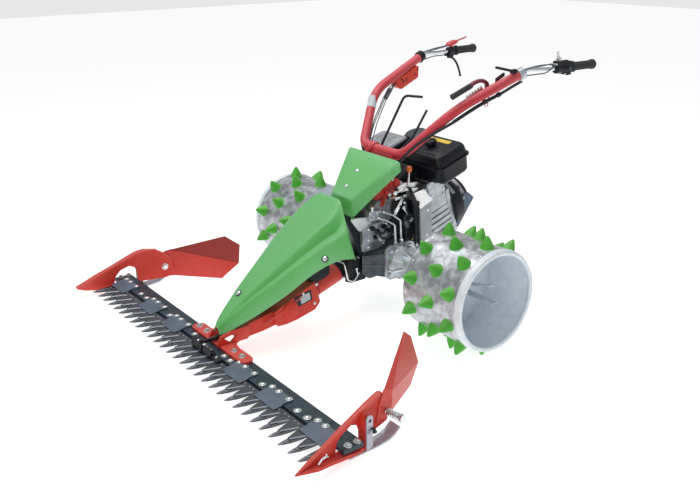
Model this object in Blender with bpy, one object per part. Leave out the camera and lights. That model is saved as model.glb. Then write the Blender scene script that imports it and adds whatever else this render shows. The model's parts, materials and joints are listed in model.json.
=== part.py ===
"""Motor mower with spiked drum wheels and a 1.6 m finger bar.

Places are given in the mower's own frame: X to the operator's left, -Y forward, Z up, with the
wheel axle over Y = 0 and the ground at Z = 0. The engine, the gearbox input and the drive to the
bar share one straight line that rises to the rear, and pieces on it are given along that line.
"""
from math import asin, cos, pi, radians, sin, tan

import bmesh
import bpy
from mathutils import Matrix, Vector

GAP = 0.0003             # between pieces that touch
RUN = 0.0005             # round a shaft that turns, on its radius

# Drum wheels
DRUM_RADIUS = 0.179
DRUM_INNER_X = 0.351
DRUM_WIDTH = 0.279
DRUM_WALL = 0.005
DRUM_SEGMENTS = 30
LIP_DEPTH = 0.010
BEAD_PROUD = 0.003
BEAD_WIDTH = 0.008
BEAD_INSET = 0.026       # from the outer lip to the bead
DISC_INSET = 0.070       # from the inner lip to the disc that carries the drum
DISC_THICKNESS = 0.006
SPIKE_HEIGHT = 0.043
SPIKE_BASE = 0.0225
SPIKE_TIP = 0.006
SPIKES_PER_ROW = 10
ROW_INSETS = (0.036, 0.131, 0.219)   # rows of spikes, from the drum's inner lip
HUB_RADIUS = 0.060
HUB_FLANGE = 0.009
SPIGOT_RADIUS = 0.034
SPIGOT_LENGTH = 0.018
SHAFT_RADIUS = 0.020
HUB_BAR_WIDTH = 0.022
HUB_BAR_THICKNESS = 0.006

AXLE_HEIGHT = DRUM_RADIUS + SPIKE_HEIGHT
DRUM_OUTER_X = DRUM_INNER_X + DRUM_WIDTH
DISC_X = DRUM_INNER_X + DISC_INSET

# Gearbox and axle cases
GEAR_HALF_WIDTH = 0.080
GEAR_BOTTOM = -0.080     # from the axle
GEAR_TOP = 0.078
GEAR_FRONT = -0.120
UPPER_HALF_WIDTH = 0.062
UPPER_TOP = 0.230        # from the axle
UPPER_FRONT = -0.088
AXLE_CASE_RADIUS = 0.066
AXLE_CASE_BODY = 0.072
AXLE_CASE_END = 0.205
PIPE_RADIUS = 0.0042

# The drive line
LINE_RISE = 0.032        # above the axle, where it crosses it
DRIVE_PITCH = radians(18)
DRIVE_SHAFT_RADIUS = 0.010
SHAFT_BORE = (DRIVE_SHAFT_RADIUS + RUN) / cos(pi / 24)
HITCH_RADIUS = 0.046
HITCH_LENGTH = 0.030
HITCH_REAR = GEAR_FRONT / cos(DRIVE_PITCH) - 0.020
HITCH_FRONT = HITCH_REAR - HITCH_LENGTH
BAIL_WIRE = 0.0022
SOCKET_RADIUS = 0.034
SOCKET_LENGTH = 0.044
TUBE_RADIUS = 0.036
TUBE_LENGTH = 0.112
TUBE_END = HITCH_FRONT - SOCKET_LENGTH   # where the tube meets the socket
TUBE_START = TUBE_END - TUBE_LENGTH

# Cutter bar
BAR_END = 0.031          # beyond the spaces of the outermost fingers
BAR_DEPTH = 0.072
BAR_THICKNESS = 0.014
BAR_BOTTOM = 0.036
BAR_REAR_Y = -0.703
FINGER_PITCH = 0.0508    # the standard 2 inch spacing
FINGER_COUNT = 30
FINGER_LENGTH = 0.1157
FINGER_WIDTH = 0.023
FINGER_DEPTH = 0.018
GUARD_ROOT = 0.010       # depth of the strip that the fingers stand on
GUARD_TOP = 0.004        # above the bar's underside
GUARD_END_INSET = 0.008
KNIFE_THICKNESS = 0.003
KNIFE_CLEARANCE = 0.006  # in front of the bar
KNIFE_BACK = 0.018
SECTION_LENGTH = 0.055
SECTION_COUNT = 28
INNER_CLIPS = (-0.466, -0.265, 0.230, 0.396)
CLIP_WIDTH = 0.075
CLIP_THICKNESS = 0.005
CLIP_REACH = 0.034       # in front of the bar, over the knife
BAR_BOLT_PLACES = (-0.568, -0.516, -0.384, -0.314, 0.290, 0.345, 0.474, 0.540, 0.588)
BOLT_RADIUS = 0.0085
BOLT_HEIGHT = 0.006

BAR_LENGTH = FINGER_COUNT * FINGER_PITCH + 2 * BAR_END
CLIP_PLACES = (0.133 - BAR_LENGTH / 2, *INNER_CLIPS, BAR_LENGTH / 2 - 0.146)
BAR_TOP = BAR_BOTTOM + BAR_THICKNESS
BAR_FRONT_Y = BAR_REAR_Y - BAR_DEPTH
KNIFE_BOTTOM = BAR_BOTTOM + GUARD_TOP + GAP
KNIFE_TOP = KNIFE_BOTTOM + KNIFE_THICKNESS

# Knife drive, foot and arm
HEAD_LOW_X = -0.056
HEAD_HIGH_X = 0.126
HEAD_BASE = 0.010
HEAD_HEIGHT = 0.030
CHEEK_LENGTH = 0.030
BALL_RADIUS = 0.007
LEVER_PIVOT_Y = BAR_REAR_Y + 0.063
LEVER_WIDTH = 0.016
FOOT_HALF_WIDTH = 0.190
FOOT_THICKNESS = 0.010
FOOT_DEPTH = 0.056
FOOT_BOLTS = (0.095, 0.150)
ARM_HALF_WIDTH = 0.048
CHEEK_THICKNESS = 0.018
POST_THICKNESS = 0.015

FOOT_TOP = BAR_TOP + GAP + FOOT_THICKNESS

# Shoes, skids and swath boards, given for the left side as distances back from the shoe's tip
# and heights
SHOE_TIP = Vector((BAR_LENGTH / 2 + 0.002, BAR_REAR_Y - 0.232, 0.043))
SHOE_TOE_IN = radians(9.6)
SHOE_WEB = 0.009
SHOE_FRAME = 0.024       # how far the frame stands out of the web
SHOE_TOP = ((0.000, 0.043), (0.036, 0.058), (0.078, 0.078), (0.149, 0.107), (0.218, 0.138), (0.250, 0.151),
            (0.284, 0.157), (0.320, 0.155))
SHOE_REAR = ((0.345, 0.147), (0.372, 0.130), (0.393, 0.107), (0.401, 0.078), (0.397, 0.047))
SHOE_LOW = ((0.377, 0.024), (0.300, 0.025), (0.258, 0.027), (0.080, 0.022), (0.033, 0.030))
SHOE_FRAME_REAR = ((0.341, 0.147), (0.338, 0.139), (0.318, 0.145), (0.284, 0.147), (0.264, 0.144))
SHOE_FRAME_LOW = ((0.144, 0.017), (0.066, 0.030), (0.030, 0.036))
SHOE_WINDOW = ((0.075, 0.052), (0.150, 0.093), (0.220, 0.124), (0.252, 0.136), (0.252, 0.016), (0.205, 0.016),
               (0.145, 0.028), (0.085, 0.040))
SHOE_RIB = 0.262         # rear face of the frame's upright rib
SHOE_BOLT = (0.366, 0.072)
SKID_INNER_X = BAR_LENGTH / 2 - 0.057
SKID_WIDTH = 0.044
SKID_THICKNESS = 0.005
SKID_FRONT_Y = BAR_REAR_Y - 0.042
BRACKET_THICKNESS = 0.004
BOARD_THICKNESS = 0.003
BOARD_BOLT_RADIUS = 0.005
BOARD_TONGUE = ((0.318, 0.046), (0.406, 0.030), (0.406, 0.141), (0.372, 0.137), (0.330, 0.105))
BOARD_REAR = tuple(Vector((SHOE_TIP.x - inward, SHOE_TIP.y + behind, z)) for inward, behind, z in
                   ((0.193, 0.573, 0.024), (0.221, 0.630, 0.076), (0.251, 0.622, 0.161), (0.224, 0.568, 0.204)))
SPRING_RADIUS = 0.0105
SPRING_WIRE = 0.0016
SPRING_TURNS = 7
SPRING_LENGTH = 0.0515
SPRING_START = BOARD_THICKNESS + 2 * GAP

# Hood and cover
SHEET = 0.003
HOOD_STATIONS = (
    # y, crest x, crest z, ridge x, ridge z, edge x, edge z
    (-0.728, 0.008, 0.110, 0.014, 0.104, 0.020, 0.088),
    (-0.700, 0.017, 0.142, 0.026, 0.138, 0.042, 0.103),
    (-0.610, 0.038, 0.222, 0.056, 0.205, 0.094, 0.161),
    (-0.515, 0.059, 0.292, 0.086, 0.266, 0.130, 0.220),
    (-0.422, 0.077, 0.359, 0.115, 0.326, 0.157, 0.282),
    (-0.344, 0.090, 0.413, 0.137, 0.372, 0.186, 0.318),
    (-0.290, 0.098, 0.450, 0.152, 0.402, 0.205, 0.320),
)
HOOD_REAR = (Vector((0.065, -0.236, 0.493)), Vector((0.140, -0.262, 0.414)), Vector((0.228, -0.294, 0.324)))
COVER_TOP = (Vector((0.061, -0.183, 0.483)), Vector((0.150, -0.028, 0.618)))
COVER_FRONT_DEPTH = 0.072
COVER_MIDDLE_DEPTH = 0.052
COVER_REAR_DEPTH = 0.036

# Engine, along the drive line
ENGINE_FACE = 0.080      # where the engine bolts on
CRANKCASE_LENGTH = 0.245
CRANKCASE_HALF_WIDTH = 0.125
CRANKCASE_TOP = 0.100
CRANKCASE_BOTTOM = -0.098
SHROUD_RADIUS = 0.112
SHROUD_DEPTH = 0.060
STARTER_RADIUS = 0.088
STARTER_DEPTH = 0.050
TANK_LOW_X = -0.040
TANK_HIGH_X = 0.170
TANK_START = 0.238
TANK_LENGTH = 0.150
TANK_HEIGHT = 0.115
TANK_TOP = 0.290
TANK_CORNER = 0.025
CAP_PLACE = (0.068, 0.308)
MUFFLER_HIGH_X = -0.085
MUFFLER_WIDTH = 0.170
MUFFLER_START = 0.205
MUFFLER_LENGTH = 0.130
MUFFLER_DEPTH = 0.122
FIN_COUNT = 6
FILTER_PLACE = (-0.1245, 0.395)
FILTER_RADIUS = 0.048
GUARD_START = 0.135
GUARD_LENGTH = 0.064
GUARD_DEPTH = 0.025

# Handlebar, given for the left side
TUBE_R = 0.0165
LOOP_CENTRE = Vector((0, 0.013, 0.626))
LOOP_CORNER = Vector((0.113, 0.013, 0.626))
LOOP_BEND = Vector((0.237, 0.168, 0.799))
LOOP_END = Vector((0.284, 0.449, 0.905))
BRACKET_HALF_WIDTH = 0.050
SWIVEL_HEIGHT = 0.058    # from the swivel's seat to the tube's centre
SWIVEL_NECK = 0.035
SADDLE_HALF = 0.078
SADDLE_CLAMP = 0.044
SECTOR_X = 0.2405
SECTOR_THICKNESS = 0.004
HAND_PIVOT_Y = 0.324
LOCK_PIVOT_Y = 0.410
LOCK_RISE = 0.024
COLLAR_WALL = 0.0065
COLLAR_LENGTH = 0.020
HANDLE_R = 0.011
HANDLE_BEND = Vector((0.312, 0.575, 0.911))
HANDLE_END = Vector((0.326, 0.816, 0.911))
GRIP_R = 0.0165
GRIP_LENGTH = 0.122
GRIP_WALL = 0.004
PERCH_START = 0.072      # on the right handle, behind its bend
PERCH_WALL = 0.007
UNIT_START = 0.020
UNIT_TOP = 0.030
BOX_WIDTH = 0.040
BOX_DEPTH = 0.050
BOX_PLACE = (0.338, 0.420)
CABLE_R = 0.0028

# Levers on the bracket
PTO_PIVOT = (0.094, 0.006, AXLE_HEIGHT + UPPER_TOP + 0.025)
TALL_ROD_X = -0.0575
SHORT_ROD_X = -0.069
ROD_RADIUS = 0.005

# The mower is centred on its length, from the shoes' tips to the ends of the grips.
CENTRE_Y = -(SHOE_TIP.y + HANDLE_END.y) / 2

LINE = Matrix.Translation((0, 0, AXLE_HEIGHT + LINE_RISE)) @ Matrix.Rotation(DRIVE_PITCH, 4, "X")


def along(x, s, up=0.0):
    """A place given along the drive line: s behind the axle, up square to the line."""
    return LINE @ Vector((x, s, up))


def line_z(y, up=0.0):
    """Height of the drive line, or of a line parallel to it, over a place y."""
    return AXLE_HEIGHT + LINE_RISE + y * tan(DRIVE_PITCH) + up / cos(DRIVE_PITCH)


# Finishes

def finish(name, colour, roughness=0.5, metallic=0.0):
    made = bpy.data.materials.get(name)
    if made:
        return made
    made = bpy.data.materials.new(name)
    made.use_nodes = True
    shader = made.node_tree.nodes["Principled BSDF"]
    shader.inputs["Base Color"].default_value = (*colour, 1)
    shader.inputs["Roughness"].default_value = roughness
    shader.inputs["Metallic"].default_value = metallic
    made.diffuse_color = (*colour, 1)
    return made


def green_paint():
    return finish("green_paint", (0.10, 0.42, 0.11), 0.45)


def red_paint():
    return finish("red_paint", (0.60, 0.05, 0.03), 0.40)


def bar_steel():
    return finish("bar_steel", (0.06, 0.08, 0.11), 0.40, 0.8)


def bright_steel():
    return finish("bright_steel", (0.55, 0.57, 0.60), 0.25, 1.0)


def zinc():
    return finish("zinc", (0.50, 0.51, 0.53), 0.35, 0.9)


def cast_aluminium():
    return finish("cast_aluminium", (0.40, 0.42, 0.45), 0.45, 0.8)


def dark_casting():
    return finish("dark_casting", (0.09, 0.10, 0.11), 0.55, 0.3)


def black_plastic():
    return finish("black_plastic", (0.012, 0.012, 0.014), 0.45)


def rubber():
    return finish("rubber", (0.02, 0.02, 0.022), 0.75)


# Making meshes and objects

def place(name, mesh, look, pivot=(0, 0, 0), frame=None, crease=35):
    """Makes one object. Its mesh is in the mower's frame, or in the given frame."""
    if frame is not None:
        mesh.transform(frame)
    pivot = Vector(pivot)
    mesh.transform(Matrix.Translation(-pivot))
    bmesh.ops.recalc_face_normals(mesh, faces=mesh.faces)
    data = bpy.data.meshes.new(name)
    mesh.to_mesh(data)
    mesh.free()
    data.shade_smooth()
    data.set_sharp_from_angle(angle=radians(crease))
    made = bpy.data.objects.new(name, data)
    made.location = pivot
    made.parent = bpy.data.objects["mower"]
    made.data.materials.append(look)
    bpy.context.scene.collection.objects.link(made)
    return made


def join(target, mesh, frame=None):
    step_shape(target, mesh, frame, "UNION")


def cut(target, mesh, frame=None):
    step_shape(target, mesh, frame, "DIFFERENCE")


def step_shape(target, mesh, frame, operation):
    """Adds a Boolean step to an object, with a hidden shape that it is joined to or cut by."""
    count = len(target.modifiers)
    shape = place(f"{target.name}_shape_{count}", mesh, target.data.materials[0], frame=frame)
    shape.hide_render = True
    shape.display_type = "WIRE"
    step = target.modifiers.new(f"shape_{count}", "BOOLEAN")
    step.operation = operation
    step.object = shape
    step.solver = "EXACT"


def bevel(target, width, segments=1, angle=40):
    step = target.modifiers.new("edges", "BEVEL")
    step.width = width
    step.segments = segments
    step.limit_method = "ANGLE"
    step.angle_limit = radians(angle)


def box(mesh, low, high):
    low, high = Vector(low), Vector(high)
    corners = [mesh.verts.new((x, y, z)) for x in (low.x, high.x)
               for y in (low.y, high.y) for z in (low.z, high.z)]
    for ring in ((0, 1, 3, 2), (4, 6, 7, 5), (0, 4, 5, 1), (2, 3, 7, 6), (0, 2, 6, 4), (1, 5, 7, 3)):
        mesh.faces.new([corners[i] for i in ring])
    return mesh


def prism(mesh, outline, push):
    """A flat outline, pushed along a direction."""
    push = Vector(push)
    near = [mesh.verts.new(point) for point in outline]
    far = [mesh.verts.new(Vector(point) + push) for point in outline]
    mesh.faces.new(near)
    mesh.faces.new(far[::-1])
    for i in range(len(near)):
        j = (i + 1) % len(near)
        mesh.faces.new((near[i], far[i], far[j], near[j]))
    return mesh


def loft(mesh, rings):
    """Closed rings joined one to the next, with both ends filled."""
    made = [[mesh.verts.new(point) for point in ring] for ring in rings]
    for one, two in zip(made, made[1:]):
        for i in range(len(one)):
            j = (i + 1) % len(one)
            mesh.faces.new((one[i], one[j], two[j], two[i]))
    mesh.faces.new(made[0][::-1])
    mesh.faces.new(made[-1])
    return mesh


def square_axes(direction):
    """Two directions square to the given one."""
    direction = Vector(direction).normalized()
    side = direction.cross(Vector((0, 0, 1)))
    if side.length < 0.01:
        side = direction.cross(Vector((1, 0, 0)))
    side.normalize()
    return side, side.cross(direction)


def turned(mesh, profile, centre, axis, steps):
    """A closed profile of (radius, distance) pairs, turned about an axis."""
    centre, axis = Vector(centre), Vector(axis).normalized()
    side, up = square_axes(axis)
    rings = []
    for k in range(steps):
        out = side * cos(2 * pi * k / steps) + up * sin(2 * pi * k / steps)
        rings.append([None if r == 0 else mesh.verts.new(centre + axis * h + out * r)
                      for r, h in profile])
    poles = {i: mesh.verts.new(centre + axis * h) for i, (r, h) in enumerate(profile) if r == 0}
    count = len(profile)
    for k in range(steps):
        one, two = rings[k], rings[(k + 1) % steps]
        for i in range(count):
            j = (i + 1) % count
            if i in poles and j in poles:
                continue
            if i in poles:
                mesh.faces.new((poles[i], one[j], two[j]))
            elif j in poles:
                mesh.faces.new((one[i], poles[j], two[i]))
            else:
                mesh.faces.new((one[i], one[j], two[j], two[i]))
    return mesh


def rod(mesh, start, end, radius, sides=12, end_radius=None):
    """A round bar between two places, tapered if its end radius differs."""
    start, end = Vector(start), Vector(end)
    side, up = square_axes(end - start)
    turns = [2 * pi * k / sides for k in range(sides)]
    last = radius if end_radius is None else end_radius
    rings = [[place_ + (side * cos(t) + up * sin(t)) * r for t in turns]
             for place_, r in ((start, radius), (end, last))]
    return loft(mesh, rings)


def swept(mesh, points, radius, sides=10):
    """A round tube along a path, without twist."""
    points = [Vector(p) for p in points]
    side, _ = square_axes(points[1] - points[0])
    rings = []
    for i, point in enumerate(points):
        ahead = points[min(i + 1, len(points) - 1)] - points[max(i - 1, 0)]
        ahead.normalize()
        side = (side - ahead * side.dot(ahead)).normalized()
        up = ahead.cross(side)
        rings.append([point + (side * cos(2 * pi * k / sides) + up * sin(2 * pi * k / sides)) * radius
                      for k in range(sides)])
    return loft(mesh, rings)


def bent(points, radius, steps=5):
    """A path of straight runs whose corners are rounded to one bend radius, or to one each."""
    points = [Vector(p) for p in points]
    radii = radius if isinstance(radius, tuple) else (radius,) * (len(points) - 2)
    path = [points[0]]
    for before, corner, after, radius in zip(points, points[1:], points[2:], radii):
        back = (before - corner).normalized()
        ahead = (after - corner).normalized()
        half = back.angle(ahead) / 2
        reach = min(radius / tan(half), 0.48 * min((before - corner).length, (after - corner).length))
        middle = corner + (back + ahead).normalized() * (reach / cos(half))
        start, end = corner + back * reach, corner + ahead * reach
        one, two = start - middle, end - middle
        turn = one.angle(two)
        for k in range(steps + 1):
            t = k / steps
            path.append(middle + (one * sin((1 - t) * turn) + two * sin(t * turn)) / sin(turn))
    path.append(points[-1])
    return path


def flowing(points, steps=4):
    """A smooth path through the points."""
    points = [Vector(p) for p in points]
    padded = [2 * points[0] - points[1], *points, 2 * points[-1] - points[-2]]
    path = []
    for a, b, c, d in zip(padded, padded[1:], padded[2:], padded[3:]):
        for k in range(steps):
            t = k / steps
            path.append(0.5 * (2 * b + (c - a) * t + (2 * a - 5 * b + 4 * c - d) * t * t
                               + (3 * b - a - 3 * c + d) * t ** 3))
    path.append(points[-1])
    return path


def mirrored(point, side):
    return Vector((point[0] * side, point[1], point[2]))


# Wheels

def wheel_centre(side, x):
    return Vector((side * x, 0, AXLE_HEIGHT))


def spike(mesh, side, x, turn):
    """One blunt cone that grows out of the drum's wall."""
    sides = 6
    out = Vector((0, -cos(turn), sin(turn)))
    across = Vector((0, sin(turn), cos(turn)))
    centre = wheel_centre(side, x)
    rings = []
    for radius, reach in ((SPIKE_BASE, DRUM_RADIUS - DRUM_WALL * 0.6), (SPIKE_TIP, DRUM_RADIUS + SPIKE_HEIGHT)):
        rings.append([centre + out * reach + Vector((radius * cos(2 * pi * k / sides), 0, 0))
                      + across * (radius * sin(2 * pi * k / sides)) for k in range(sides)])
    loft(mesh, rings)


def drum(name, side):
    """Open drum of sheet metal with three rings of ten spikes."""
    inner = DRUM_RADIUS - DRUM_WALL
    bead = DRUM_WIDTH - BEAD_INSET
    profile = [
        (DRUM_RADIUS, 0), (DRUM_RADIUS, bead), (DRUM_RADIUS + BEAD_PROUD, bead + BEAD_WIDTH / 2),
        (DRUM_RADIUS, bead + BEAD_WIDTH), (DRUM_RADIUS, DRUM_WIDTH), (DRUM_RADIUS - LIP_DEPTH, DRUM_WIDTH),
        (DRUM_RADIUS - LIP_DEPTH, DRUM_WIDTH - 0.005), (inner, DRUM_WIDTH - 0.009), (inner, 0)]
    mesh = turned(bmesh.new(), profile, wheel_centre(side, DRUM_INNER_X), (side, 0, 0), DRUM_SEGMENTS)
    made = place(name, mesh, zinc(), wheel_centre(side, DRUM_INNER_X))
    cones = bmesh.new()
    step = 2 * pi / SPIKES_PER_ROW
    for row, inset in enumerate(ROW_INSETS):
        shift = 0.0 if row % 2 else step / 2
        for k in range(SPIKES_PER_ROW):
            spike(cones, side, DRUM_INNER_X + inset, k * step + shift)
    join(made, cones)


def hub(name, side):
    """Wheel shaft with the disc that carries the drum and two flat bars on its nose."""
    start = AXLE_CASE_END + GAP
    disc = DISC_X - start
    face = disc + DISC_THICKNESS
    nose = face + SPIGOT_LENGTH
    rim = DRUM_RADIUS - DRUM_WALL - GAP
    profile = [(0, 0), (SHAFT_RADIUS, 0), (SHAFT_RADIUS, disc - HUB_FLANGE), (HUB_RADIUS, disc - HUB_FLANGE),
               (HUB_RADIUS, disc), (rim, disc), (rim, face), (SPIGOT_RADIUS, face), (SPIGOT_RADIUS, nose), (0, nose)]
    mesh = turned(bmesh.new(), profile, wheel_centre(side, start), (side, 0, 0), DRUM_SEGMENTS)
    made = place(name, mesh, zinc(), wheel_centre(side, start))
    root, end = start + nose - 0.004, DRUM_OUTER_X - 0.012
    half, thick = HUB_BAR_WIDTH / 2, HUB_BAR_THICKNESS
    join(made, prism(bmesh.new(), [(side * x, y, AXLE_HEIGHT - 0.012) for x, y in
                                   ((root, -half), (root, half), (end, half * 0.7), (end, -half * 0.7))],
                     (0, 0, thick)))
    join(made, prism(bmesh.new(), [(side * x, y, AXLE_HEIGHT + z) for x, y, z in
                                   ((root, -half, 0.008), (root, half, 0.008), (end - 0.030, half * 2.2, 0.040),
                                    (end - 0.030, half * 0.2, 0.040))], (0, 0, thick)))


# Cutter bar

def cutter_bar():
    """Flat bar with the guards' bolts and the knife's hold-down clips on it."""
    half = BAR_LENGTH / 2
    made = place("cutter_bar", box(bmesh.new(), (-half, BAR_FRONT_Y, BAR_BOTTOM), (half, BAR_REAR_Y, BAR_TOP)),
                 bar_steel())
    sunk = 0.001
    seat = BAR_TOP - sunk
    top = BAR_TOP + CLIP_THICKNESS
    low = KNIFE_TOP + 2 * GAP
    back, lip = BAR_FRONT_Y + BAR_DEPTH * 0.60, BAR_FRONT_Y - CLIP_REACH
    step = BAR_FRONT_Y - 0.002
    outline = [(back, seat), (step, seat), (step - 0.003, low), (lip, low), (lip, low + 0.003),
               (step - 0.002, low + CLIP_THICKNESS + 0.002), (step + 0.006, top), (back, top)]
    clips = bmesh.new()
    for x in CLIP_PLACES:
        prism(clips, [(x - CLIP_WIDTH / 2, y, z) for y, z in outline], (CLIP_WIDTH, 0, 0))
    join(made, clips)
    heads = bmesh.new()
    row_y = BAR_FRONT_Y + BAR_DEPTH / 4
    clip_y = row_y + 0.012
    for x in CLIP_PLACES:
        for off in (-CLIP_WIDTH * 0.3, CLIP_WIDTH * 0.3):
            head(heads, (x + off, clip_y, top - sunk), BOLT_RADIUS, BOLT_HEIGHT + sunk)
    for x in BAR_BOLT_PLACES:
        head(heads, (x, row_y, seat), BOLT_RADIUS, BOLT_HEIGHT + sunk)
    for side in (-1, 1):
        for y in (row_y + 0.006, BAR_REAR_Y - 0.014):
            head(heads, (side * (half - 0.013), y, seat), BOLT_RADIUS, BOLT_HEIGHT + sunk)
    join(made, heads)


def head(mesh, foot, radius, height, axis=(0, 0, 1), sides=6):
    """A bolt head, sunk a little into what it is joined to."""
    foot, axis = Vector(foot), Vector(axis).normalized()
    return rod(mesh, foot, foot + axis * height, radius, sides, radius * 0.85)


def finger_guards():
    """Pointed guards in front of the bar, side by side on a common root."""
    root_y = BAR_FRONT_Y - GAP
    top = BAR_BOTTOM + GUARD_TOP
    half = FINGER_COUNT / 2 * FINGER_PITCH - GUARD_END_INSET
    made = place("finger_guards", box(bmesh.new(), (-half, root_y - GUARD_ROOT, top - FINGER_DEPTH),
                                      (half, root_y, top)), bar_steel())
    stations = ((GUARD_ROOT * 0.5, 1.0, 0.98, 0.0), (FINGER_LENGTH * 0.62, 0.70, 0.85, 0.0),
                (FINGER_LENGTH * 0.93, 0.33, 0.55, 0.06), (FINGER_LENGTH, 0.09, 0.30, 0.14))
    fingers = bmesh.new()
    for i in range(FINGER_COUNT):
        x = (i - (FINGER_COUNT - 1) / 2) * FINGER_PITCH
        rings = []
        for reach, width, depth, drop in stations:
            y = root_y - reach
            w = FINGER_WIDTH / 2 * width
            high = top - FINGER_DEPTH * drop - 0.0002
            low = top - FINGER_DEPTH * depth
            rings.append([(x - w, y, low), (x + w, y, low), (x + w, y, high), (x - w, y, high)])
        loft(fingers, rings)
    join(made, fingers)


def knife():
    """Toothed blade that slides over the guards: a back bar with one tooth a section."""
    back_y = BAR_FRONT_Y - KNIFE_CLEARANCE
    root_y = back_y - KNIFE_BACK
    half = SECTION_COUNT * FINGER_PITCH / 2
    outline = [(-half, back_y, KNIFE_BOTTOM)]
    for i in range(SECTION_COUNT):
        x = -half + i * FINGER_PITCH
        outline += [(x, root_y, KNIFE_BOTTOM),
                    (x + FINGER_PITCH * 0.40, root_y - SECTION_LENGTH, KNIFE_BOTTOM),
                    (x + FINGER_PITCH * 0.60, root_y - SECTION_LENGTH, KNIFE_BOTTOM)]
    outline += [(half, root_y, KNIFE_BOTTOM), (half, back_y, KNIFE_BOTTOM)]
    place("knife", prism(bmesh.new(), outline, (0, 0, KNIFE_THICKNESS)), bright_steel())


def knife_head():
    """Forged block on the knife with a slot for the ball of the drive lever."""
    low = KNIFE_TOP + GAP
    back = BAR_FRONT_Y - KNIFE_CLEARANCE
    front = back - KNIFE_BACK
    slot = BALL_RADIUS + 2 * GAP
    made = place("knife_head", box(bmesh.new(), (HEAD_LOW_X, front, low), (HEAD_HIGH_X, back, low + HEAD_BASE)),
                 dark_casting())
    cheeks = bmesh.new()
    for side in (-1, 1):
        prism(cheeks, [(side * slot, y, z) for y, z in ((front, low + 0.006), (back, low + 0.006),
              (back, low + HEAD_HEIGHT), (front, low + HEAD_HEIGHT * 0.85))], (side * CHEEK_LENGTH, 0, 0))
    join(made, cheeks)


def knife_lever():
    """Lever that swings on the foot and pushes the knife from side to side."""
    ball_y = BAR_FRONT_Y - KNIFE_CLEARANCE - KNIFE_BACK / 2
    pivot = Vector((0, LEVER_PIVOT_Y, FOOT_TOP + GAP))
    mesh = rod(bmesh.new(), pivot, pivot + Vector((0, 0, 0.030)), 0.014, 14)
    made = place("knife_lever", mesh, dark_casting(), pivot)
    base = pivot.z + 0.005
    join(made, prism(bmesh.new(), [(-LEVER_WIDTH / 2, pivot.y, base), (LEVER_WIDTH / 2, pivot.y, base),
                                   (0.0035, ball_y, base), (-0.0035, ball_y, base)], (0, 0, 0.012)))
    ball = Vector((0, ball_y, KNIFE_TOP + HEAD_BASE + 4 * GAP))
    join(made, rod(bmesh.new(), ball, Vector((0, ball_y, base + 0.014)), BALL_RADIUS, 10))


def mounting_foot():
    """T-shaped foot bolted on the bar, with a window behind the knife head."""
    half, front, back = FOOT_HALF_WIDTH, BAR_REAR_Y - FOOT_DEPTH, BAR_REAR_Y + 0.004
    seat = BAR_TOP + GAP
    tail = LEVER_PIVOT_Y + 0.024
    neck = ARM_HALF_WIDTH + 0.006
    outline = [(half, front + 0.018), (half - 0.012, front + 0.004), (half - 0.030, front),
               (-half + 0.030, front), (-half + 0.012, front + 0.004), (-half, front + 0.018),
               (-half, back - 0.016), (-half + 0.016, back), (-neck - 0.020, back), (-neck, back + 0.020),
               (-neck, tail), (neck, tail), (neck, back + 0.020), (neck + 0.020, back),
               (half - 0.016, back), (half, back - 0.016)]
    made = place("mounting_foot", prism(bmesh.new(), [(x, y, seat) for x, y in outline],
                                        (0, 0, FOOT_THICKNESS)), red_paint())
    w = ARM_HALF_WIDTH - CHEEK_THICKNESS - 0.002
    cut(made, box(bmesh.new(), (-w, BAR_REAR_Y + 0.006, seat - 0.01),
                  (w, LEVER_PIVOT_Y - 0.020, seat + FOOT_THICKNESS + 0.01)))
    heads = bmesh.new()
    for side in (-1, 1):
        for x in FOOT_BOLTS:
            head(heads, (side * x, BAR_REAR_Y - FOOT_DEPTH * 0.40, FOOT_TOP - 0.001), BOLT_RADIUS, BOLT_HEIGHT + 0.001)
    join(made, heads)


def drive_arm():
    """Casting from the foot up to the drive tube, forked in front, with a post for the hood."""
    w = ARM_HALF_WIDTH
    rear = TUBE_START - GAP
    top_rear, low_rear = along(0, rear, 0.045), along(0, rear, -0.040)
    base = FOOT_TOP + GAP
    fork = LEVER_PIVOT_Y + 0.028
    body = [(fork, base + 0.002), (fork + 0.037, base + 0.014), (fork + 0.067, base + 0.012),
            (low_rear.y - 0.126, base + 0.014),
            (low_rear.y - 0.024, low_rear.z - 0.014), (low_rear.y, low_rear.z), (top_rear.y, top_rear.z),
            (top_rear.y - 0.050, line_z(top_rear.y - 0.050, 0.047)),
            (fork + 0.092, line_z(fork + 0.092, 0.034)), (fork, base + 0.046)]
    made = place("drive_arm", prism(bmesh.new(), [(-w, y, z) for y, z in body], (2 * w, 0, 0)), red_paint())
    front = BAR_REAR_Y - FOOT_DEPTH * 0.55
    cheek = [(front, base), (fork + 0.030, base), (fork + 0.030, base + 0.030), (fork - 0.010, base + 0.040),
             (BAR_REAR_Y, base + 0.018), (front, base + 0.008)]
    cheeks = bmesh.new()
    for side in (-1, 1):
        prism(cheeks, [(side * (w - 0.0005), y, z) for y, z in cheek], (-side * CHEEK_THICKNESS, 0, 0))
    join(made, cheeks)
    front_y, rear_y = fork + 0.112, fork + 0.172
    post = [(front_y, line_z(front_y, 0.030)), (rear_y, line_z(rear_y, 0.030)), (rear_y, hood_underside(rear_y)),
            (front_y, hood_underside(front_y))]
    join(made, prism(bmesh.new(), [(-POST_THICKNESS / 2, y, z) for y, z in post], (POST_THICKNESS, 0, 0)))


def collar(name, start, end, look, outer, bore, sides=24):
    """A ring on the drive line: an outer profile and a bore."""
    profile = [(bore, start), *outer, (bore, end)]
    return place(name, turned(bmesh.new(), profile, (0, 0, 0), (0, 1, 0), sides), look, along(0, start), LINE)


def drive_tube():
    collar("drive_tube", TUBE_START, TUBE_END, red_paint(),
           [(TUBE_RADIUS, TUBE_START), (TUBE_RADIUS, TUBE_END)], SHAFT_BORE)


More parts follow.
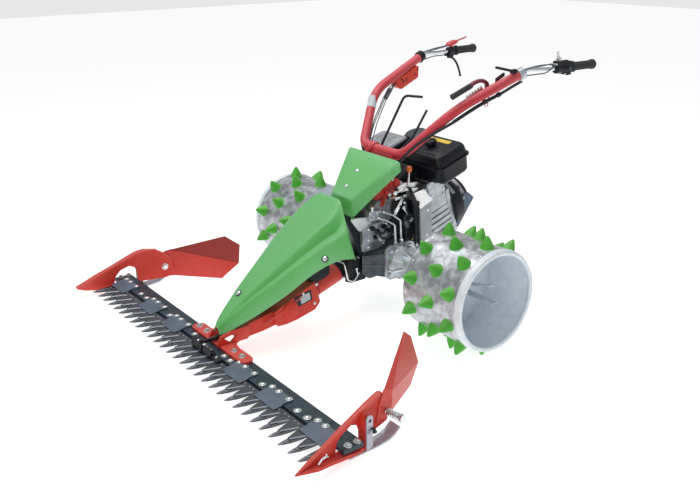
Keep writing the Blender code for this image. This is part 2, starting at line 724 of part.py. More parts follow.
def drive_shaft():
    """Shaft from the gearbox to the arm, through the socket and the tube."""
    mesh = rod(bmesh.new(), (0, TUBE_START, 0), (0, HITCH_REAR, 0), DRIVE_SHAFT_RADIUS, 12)
    place("drive_shaft", mesh, bright_steel(), along(0, TUBE_START), LINE)


def swivel_socket():
    """Black bush in which the bar's tube rolls."""
    start, end = TUBE_END + GAP, HITCH_FRONT - GAP
    step = start + (end - start) * 0.35
    collar("swivel_socket", start, end, black_plastic(),
           [(SOCKET_RADIUS, start), (SOCKET_RADIUS, step), (SOCKET_RADIUS + 0.005, step + 0.004),
            (SOCKET_RADIUS + 0.005, end)], SHAFT_BORE)


def quick_hitch():
    """Black coupling on the gearbox's front that carries the socket."""
    made = place("quick_hitch", rod(bmesh.new(), (0, HITCH_FRONT, 0), (0, HITCH_REAR, 0), HITCH_RADIUS, 24),
                 black_plastic(), along(0, HITCH_FRONT), LINE)
    z = line_z(GEAR_FRONT)
    join(made, box(bmesh.new(), (-0.040, GEAR_FRONT - 0.030, z - 0.050), (0.040, GEAR_FRONT - GAP, z + 0.0345)))
    cut(made, rod(bmesh.new(), (0, HITCH_FRONT - 0.01, 0), (0, HITCH_REAR + GAP, 0), SHAFT_BORE, 24), LINE)


def hitch_bail():
    """Bent wire handle of the hitch's latch."""
    foot = HITCH_RADIUS + GAP
    reach = foot + 0.006
    s = HITCH_FRONT + 0.014
    half = [(foot, s, -0.004), (reach, s, -0.004), (reach + 0.003, s - 0.020, -0.036),
            (reach - 0.012, s - 0.014, -0.066)]
    points = half + [(-x, a, b) for x, a, b in reversed(half)]
    mesh = swept(bmesh.new(), bent(points, 0.006, 3), BAIL_WIRE, 6)
    place("hitch_bail", mesh, bright_steel(), along(0, s, -0.004), LINE)


# Shoes, skids, boards and their bolts and springs

def shoe_point(side, s, z, out=0.0):
    """A place on the shoe: s back from the tip, z up, out from the web's outer face."""
    x = SHOE_TIP.x - s * sin(SHOE_TOE_IN) + out * cos(SHOE_TOE_IN)
    y = SHOE_TIP.y + s * cos(SHOE_TOE_IN) + out * sin(SHOE_TOE_IN)
    return Vector((side * x, y, z))


def shoe_plate(side, outline, low, high):
    """A flat outline of (s, z) points between two distances out from the web's outer face."""
    push = shoe_point(side, 0, 0, high) - shoe_point(side, 0, 0, low)
    return prism(bmesh.new(), [shoe_point(side, s, z, low) for s, z in outline], push)


def shoe_hole(side, place_, radius, low, high, sides=12):
    s, z = place_
    return rod(bmesh.new(), shoe_point(side, s, z, low), shoe_point(side, s, z, high), radius, sides)


def shoe_axis(side):
    return (shoe_point(side, 0, 0, 1) - shoe_point(side, 0, 0, 0)).normalized()


def shoe(name, side):
    """Cast divider: a web round the bar's end, with a frame that stands out of it."""
    web = [*SHOE_TOP, *SHOE_REAR, *SHOE_LOW]
    made = place(name, shoe_plate(side, web, -SHOE_WEB, 0), red_paint())
    sole = SKID_THICKNESS + GAP
    crest = [(s + GAP, z - GAP) for s, z in SHOE_TOP[:-1]]
    frame = [*crest, *SHOE_FRAME_REAR, (SHOE_RIB, 0.100), (SHOE_RIB, sole), (0.205, sole), *SHOE_FRAME_LOW]
    join(made, shoe_plate(side, frame, -SHOE_WEB / 2, SHOE_FRAME))
    cut(made, shoe_plate(side, SHOE_WINDOW, GAP, SHOE_FRAME + 0.01))
    low = BAR_BOTTOM - GAP
    high = BAR_TOP + BOLT_HEIGHT
    passage = [(0.150, low), (0.158, high + 0.010), (0.180, high + 0.034), (0.216, high + 0.047),
               (0.238, high + 0.038), (0.247, high + 0.016), (0.249, low)]
    cut(made, shoe_plate(side, passage, -0.03, SHOE_FRAME + 0.02))
    join(made, board_bolt(side))


def board_bolt(side):
    """Bolt through the shoe's web that carries the board, with a nut outside the spring."""
    far = SPRING_START + SPRING_LENGTH + GAP
    profile = [(0, -SHOE_WEB - 0.006), (0.011, -SHOE_WEB - 0.006), (0.011, -SHOE_WEB / 2),
               (BOARD_BOLT_RADIUS, -SHOE_WEB / 2), (BOARD_BOLT_RADIUS, far), (0.0115, far), (0.0115, far + 0.009),
               (0, far + 0.009)]
    return turned(bmesh.new(), profile, shoe_point(side, *SHOE_BOLT), shoe_axis(side), 10)


def skid(name, side):
    """Spring steel runner under the shoe, hung on a drilled bracket."""
    t = SKID_THICKNESS
    flat_end = SKID_FRONT_Y + 0.105
    low = [(SKID_FRONT_Y, 0), (flat_end, 0), (flat_end + 0.043, 0.006), (flat_end + 0.066, 0.017),
           (flat_end + 0.085, 0.033)]
    high = [(flat_end + 0.080, 0.037), (flat_end + 0.061, 0.021), (flat_end + 0.040, 0.0107), (flat_end, t),
            (SKID_FRONT_Y, t)]
    mesh = prism(bmesh.new(), [(side * SKID_INNER_X, y, z) for y, z in low + high], (side * SKID_WIDTH, 0, 0))
    made = place(name, mesh, bright_steel())
    front, rear, seat = SHOE_RIB - 0.012, SHOE_RIB + 0.014, SHOE_FRAME + GAP
    bracket = [(front, t / 2), (rear, t / 2), (rear, 0.106), (rear - 0.008, 0.114), (front + 0.006, 0.114),
               (front, 0.106)]
    join(made, shoe_plate(side, bracket, seat, seat + BRACKET_THICKNESS))
    middle = (front + rear) / 2
    cut(made, shoe_hole(side, (middle, 0.098), 0.0055, seat - 0.01, seat + 0.02, 8))
    join(made, shoe_hole(side, (middle, 0.062), 0.008, seat + BRACKET_THICKNESS / 2, seat + 0.012, 6))


def board_spring(name, side):
    """Compression spring on the board's bolt, wound as an open coil."""
    per_turn = 9
    steps = SPRING_TURNS * per_turn
    length = SPRING_LENGTH - 2 * SPRING_WIRE - 2 * GAP
    origin = shoe_point(side, *SHOE_BOLT, SPRING_START + SPRING_WIRE + GAP)
    axis = shoe_axis(side)
    one, two = square_axes(axis)
    path = [origin + axis * (length * k / steps)
            + (one * cos(2 * pi * k / per_turn) + two * sin(2 * pi * k / per_turn)) * SPRING_RADIUS
            for k in range(steps + 1)]
    place(name, swept(bmesh.new(), path, SPRING_WIRE, 6), bright_steel(), origin)
    turn = [path[per_turn + k] - path[k + j] for k in range(per_turn) for j in (-1, 0, 1) if k + j >= 0]
    print(name, "least gap between curls", round((min(v.length for v in turn) - 2 * SPRING_WIRE) * 1000, 2), "mm")


def board(name, side):
    """Folded swath board, hung on its bolt outside the shoe and turned in towards the wheels."""
    out = GAP + BOARD_THICKNESS / 2
    pivot = shoe_point(side, *SHOE_BOLT, out)
    made = place(name, shoe_plate(side, BOARD_TONGUE, GAP, GAP + BOARD_THICKNESS), red_paint(), pivot)
    fold_s = BOARD_TONGUE[1][0] - 0.002
    low = shoe_point(side, fold_s, BOARD_TONGUE[1][1] + 0.001, out)
    top = shoe_point(side, fold_s, BOARD_TONGUE[2][1] - 0.001, out)
    lip = shoe_point(side, BOARD_TONGUE[3][0] + 0.002, BOARD_TONGUE[3][1] - 0.001, out)
    rear_low, rear_corner, rear_high, rear_top = (mirrored(p, side) for p in BOARD_REAR)
    join(made, sheet([low, rear_low, rear_corner, top], BOARD_THICKNESS))
    join(made, sheet([top, rear_corner, rear_high, rear_top], BOARD_THICKNESS))
    join(made, sheet([(top + lip) / 2, top, rear_top, lip], BOARD_THICKNESS))
    cut(made, shoe_hole(side, SHOE_BOLT, BOARD_BOLT_RADIUS + 2 * GAP, -0.03, 0.05))


def sheet(corners, thickness):
    """A plate of four corners, thickened both ways."""
    corners = [Vector(c) for c in corners]
    normal = (corners[2] - corners[0]).cross(corners[3] - corners[1]).normalized()
    return loft(bmesh.new(), [[c - normal * thickness / 2 for c in corners],
                              [c + normal * thickness / 2 for c in corners]])


# Hood and cover

def hood_underside(y):
    """Height just under the flat middle of the hood."""
    for (y0, _, z0, *_), (y1, _, z1, *_) in zip(HOOD_STATIONS, HOOD_STATIONS[1:]):
        if y0 <= y <= y1:
            slope = (z1 - z0) / (y1 - y0)
            return z0 + (y - y0) * slope - (SHEET + GAP) * (1 + slope ** 2) ** 0.5


def hood():
    """Leaf-shaped cover over the arm: a flat middle, a groove and a ridge on each side."""
    mesh = bmesh.new()
    rows = []
    for y, crest_x, crest_z, ridge_x, ridge_z, edge_x, edge_z in HOOD_STATIONS:
        valley_x = crest_x + (ridge_x - crest_x) * 0.35
        valley_z = min(crest_z, ridge_z + 0.004) - (ridge_x - crest_x) * 0.12
        half = [(crest_x, y, crest_z), (valley_x, y, valley_z), (ridge_x, y, ridge_z), (edge_x, y, edge_z)]
        rows.append([(-x, a, b) for x, a, b in reversed(half)] + half)
    crest, middle, corner = HOOD_REAR
    half = [crest, crest.lerp(middle, 0.5), middle, corner]
    rows.append([mirrored(p, -1) for p in reversed(half)] + half)
    folded(mesh, rows)
    thicken(place("hood", mesh, green_paint(), crease=20))


def folded(mesh, rows):
    """An open sheet through rows of points."""
    made = [[mesh.verts.new(p) for p in row] for row in rows]
    for one, two in zip(made, made[1:]):
        for i in range(len(one) - 1):
            mesh.faces.new((one[i], one[i + 1], two[i + 1], two[i]))
    return made


def thicken(shell):
    """Turns an open sheet's faces up and gives it its thickness below."""
    data = shell.data
    if sum(face.normal.z * face.area for face in data.polygons) < 0:
        data.flip_normals()
    step = shell.modifiers.new("sheet", "SOLIDIFY")
    step.thickness = SHEET
    step.offset = -1
    step.use_even_offset = True


def cover_plane(y):
    """Height of the cover's flat top over a place y."""
    front, rear = COVER_TOP
    return front.z + (y - front.y) * (rear.z - front.z) / (rear.y - front.y)


def cover_underside(y):
    front, rear = COVER_TOP
    slope = (rear.z - front.z) / (rear.y - front.y)
    return cover_plane(y) - (SHEET + GAP) * (1 + slope ** 2) ** 0.5


def cover_box():
    """Box-shaped cover over the gearbox, open below and behind."""
    front, rear = COVER_TOP
    mesh = bmesh.new()
    rows = []
    for top, drop in ((front, COVER_FRONT_DEPTH), (front.lerp(rear, 0.5), COVER_MIDDLE_DEPTH), (rear, COVER_REAR_DEPTH)):
        edge = Vector((top.x + 0.004, top.y + 0.004, top.z - drop))
        rows.append([mirrored(edge, -1), mirrored(top, -1), top, edge])
    made = folded(mesh, rows)
    mesh.faces.new(made[0])
    thicken(place("cover_box", mesh, green_paint(), crease=20))


# Gearbox, axle cases and what stands on them

def engine_face_y(z):
    """Place of the engine's front face at a height, GAP ahead of it."""
    s = ENGINE_FACE - GAP
    up = (z - AXLE_HEIGHT - LINE_RISE - s * sin(DRIVE_PITCH)) / cos(DRIVE_PITCH)
    return along(0, s, up).y


def gearbox_housing():
    low, high = AXLE_HEIGHT + GEAR_BOTTOM, AXLE_HEIGHT + GEAR_TOP
    w = GEAR_HALF_WIDTH
    outline = [(GEAR_FRONT, low + 0.024), (GEAR_FRONT + 0.024, low), (engine_face_y(low + 0.02) - 0.02, low),
               (engine_face_y(low + 0.02), low + 0.02), (engine_face_y(high), high), (GEAR_FRONT, high)]
    mesh = prism(bmesh.new(), [(-w, y, z) for y, z in outline], (2 * w, 0, 0))
    bevel(place("gearbox_housing", mesh, dark_casting()), 0.004)


def gearbox_top():
    low, high = AXLE_HEIGHT + GEAR_TOP + GAP, AXLE_HEIGHT + UPPER_TOP
    w = UPPER_HALF_WIDTH
    outline = [(UPPER_FRONT, low), (engine_face_y(low), low), (engine_face_y(high), high),
               (UPPER_FRONT + 0.02, high), (UPPER_FRONT, high - 0.02)]
    mesh = prism(bmesh.new(), [(-w, y, z) for y, z in outline], (2 * w, 0, 0))
    bevel(place("gearbox_top", mesh, cast_aluminium()), 0.004)


def front_plate():
    """Black sloping guard in front of the gearbox."""
    low, high = AXLE_HEIGHT + GEAR_TOP - 0.050, AXLE_HEIGHT + UPPER_TOP
    front = GEAR_FRONT - GAP
    edge = COVER_TOP[0].z - COVER_FRONT_DEPTH - 0.003
    outline = [(front, low), (front, high - 0.030), (front - 0.040, high - 0.030), (front - 0.050, edge),
               (front - 0.066, edge), (front - 0.074, edge - 0.020), (front - 0.014, low)]
    mesh = prism(bmesh.new(), [(-0.052, y, z) for y, z in outline], (0.104, 0, 0))
    place("front_plate", mesh, black_plastic())


def axle_case(name, side):
    """Casting that carries a wheel's shaft."""
    start = GEAR_HALF_WIDTH + GAP
    r = AXLE_CASE_RADIUS
    profile = [(0, 0), (r + 0.010, 0), (r + 0.010, 0.014), (r, 0.018), (r, AXLE_CASE_BODY),
               (r * 0.70, AXLE_CASE_BODY + 0.012), (r * 0.55, AXLE_CASE_END - start), (0, AXLE_CASE_END - start)]
    place(name, turned(bmesh.new(), profile, wheel_centre(side, start), (side, 0, 0), 20), cast_aluminium(),
          wheel_centre(side, start))


def hydraulic_pipes():
    """Two bright bent pipes from a block on the gearbox down to the left axle case."""
    x = UPPER_HALF_WIDTH + GAP
    front = UPPER_FRONT
    block = box(bmesh.new(), (x, front, 0.390), (x + 0.012, front + 0.040, 0.428))
    made = place("hydraulic_pipes", block, bright_steel())
    pipes = ((0.108, front + 0.029, 0.011, 0.032, 0.418, 0.362), (0.122, front + 0.010, -0.009, 0.007, 0.401, 0.345))
    for x_end, y0, y1, y2, z0, z1 in pipes:
        near = max(0, abs(y2) - PIPE_RADIUS)
        foot = AXLE_HEIGHT + (AXLE_CASE_RADIUS ** 2 - near ** 2) ** 0.5 + GAP + PIPE_RADIUS * 0.35
        points = [(x + 0.006, y0, z0), (x + 0.020, y0, z0), (x_end, y1, z1), (x_end, y2, foot)]
        join(made, swept(bmesh.new(), bent(points, 0.014, 3), PIPE_RADIUS, 8))


def handlebar_bracket():
    """Red casting on the gearbox that carries the handlebar's swivel and the cover."""
    base = AXLE_HEIGHT + UPPER_TOP + GAP
    top = LOOP_CENTRE.z - SWIVEL_HEIGHT - GAP
    w = BRACKET_HALF_WIDTH
    y = LOOP_CENTRE.y
    seat_front, seat_rear = y - 0.093, y - 0.053
    outline = [(seat_front + 0.020, base), (engine_face_y(base) - 0.002, base), (y + 0.024, base + 0.030),
               (y + 0.026, top), (y - 0.022, top), (y - 0.040, top - 0.012), (seat_rear, cover_underside(seat_rear)),
               (seat_front, cover_underside(seat_front))]
    mesh = prism(bmesh.new(), [(-w, a, b) for a, b in outline], (2 * w, 0, 0))
    place("handlebar_bracket", mesh, red_paint())


def handlebar_swivel():
    """Block that turns on the bracket and holds the loop's cross tube."""
    y, z = LOOP_CENTRE.y, LOOP_CENTRE.z
    low = z - SWIVEL_HEIGHT
    made = place("handlebar_swivel", box(bmesh.new(), (-SWIVEL_NECK, y - 0.020, low), (SWIVEL_NECK, y + 0.020, z - 0.020)),
                 red_paint(), (0, y, low))
    join(made, box(bmesh.new(), (-SADDLE_HALF, y - 0.021, z - 0.026), (SADDLE_HALF, y + 0.021, z - 0.004)))
    clamp = box(bmesh.new(), (-SADDLE_HALF, y - 0.024, z - 0.027), (-SADDLE_HALF + SADDLE_CLAMP, y + 0.024, z + 0.023))
    join(made, clamp)
    bore = (TUBE_R + GAP) / cos(pi / 16)
    cut(made, rod(bmesh.new(), (-0.12, y, z), (0.12, y, z), bore, 16))


def pto_lever():
    """Lever with an orange knob on the bracket's left side."""
    x, y, z = PTO_PIVOT
    made = place("pto_lever", rod(bmesh.new(), (BRACKET_HALF_WIDTH + GAP, y, z), (x, y, z), 0.008, 12),
                 bright_steel(), (BRACKET_HALF_WIDTH + GAP, y, z))
    points = [(x - 0.006, y, z), (x + 0.001, y + 0.030, z + 0.006), (x + 0.005, y + 0.056, z + 0.028),
              (x + 0.005, y + 0.058, z + 0.090)]
    join(made, swept(bmesh.new(), bent(points, 0.016, 3), 0.0045, 8))
    knob = Vector((x + 0.005, y + 0.058, z + 0.084))
    profile = [(0, 0), (0.007, 0.002), (0.011, 0.010), (0.007, 0.019), (0, 0.021)]
    join(made, turned(bmesh.new(), profile, knob, (0, 0, 1), 12))


def shift_rod(name, pivot, points):
    """Black selector rod that swings on the bracket's right side."""
    pivot = Vector(pivot)
    hub_end = Vector((points[0][0] - 0.004, pivot.y, pivot.z))
    made = place(name, rod(bmesh.new(), pivot, hub_end, 0.008, 10), black_plastic(), pivot)
    join(made, swept(bmesh.new(), bent(points, 0.020, 4), ROD_RADIUS, 8))


def shift_rods():
    x = -BRACKET_HALF_WIDTH - GAP
    tall, short = TALL_ROD_X, SHORT_ROD_X
    shift_rod("shift_rod_tall", (x, 0.028, 0.500),
              [(tall, 0.028, 0.500), (tall, 0.062, 0.634), (tall, 0.172, 0.806), (tall + 0.072, 0.200, 0.807)])
    shift_rod("shift_rod_short", (x, -0.010, 0.478), [(short, -0.010, 0.478), (short, 0.229, 0.631), (short, 0.302, 0.731)])


# Engine

def crankcase():
    """Crank housing with the black stand that carries the tank."""
    end = ENGINE_FACE + CRANKCASE_LENGTH
    w = CRANKCASE_HALF_WIDTH
    mesh = box(bmesh.new(), (-w, ENGINE_FACE, CRANKCASE_BOTTOM), (w, end, CRANKCASE_TOP))
    made = place("crankcase", mesh, cast_aluminium(), frame=LINE)
    bevel(made, 0.012, 2)
    join(made, box(bmesh.new(), (TANK_LOW_X + 0.020, TANK_START + 0.018, CRANKCASE_TOP - 0.01),
                   (TANK_HIGH_X - 0.050, end - 0.012, TANK_TOP - TANK_HEIGHT - GAP)), LINE)


def fan_shroud():
    """Black fan housing with the dished starter housing behind it."""
    start = ENGINE_FACE + CRANKCASE_LENGTH + GAP
    r, cup = SHROUD_RADIUS, STARTER_RADIUS
    step = start + SHROUD_DEPTH
    profile = [(0, start), (r, start), (r, start + SHROUD_DEPTH * 0.7), (r - 0.014, step), (cup, step),
               (cup - 0.006, step + STARTER_DEPTH * 0.7), (cup - 0.022, step + STARTER_DEPTH), (0, step + STARTER_DEPTH)]
    place("fan_shroud", turned(bmesh.new(), profile, (0, 0, 0), (0, 1, 0), 24), black_plastic(), along(0, start), LINE)


def rear_guard():
    """Sloping plate under the starter, held on the crank housing."""
    t = 0.006
    seat = CRANKCASE_BOTTOM - GAP
    end = ENGINE_FACE + CRANKCASE_LENGTH
    outline = [(end + 0.124, -0.0680), (end + 0.020, -0.1388), (end - 0.003, -0.122), (end - 0.003, seat),
               (end - 0.035, seat), (end - 0.035, seat - t), (end - 0.010, seat - t), (end - 0.010, -0.126),
               (end + 0.019, -0.1468), (end + 0.1275, -0.0735)]
    place("rear_guard", prism(bmesh.new(), [(-0.050, s, up) for s, up in outline], (0.135, 0, 0)), dark_casting(),
          frame=LINE)


def fuel_tank():
    """Black tank in two halves welded at a flange, drawn in below."""
    top, low = TANK_TOP, TANK_TOP - TANK_HEIGHT
    seam = TANK_TOP - TANK_HEIGHT * 0.42
    start, end = TANK_START, TANK_START + TANK_LENGTH
    rings = []
    for z, grow in ((low, -0.016), (low + 0.012, -0.006), (seam - 0.003, 0.0), (seam - 0.003, 0.007),
                    (seam + 0.003, 0.007), (seam + 0.003, 0.0), (top - 0.010, -0.003), (top, -0.014)):
        ring = []
        for cx, cy, sx, sy, first in ((TANK_HIGH_X, end, 1, 1, 0), (TANK_LOW_X, end, -1, 1, 90),
                                      (TANK_LOW_X, start, -1, -1, 180), (TANK_HIGH_X, start, 1, -1, 270)):
            for k in range(4):
                a = radians(first + 30 * k)
                r = TANK_CORNER
                ring.append((cx + sx * (grow - r) + r * cos(a), cy + sy * (grow - r) + r * sin(a), z))
        rings.append(ring)
    place("fuel_tank", loft(bmesh.new(), rings), black_plastic(), frame=LINE, crease=25)


def fuel_cap():
    x, s = CAP_PLACE
    profile = [(0, 0), (0.014, 0), (0.014, 0.010), (0.024, 0.011), (0.024, 0.024), (0.020, 0.028), (0, 0.028)]
    mesh = turned(bmesh.new(), profile, (x, s, TANK_TOP + GAP), (0, 0, 1), 16)
    place("fuel_cap", mesh, black_plastic(), along(x, s, TANK_TOP), LINE)


def cylinder():
    """Finned cylinder on the right of the crank housing, under the muffler guard."""
    low_x, high_x = MUFFLER_HIGH_X - MUFFLER_WIDTH + 0.020, MUFFLER_HIGH_X - 0.005
    base, top = CRANKCASE_TOP + GAP, TANK_TOP - MUFFLER_DEPTH
    pitch = (top - base) / FIN_COUNT
    front, rear = MUFFLER_START + 0.010, MUFFLER_START + MUFFLER_LENGTH - 0.010
    made = place("cylinder", box(bmesh.new(), (low_x + 0.012, front + 0.012, base), (high_x - 0.012, rear - 0.012, top)),
                 cast_aluminium(), frame=LINE)
    fins = bmesh.new()
    for k in range(FIN_COUNT):
        z = base + pitch * (k + 0.3)
        box(fins, (low_x, front, z), (high_x, rear, z + pitch * 0.35))
    join(made, fins, LINE)


def muffler_guard():
    """Light grey guard box over the muffler."""
    low = TANK_TOP - MUFFLER_DEPTH + GAP
    mesh = box(bmesh.new(), (MUFFLER_HIGH_X - MUFFLER_WIDTH, MUFFLER_START, low),
               (MUFFLER_HIGH_X, MUFFLER_START + MUFFLER_LENGTH, TANK_TOP))
    bevel(place("muffler_guard", mesh, cast_aluminium(), frame=LINE), 0.010, 2)


def air_filter():
    """Domed air filter behind the cylinder, on its intake."""
    x, s = FILTER_PLACE
    low = CRANKCASE_TOP + 0.025
    r = FILTER_RADIUS
    profile = [(0, low), (r - 0.012, low), (r - 0.004, low + 0.050), (r, TANK_TOP - 0.020),
               (r - 0.010, TANK_TOP + 0.004), (r * 0.45, TANK_TOP + 0.014), (0, TANK_TOP + 0.016)]
    made = place("air_filter", turned(bmesh.new(), profile, (x, s, 0), (0, 0, 1), 20), dark_casting(), frame=LINE)
    rear = MUFFLER_START + MUFFLER_LENGTH - 0.010
    join(made, box(bmesh.new(), (x - 0.016, rear + GAP, low + 0.002), (x + 0.016, s, low + 0.036)), LINE)


def guard_box():
    """Pale folded guard on the engine's left front corner."""
    x0, x1 = CRANKCASE_HALF_WIDTH + GAP, CRANKCASE_HALF_WIDTH + GUARD_DEPTH
    top = CRANKCASE_TOP
    outline = [(x0, top - 0.175), (x1, top - 0.175), (x1, top - 0.028), (x1 - 0.043, top + 0.024),
               (x1 - 0.050, top + 0.0175), (x0 + 0.003, top - 0.007), (x0, top - 0.007)]
    mesh = prism(bmesh.new(), [(x, GUARD_START, z) for x, z in outline], (0, GUARD_LENGTH, 0))
    place("guard_box", mesh, cast_aluminium(), frame=LINE)


# Handlebar and its controls

def loop_centre_z(y):
    """Height of the loop's upper tubes over a place y."""
    return LOOP_BEND.z + (y - LOOP_BEND.y) * (LOOP_END.z - LOOP_BEND.z) / (LOOP_END.y - LOOP_BEND.y)


def loop_centre_x(y):
    return LOOP_BEND.x + (y - LOOP_BEND.y) * (LOOP_END.x - LOOP_BEND.x) / (LOOP_END.y - LOOP_BEND.y)


def handlebar_loop():
    """Red tube with the notched sector and the ears that carry the levers."""
    half = [LOOP_END, LOOP_BEND, LOOP_CORNER]
    points = half + [mirrored(p, -1) for p in reversed(half)]
    mesh = swept(bmesh.new(), bent(points, (0.25, 0.055, 0.055, 0.25), 5), TUBE_R, 16)
    made = place("handlebar_loop", mesh, red_paint(), LOOP_CENTRE)
    x = SECTOR_X
    start, end, count = 0.208, 0.282, 4
    step = (end - start) / count
    teeth = []
    for k in range(count):
        y = start + k * step
        teeth += [(y, loop_centre_z(y) + 0.026), (y + step * 0.55, loop_centre_z(y + step * 0.55) + 0.026),
                  (y + step * 0.6, loop_centre_z(y + step * 0.6) + 0.020), (y + step * 0.95, loop_centre_z(y + step) + 0.020)]
    outline = [(start - 0.004, loop_centre_z(start)), *teeth, (end + 0.004, loop_centre_z(end))]
    join(made, prism(bmesh.new(), [(x, y, z) for y, z in outline], (SECTOR_THICKNESS, 0, 0)))
    y = HAND_PIVOT_Y
    join(made, rod(bmesh.new(), (loop_centre_x(y), y, loop_centre_z(y)), (x, y, loop_centre_z(y)), 0.009, 12))
    y = LOCK_PIVOT_Y
    ear = box(bmesh.new(), (loop_centre_x(y) - 0.004, y - 0.012, loop_centre_z(y)),
              (loop_centre_x(y) + 0.004, y + 0.012, loop_centre_z(y) + LOCK_RISE + 0.008))
    join(made, ear)


def hand_lever():
    """Lever with a ribbed grip that arches over the sector."""
    y, z = HAND_PIVOT_Y, loop_centre_z(HAND_PIVOT_Y)
    x = SECTOR_X - GAP
    made = place("hand_lever", rod(bmesh.new(), (x, y, z), (x - 0.016, y, z), 0.010, 12), bright_steel(), (x, y, z))
    middle = x - 0.012
    arc = [(middle, y, z), (middle, y - 0.008, z + 0.016), (middle, y - 0.038, z + 0.026), (middle, y - 0.068, z + 0.021),
           (middle, y - 0.092, z + 0.012)]
    join(made, swept(bmesh.new(), flowing(arc, 3), 0.006, 8))
    tip, root = Vector((middle, y - 0.183, z - 0.017)), Vector((middle, y - 0.089, z + 0.0132))
    join(made, rod(bmesh.new(), root, tip, 0.0095, 12))


def locking_lever():
    """Black lever on top of the left tube."""
    y = LOCK_PIVOT_Y
    z = loop_centre_z(y) + LOCK_RISE
    x = loop_centre_x(y) + 0.004 + GAP
    made = place("locking_lever", box(bmesh.new(), (x, y - 0.020, z - 0.002), (x + 0.011, y + 0.006, z + 0.010)),
                 black_plastic(), (x, y, z))
    join(made, rod(bmesh.new(), (x + 0.0055, y - 0.012, z + 0.004), (x + 0.0055, y - 0.107, z + 0.026), 0.005, 10))


def handle_frame(side):
    """Frame on the straight end of a handle: Y along it to the rear, Z up."""
    start, end = mirrored(HANDLE_BEND, side), mirrored(HANDLE_END, side)
    turn = -side * asin(abs(end.x - start.x) / (end - start).length)
    return Matrix.Translation(start) @ Matrix.Rotation(turn, 4, "Z")


def handle(name, side):
    """Silver handle tube with the collar that clamps it on the loop's end."""
    end, bend = LOOP_END, LOOP_BEND
    ahead = (end - bend).normalized()
    tip = HANDLE_END + (HANDLE_BEND - HANDLE_END).normalized() * (GRIP_WALL + GAP)
    points = [mirrored(p, side) for p in (end + ahead * 0.004, end + ahead * 0.030, HANDLE_BEND, tip)]
    ring = [(TUBE_R + GAP) / cos(pi / 16), TUBE_R + COLLAR_WALL]
    profile = [(ring[0], -COLLAR_LENGTH), (ring[1], -COLLAR_LENGTH), (ring[1], 0.010), (0, 0.010),
               (0, GAP), (ring[0], GAP)]
    made = place(name, turned(bmesh.new(), profile, mirrored(end, side), mirrored(ahead, side), 16), bright_steel())
    join(made, swept(bmesh.new(), bent(points, 0.040, 4), HANDLE_R, 12))
    if side < 0:
        low, high = -HANDLE_R - PERCH_WALL, HANDLE_R + PERCH_WALL
        join(made, box(bmesh.new(), (-0.015, PERCH_START, low), (0.015, PERCH_START + 0.032, high)), handle_frame(side))


def grip(name, side):
    """Rubber grip pushed on the handle's end, with a flange at the front and a closed rear."""
    total = (HANDLE_END - HANDLE_BEND).length
    start = total - GRIP_LENGTH
    bore = (HANDLE_R + GAP) / cos(pi / 12)
    profile = [(bore, start), (GRIP_R + 0.005, start), (GRIP_R + 0.005, start + 0.006), (GRIP_R, start + 0.008),
               (GRIP_R, total - 0.014), (GRIP_R + 0.003, total - 0.010), (GRIP_R + 0.002, total),
               (0, total), (0, total - GRIP_WALL), (bore, total - GRIP_WALL)]
    place(name, turned(bmesh.new(), profile, (0, 0, 0), (0, 1, 0), 16), rubber(), handle_frame(side) @ Vector((0, start, 0)),
          handle_frame(side))


def control_unit():
    """Black switch and throttle housing round the left handle."""
    frame = handle_frame(1)
    front, rear = UNIT_START, (HANDLE_END - HANDLE_BEND).length - GRIP_LENGTH - 0.004
    made = place("control_unit", box(bmesh.new(), (-0.022, front, -0.028), (0.022, rear, UNIT_TOP)), black_plastic(),
                 frame=frame)
    cut(made, rod(bmesh.new(), (0, front - 0.02, 0), (0, rear + 0.02, 0), (HANDLE_R + GAP) / cos(pi / 12), 12), frame)


def throttle_lever():
    """Small chrome lever on top of the control unit."""
    frame = handle_frame(1)
    y, z = UNIT_START + 0.026, UNIT_TOP + GAP + 0.006
    made = place("throttle_lever", rod(bmesh.new(), (-0.010, y, z), (0.010, y, z), 0.006, 12), bright_steel(),
                 frame @ Vector((0, y, z)), frame)
    blade = [(y - 0.006, z), (y + 0.005, z + 0.002), (y - 0.006, z + 0.031), (y - 0.014, z + 0.029)]
    join(made, prism(bmesh.new(), [(-0.003, a, b) for a, b in blade], (0.006, 0, 0)), frame)


def control_box():
    """Red box hung under the right tube."""
    y0, y1 = BOX_PLACE
    drop = (TUBE_R + GAP) * 1.07
    x0 = -loop_centre_x((y0 + y1) / 2) - BOX_WIDTH / 2
    outline = [(y0, loop_centre_z(y0) - drop), (y1, loop_centre_z(y1) - drop),
               (y1, loop_centre_z(y1) - drop - BOX_DEPTH * 0.95), (y0, loop_centre_z(y0) - drop - BOX_DEPTH)]
    mesh = prism(bmesh.new(), [(x0, y, z) for y, z in outline], (BOX_WIDTH, 0, 0))
    bevel(place("control_box", mesh, red_paint()), 0.003)


def clutch_lever():
    """Curved black lever under the right grip."""
    frame = handle_frame(-1)
    y, z = PERCH_START + 0.014, -HANDLE_R - PERCH_WALL - GAP - 0.007
    made = place("clutch_lever", rod(bmesh.new(), (-0.012, y, z), (0.012, y, z), 0.007, 10), black_plastic(),
                 frame @ Vector((0, y, z)), frame)
    path = [(0, y, z), (0, y + 0.018, z - 0.018), (0, y + 0.043, z - 0.050), (0, y + 0.068, z - 0.090)]
    join(made, swept(bmesh.new(), flowing(path, 3), 0.005, 8), frame)


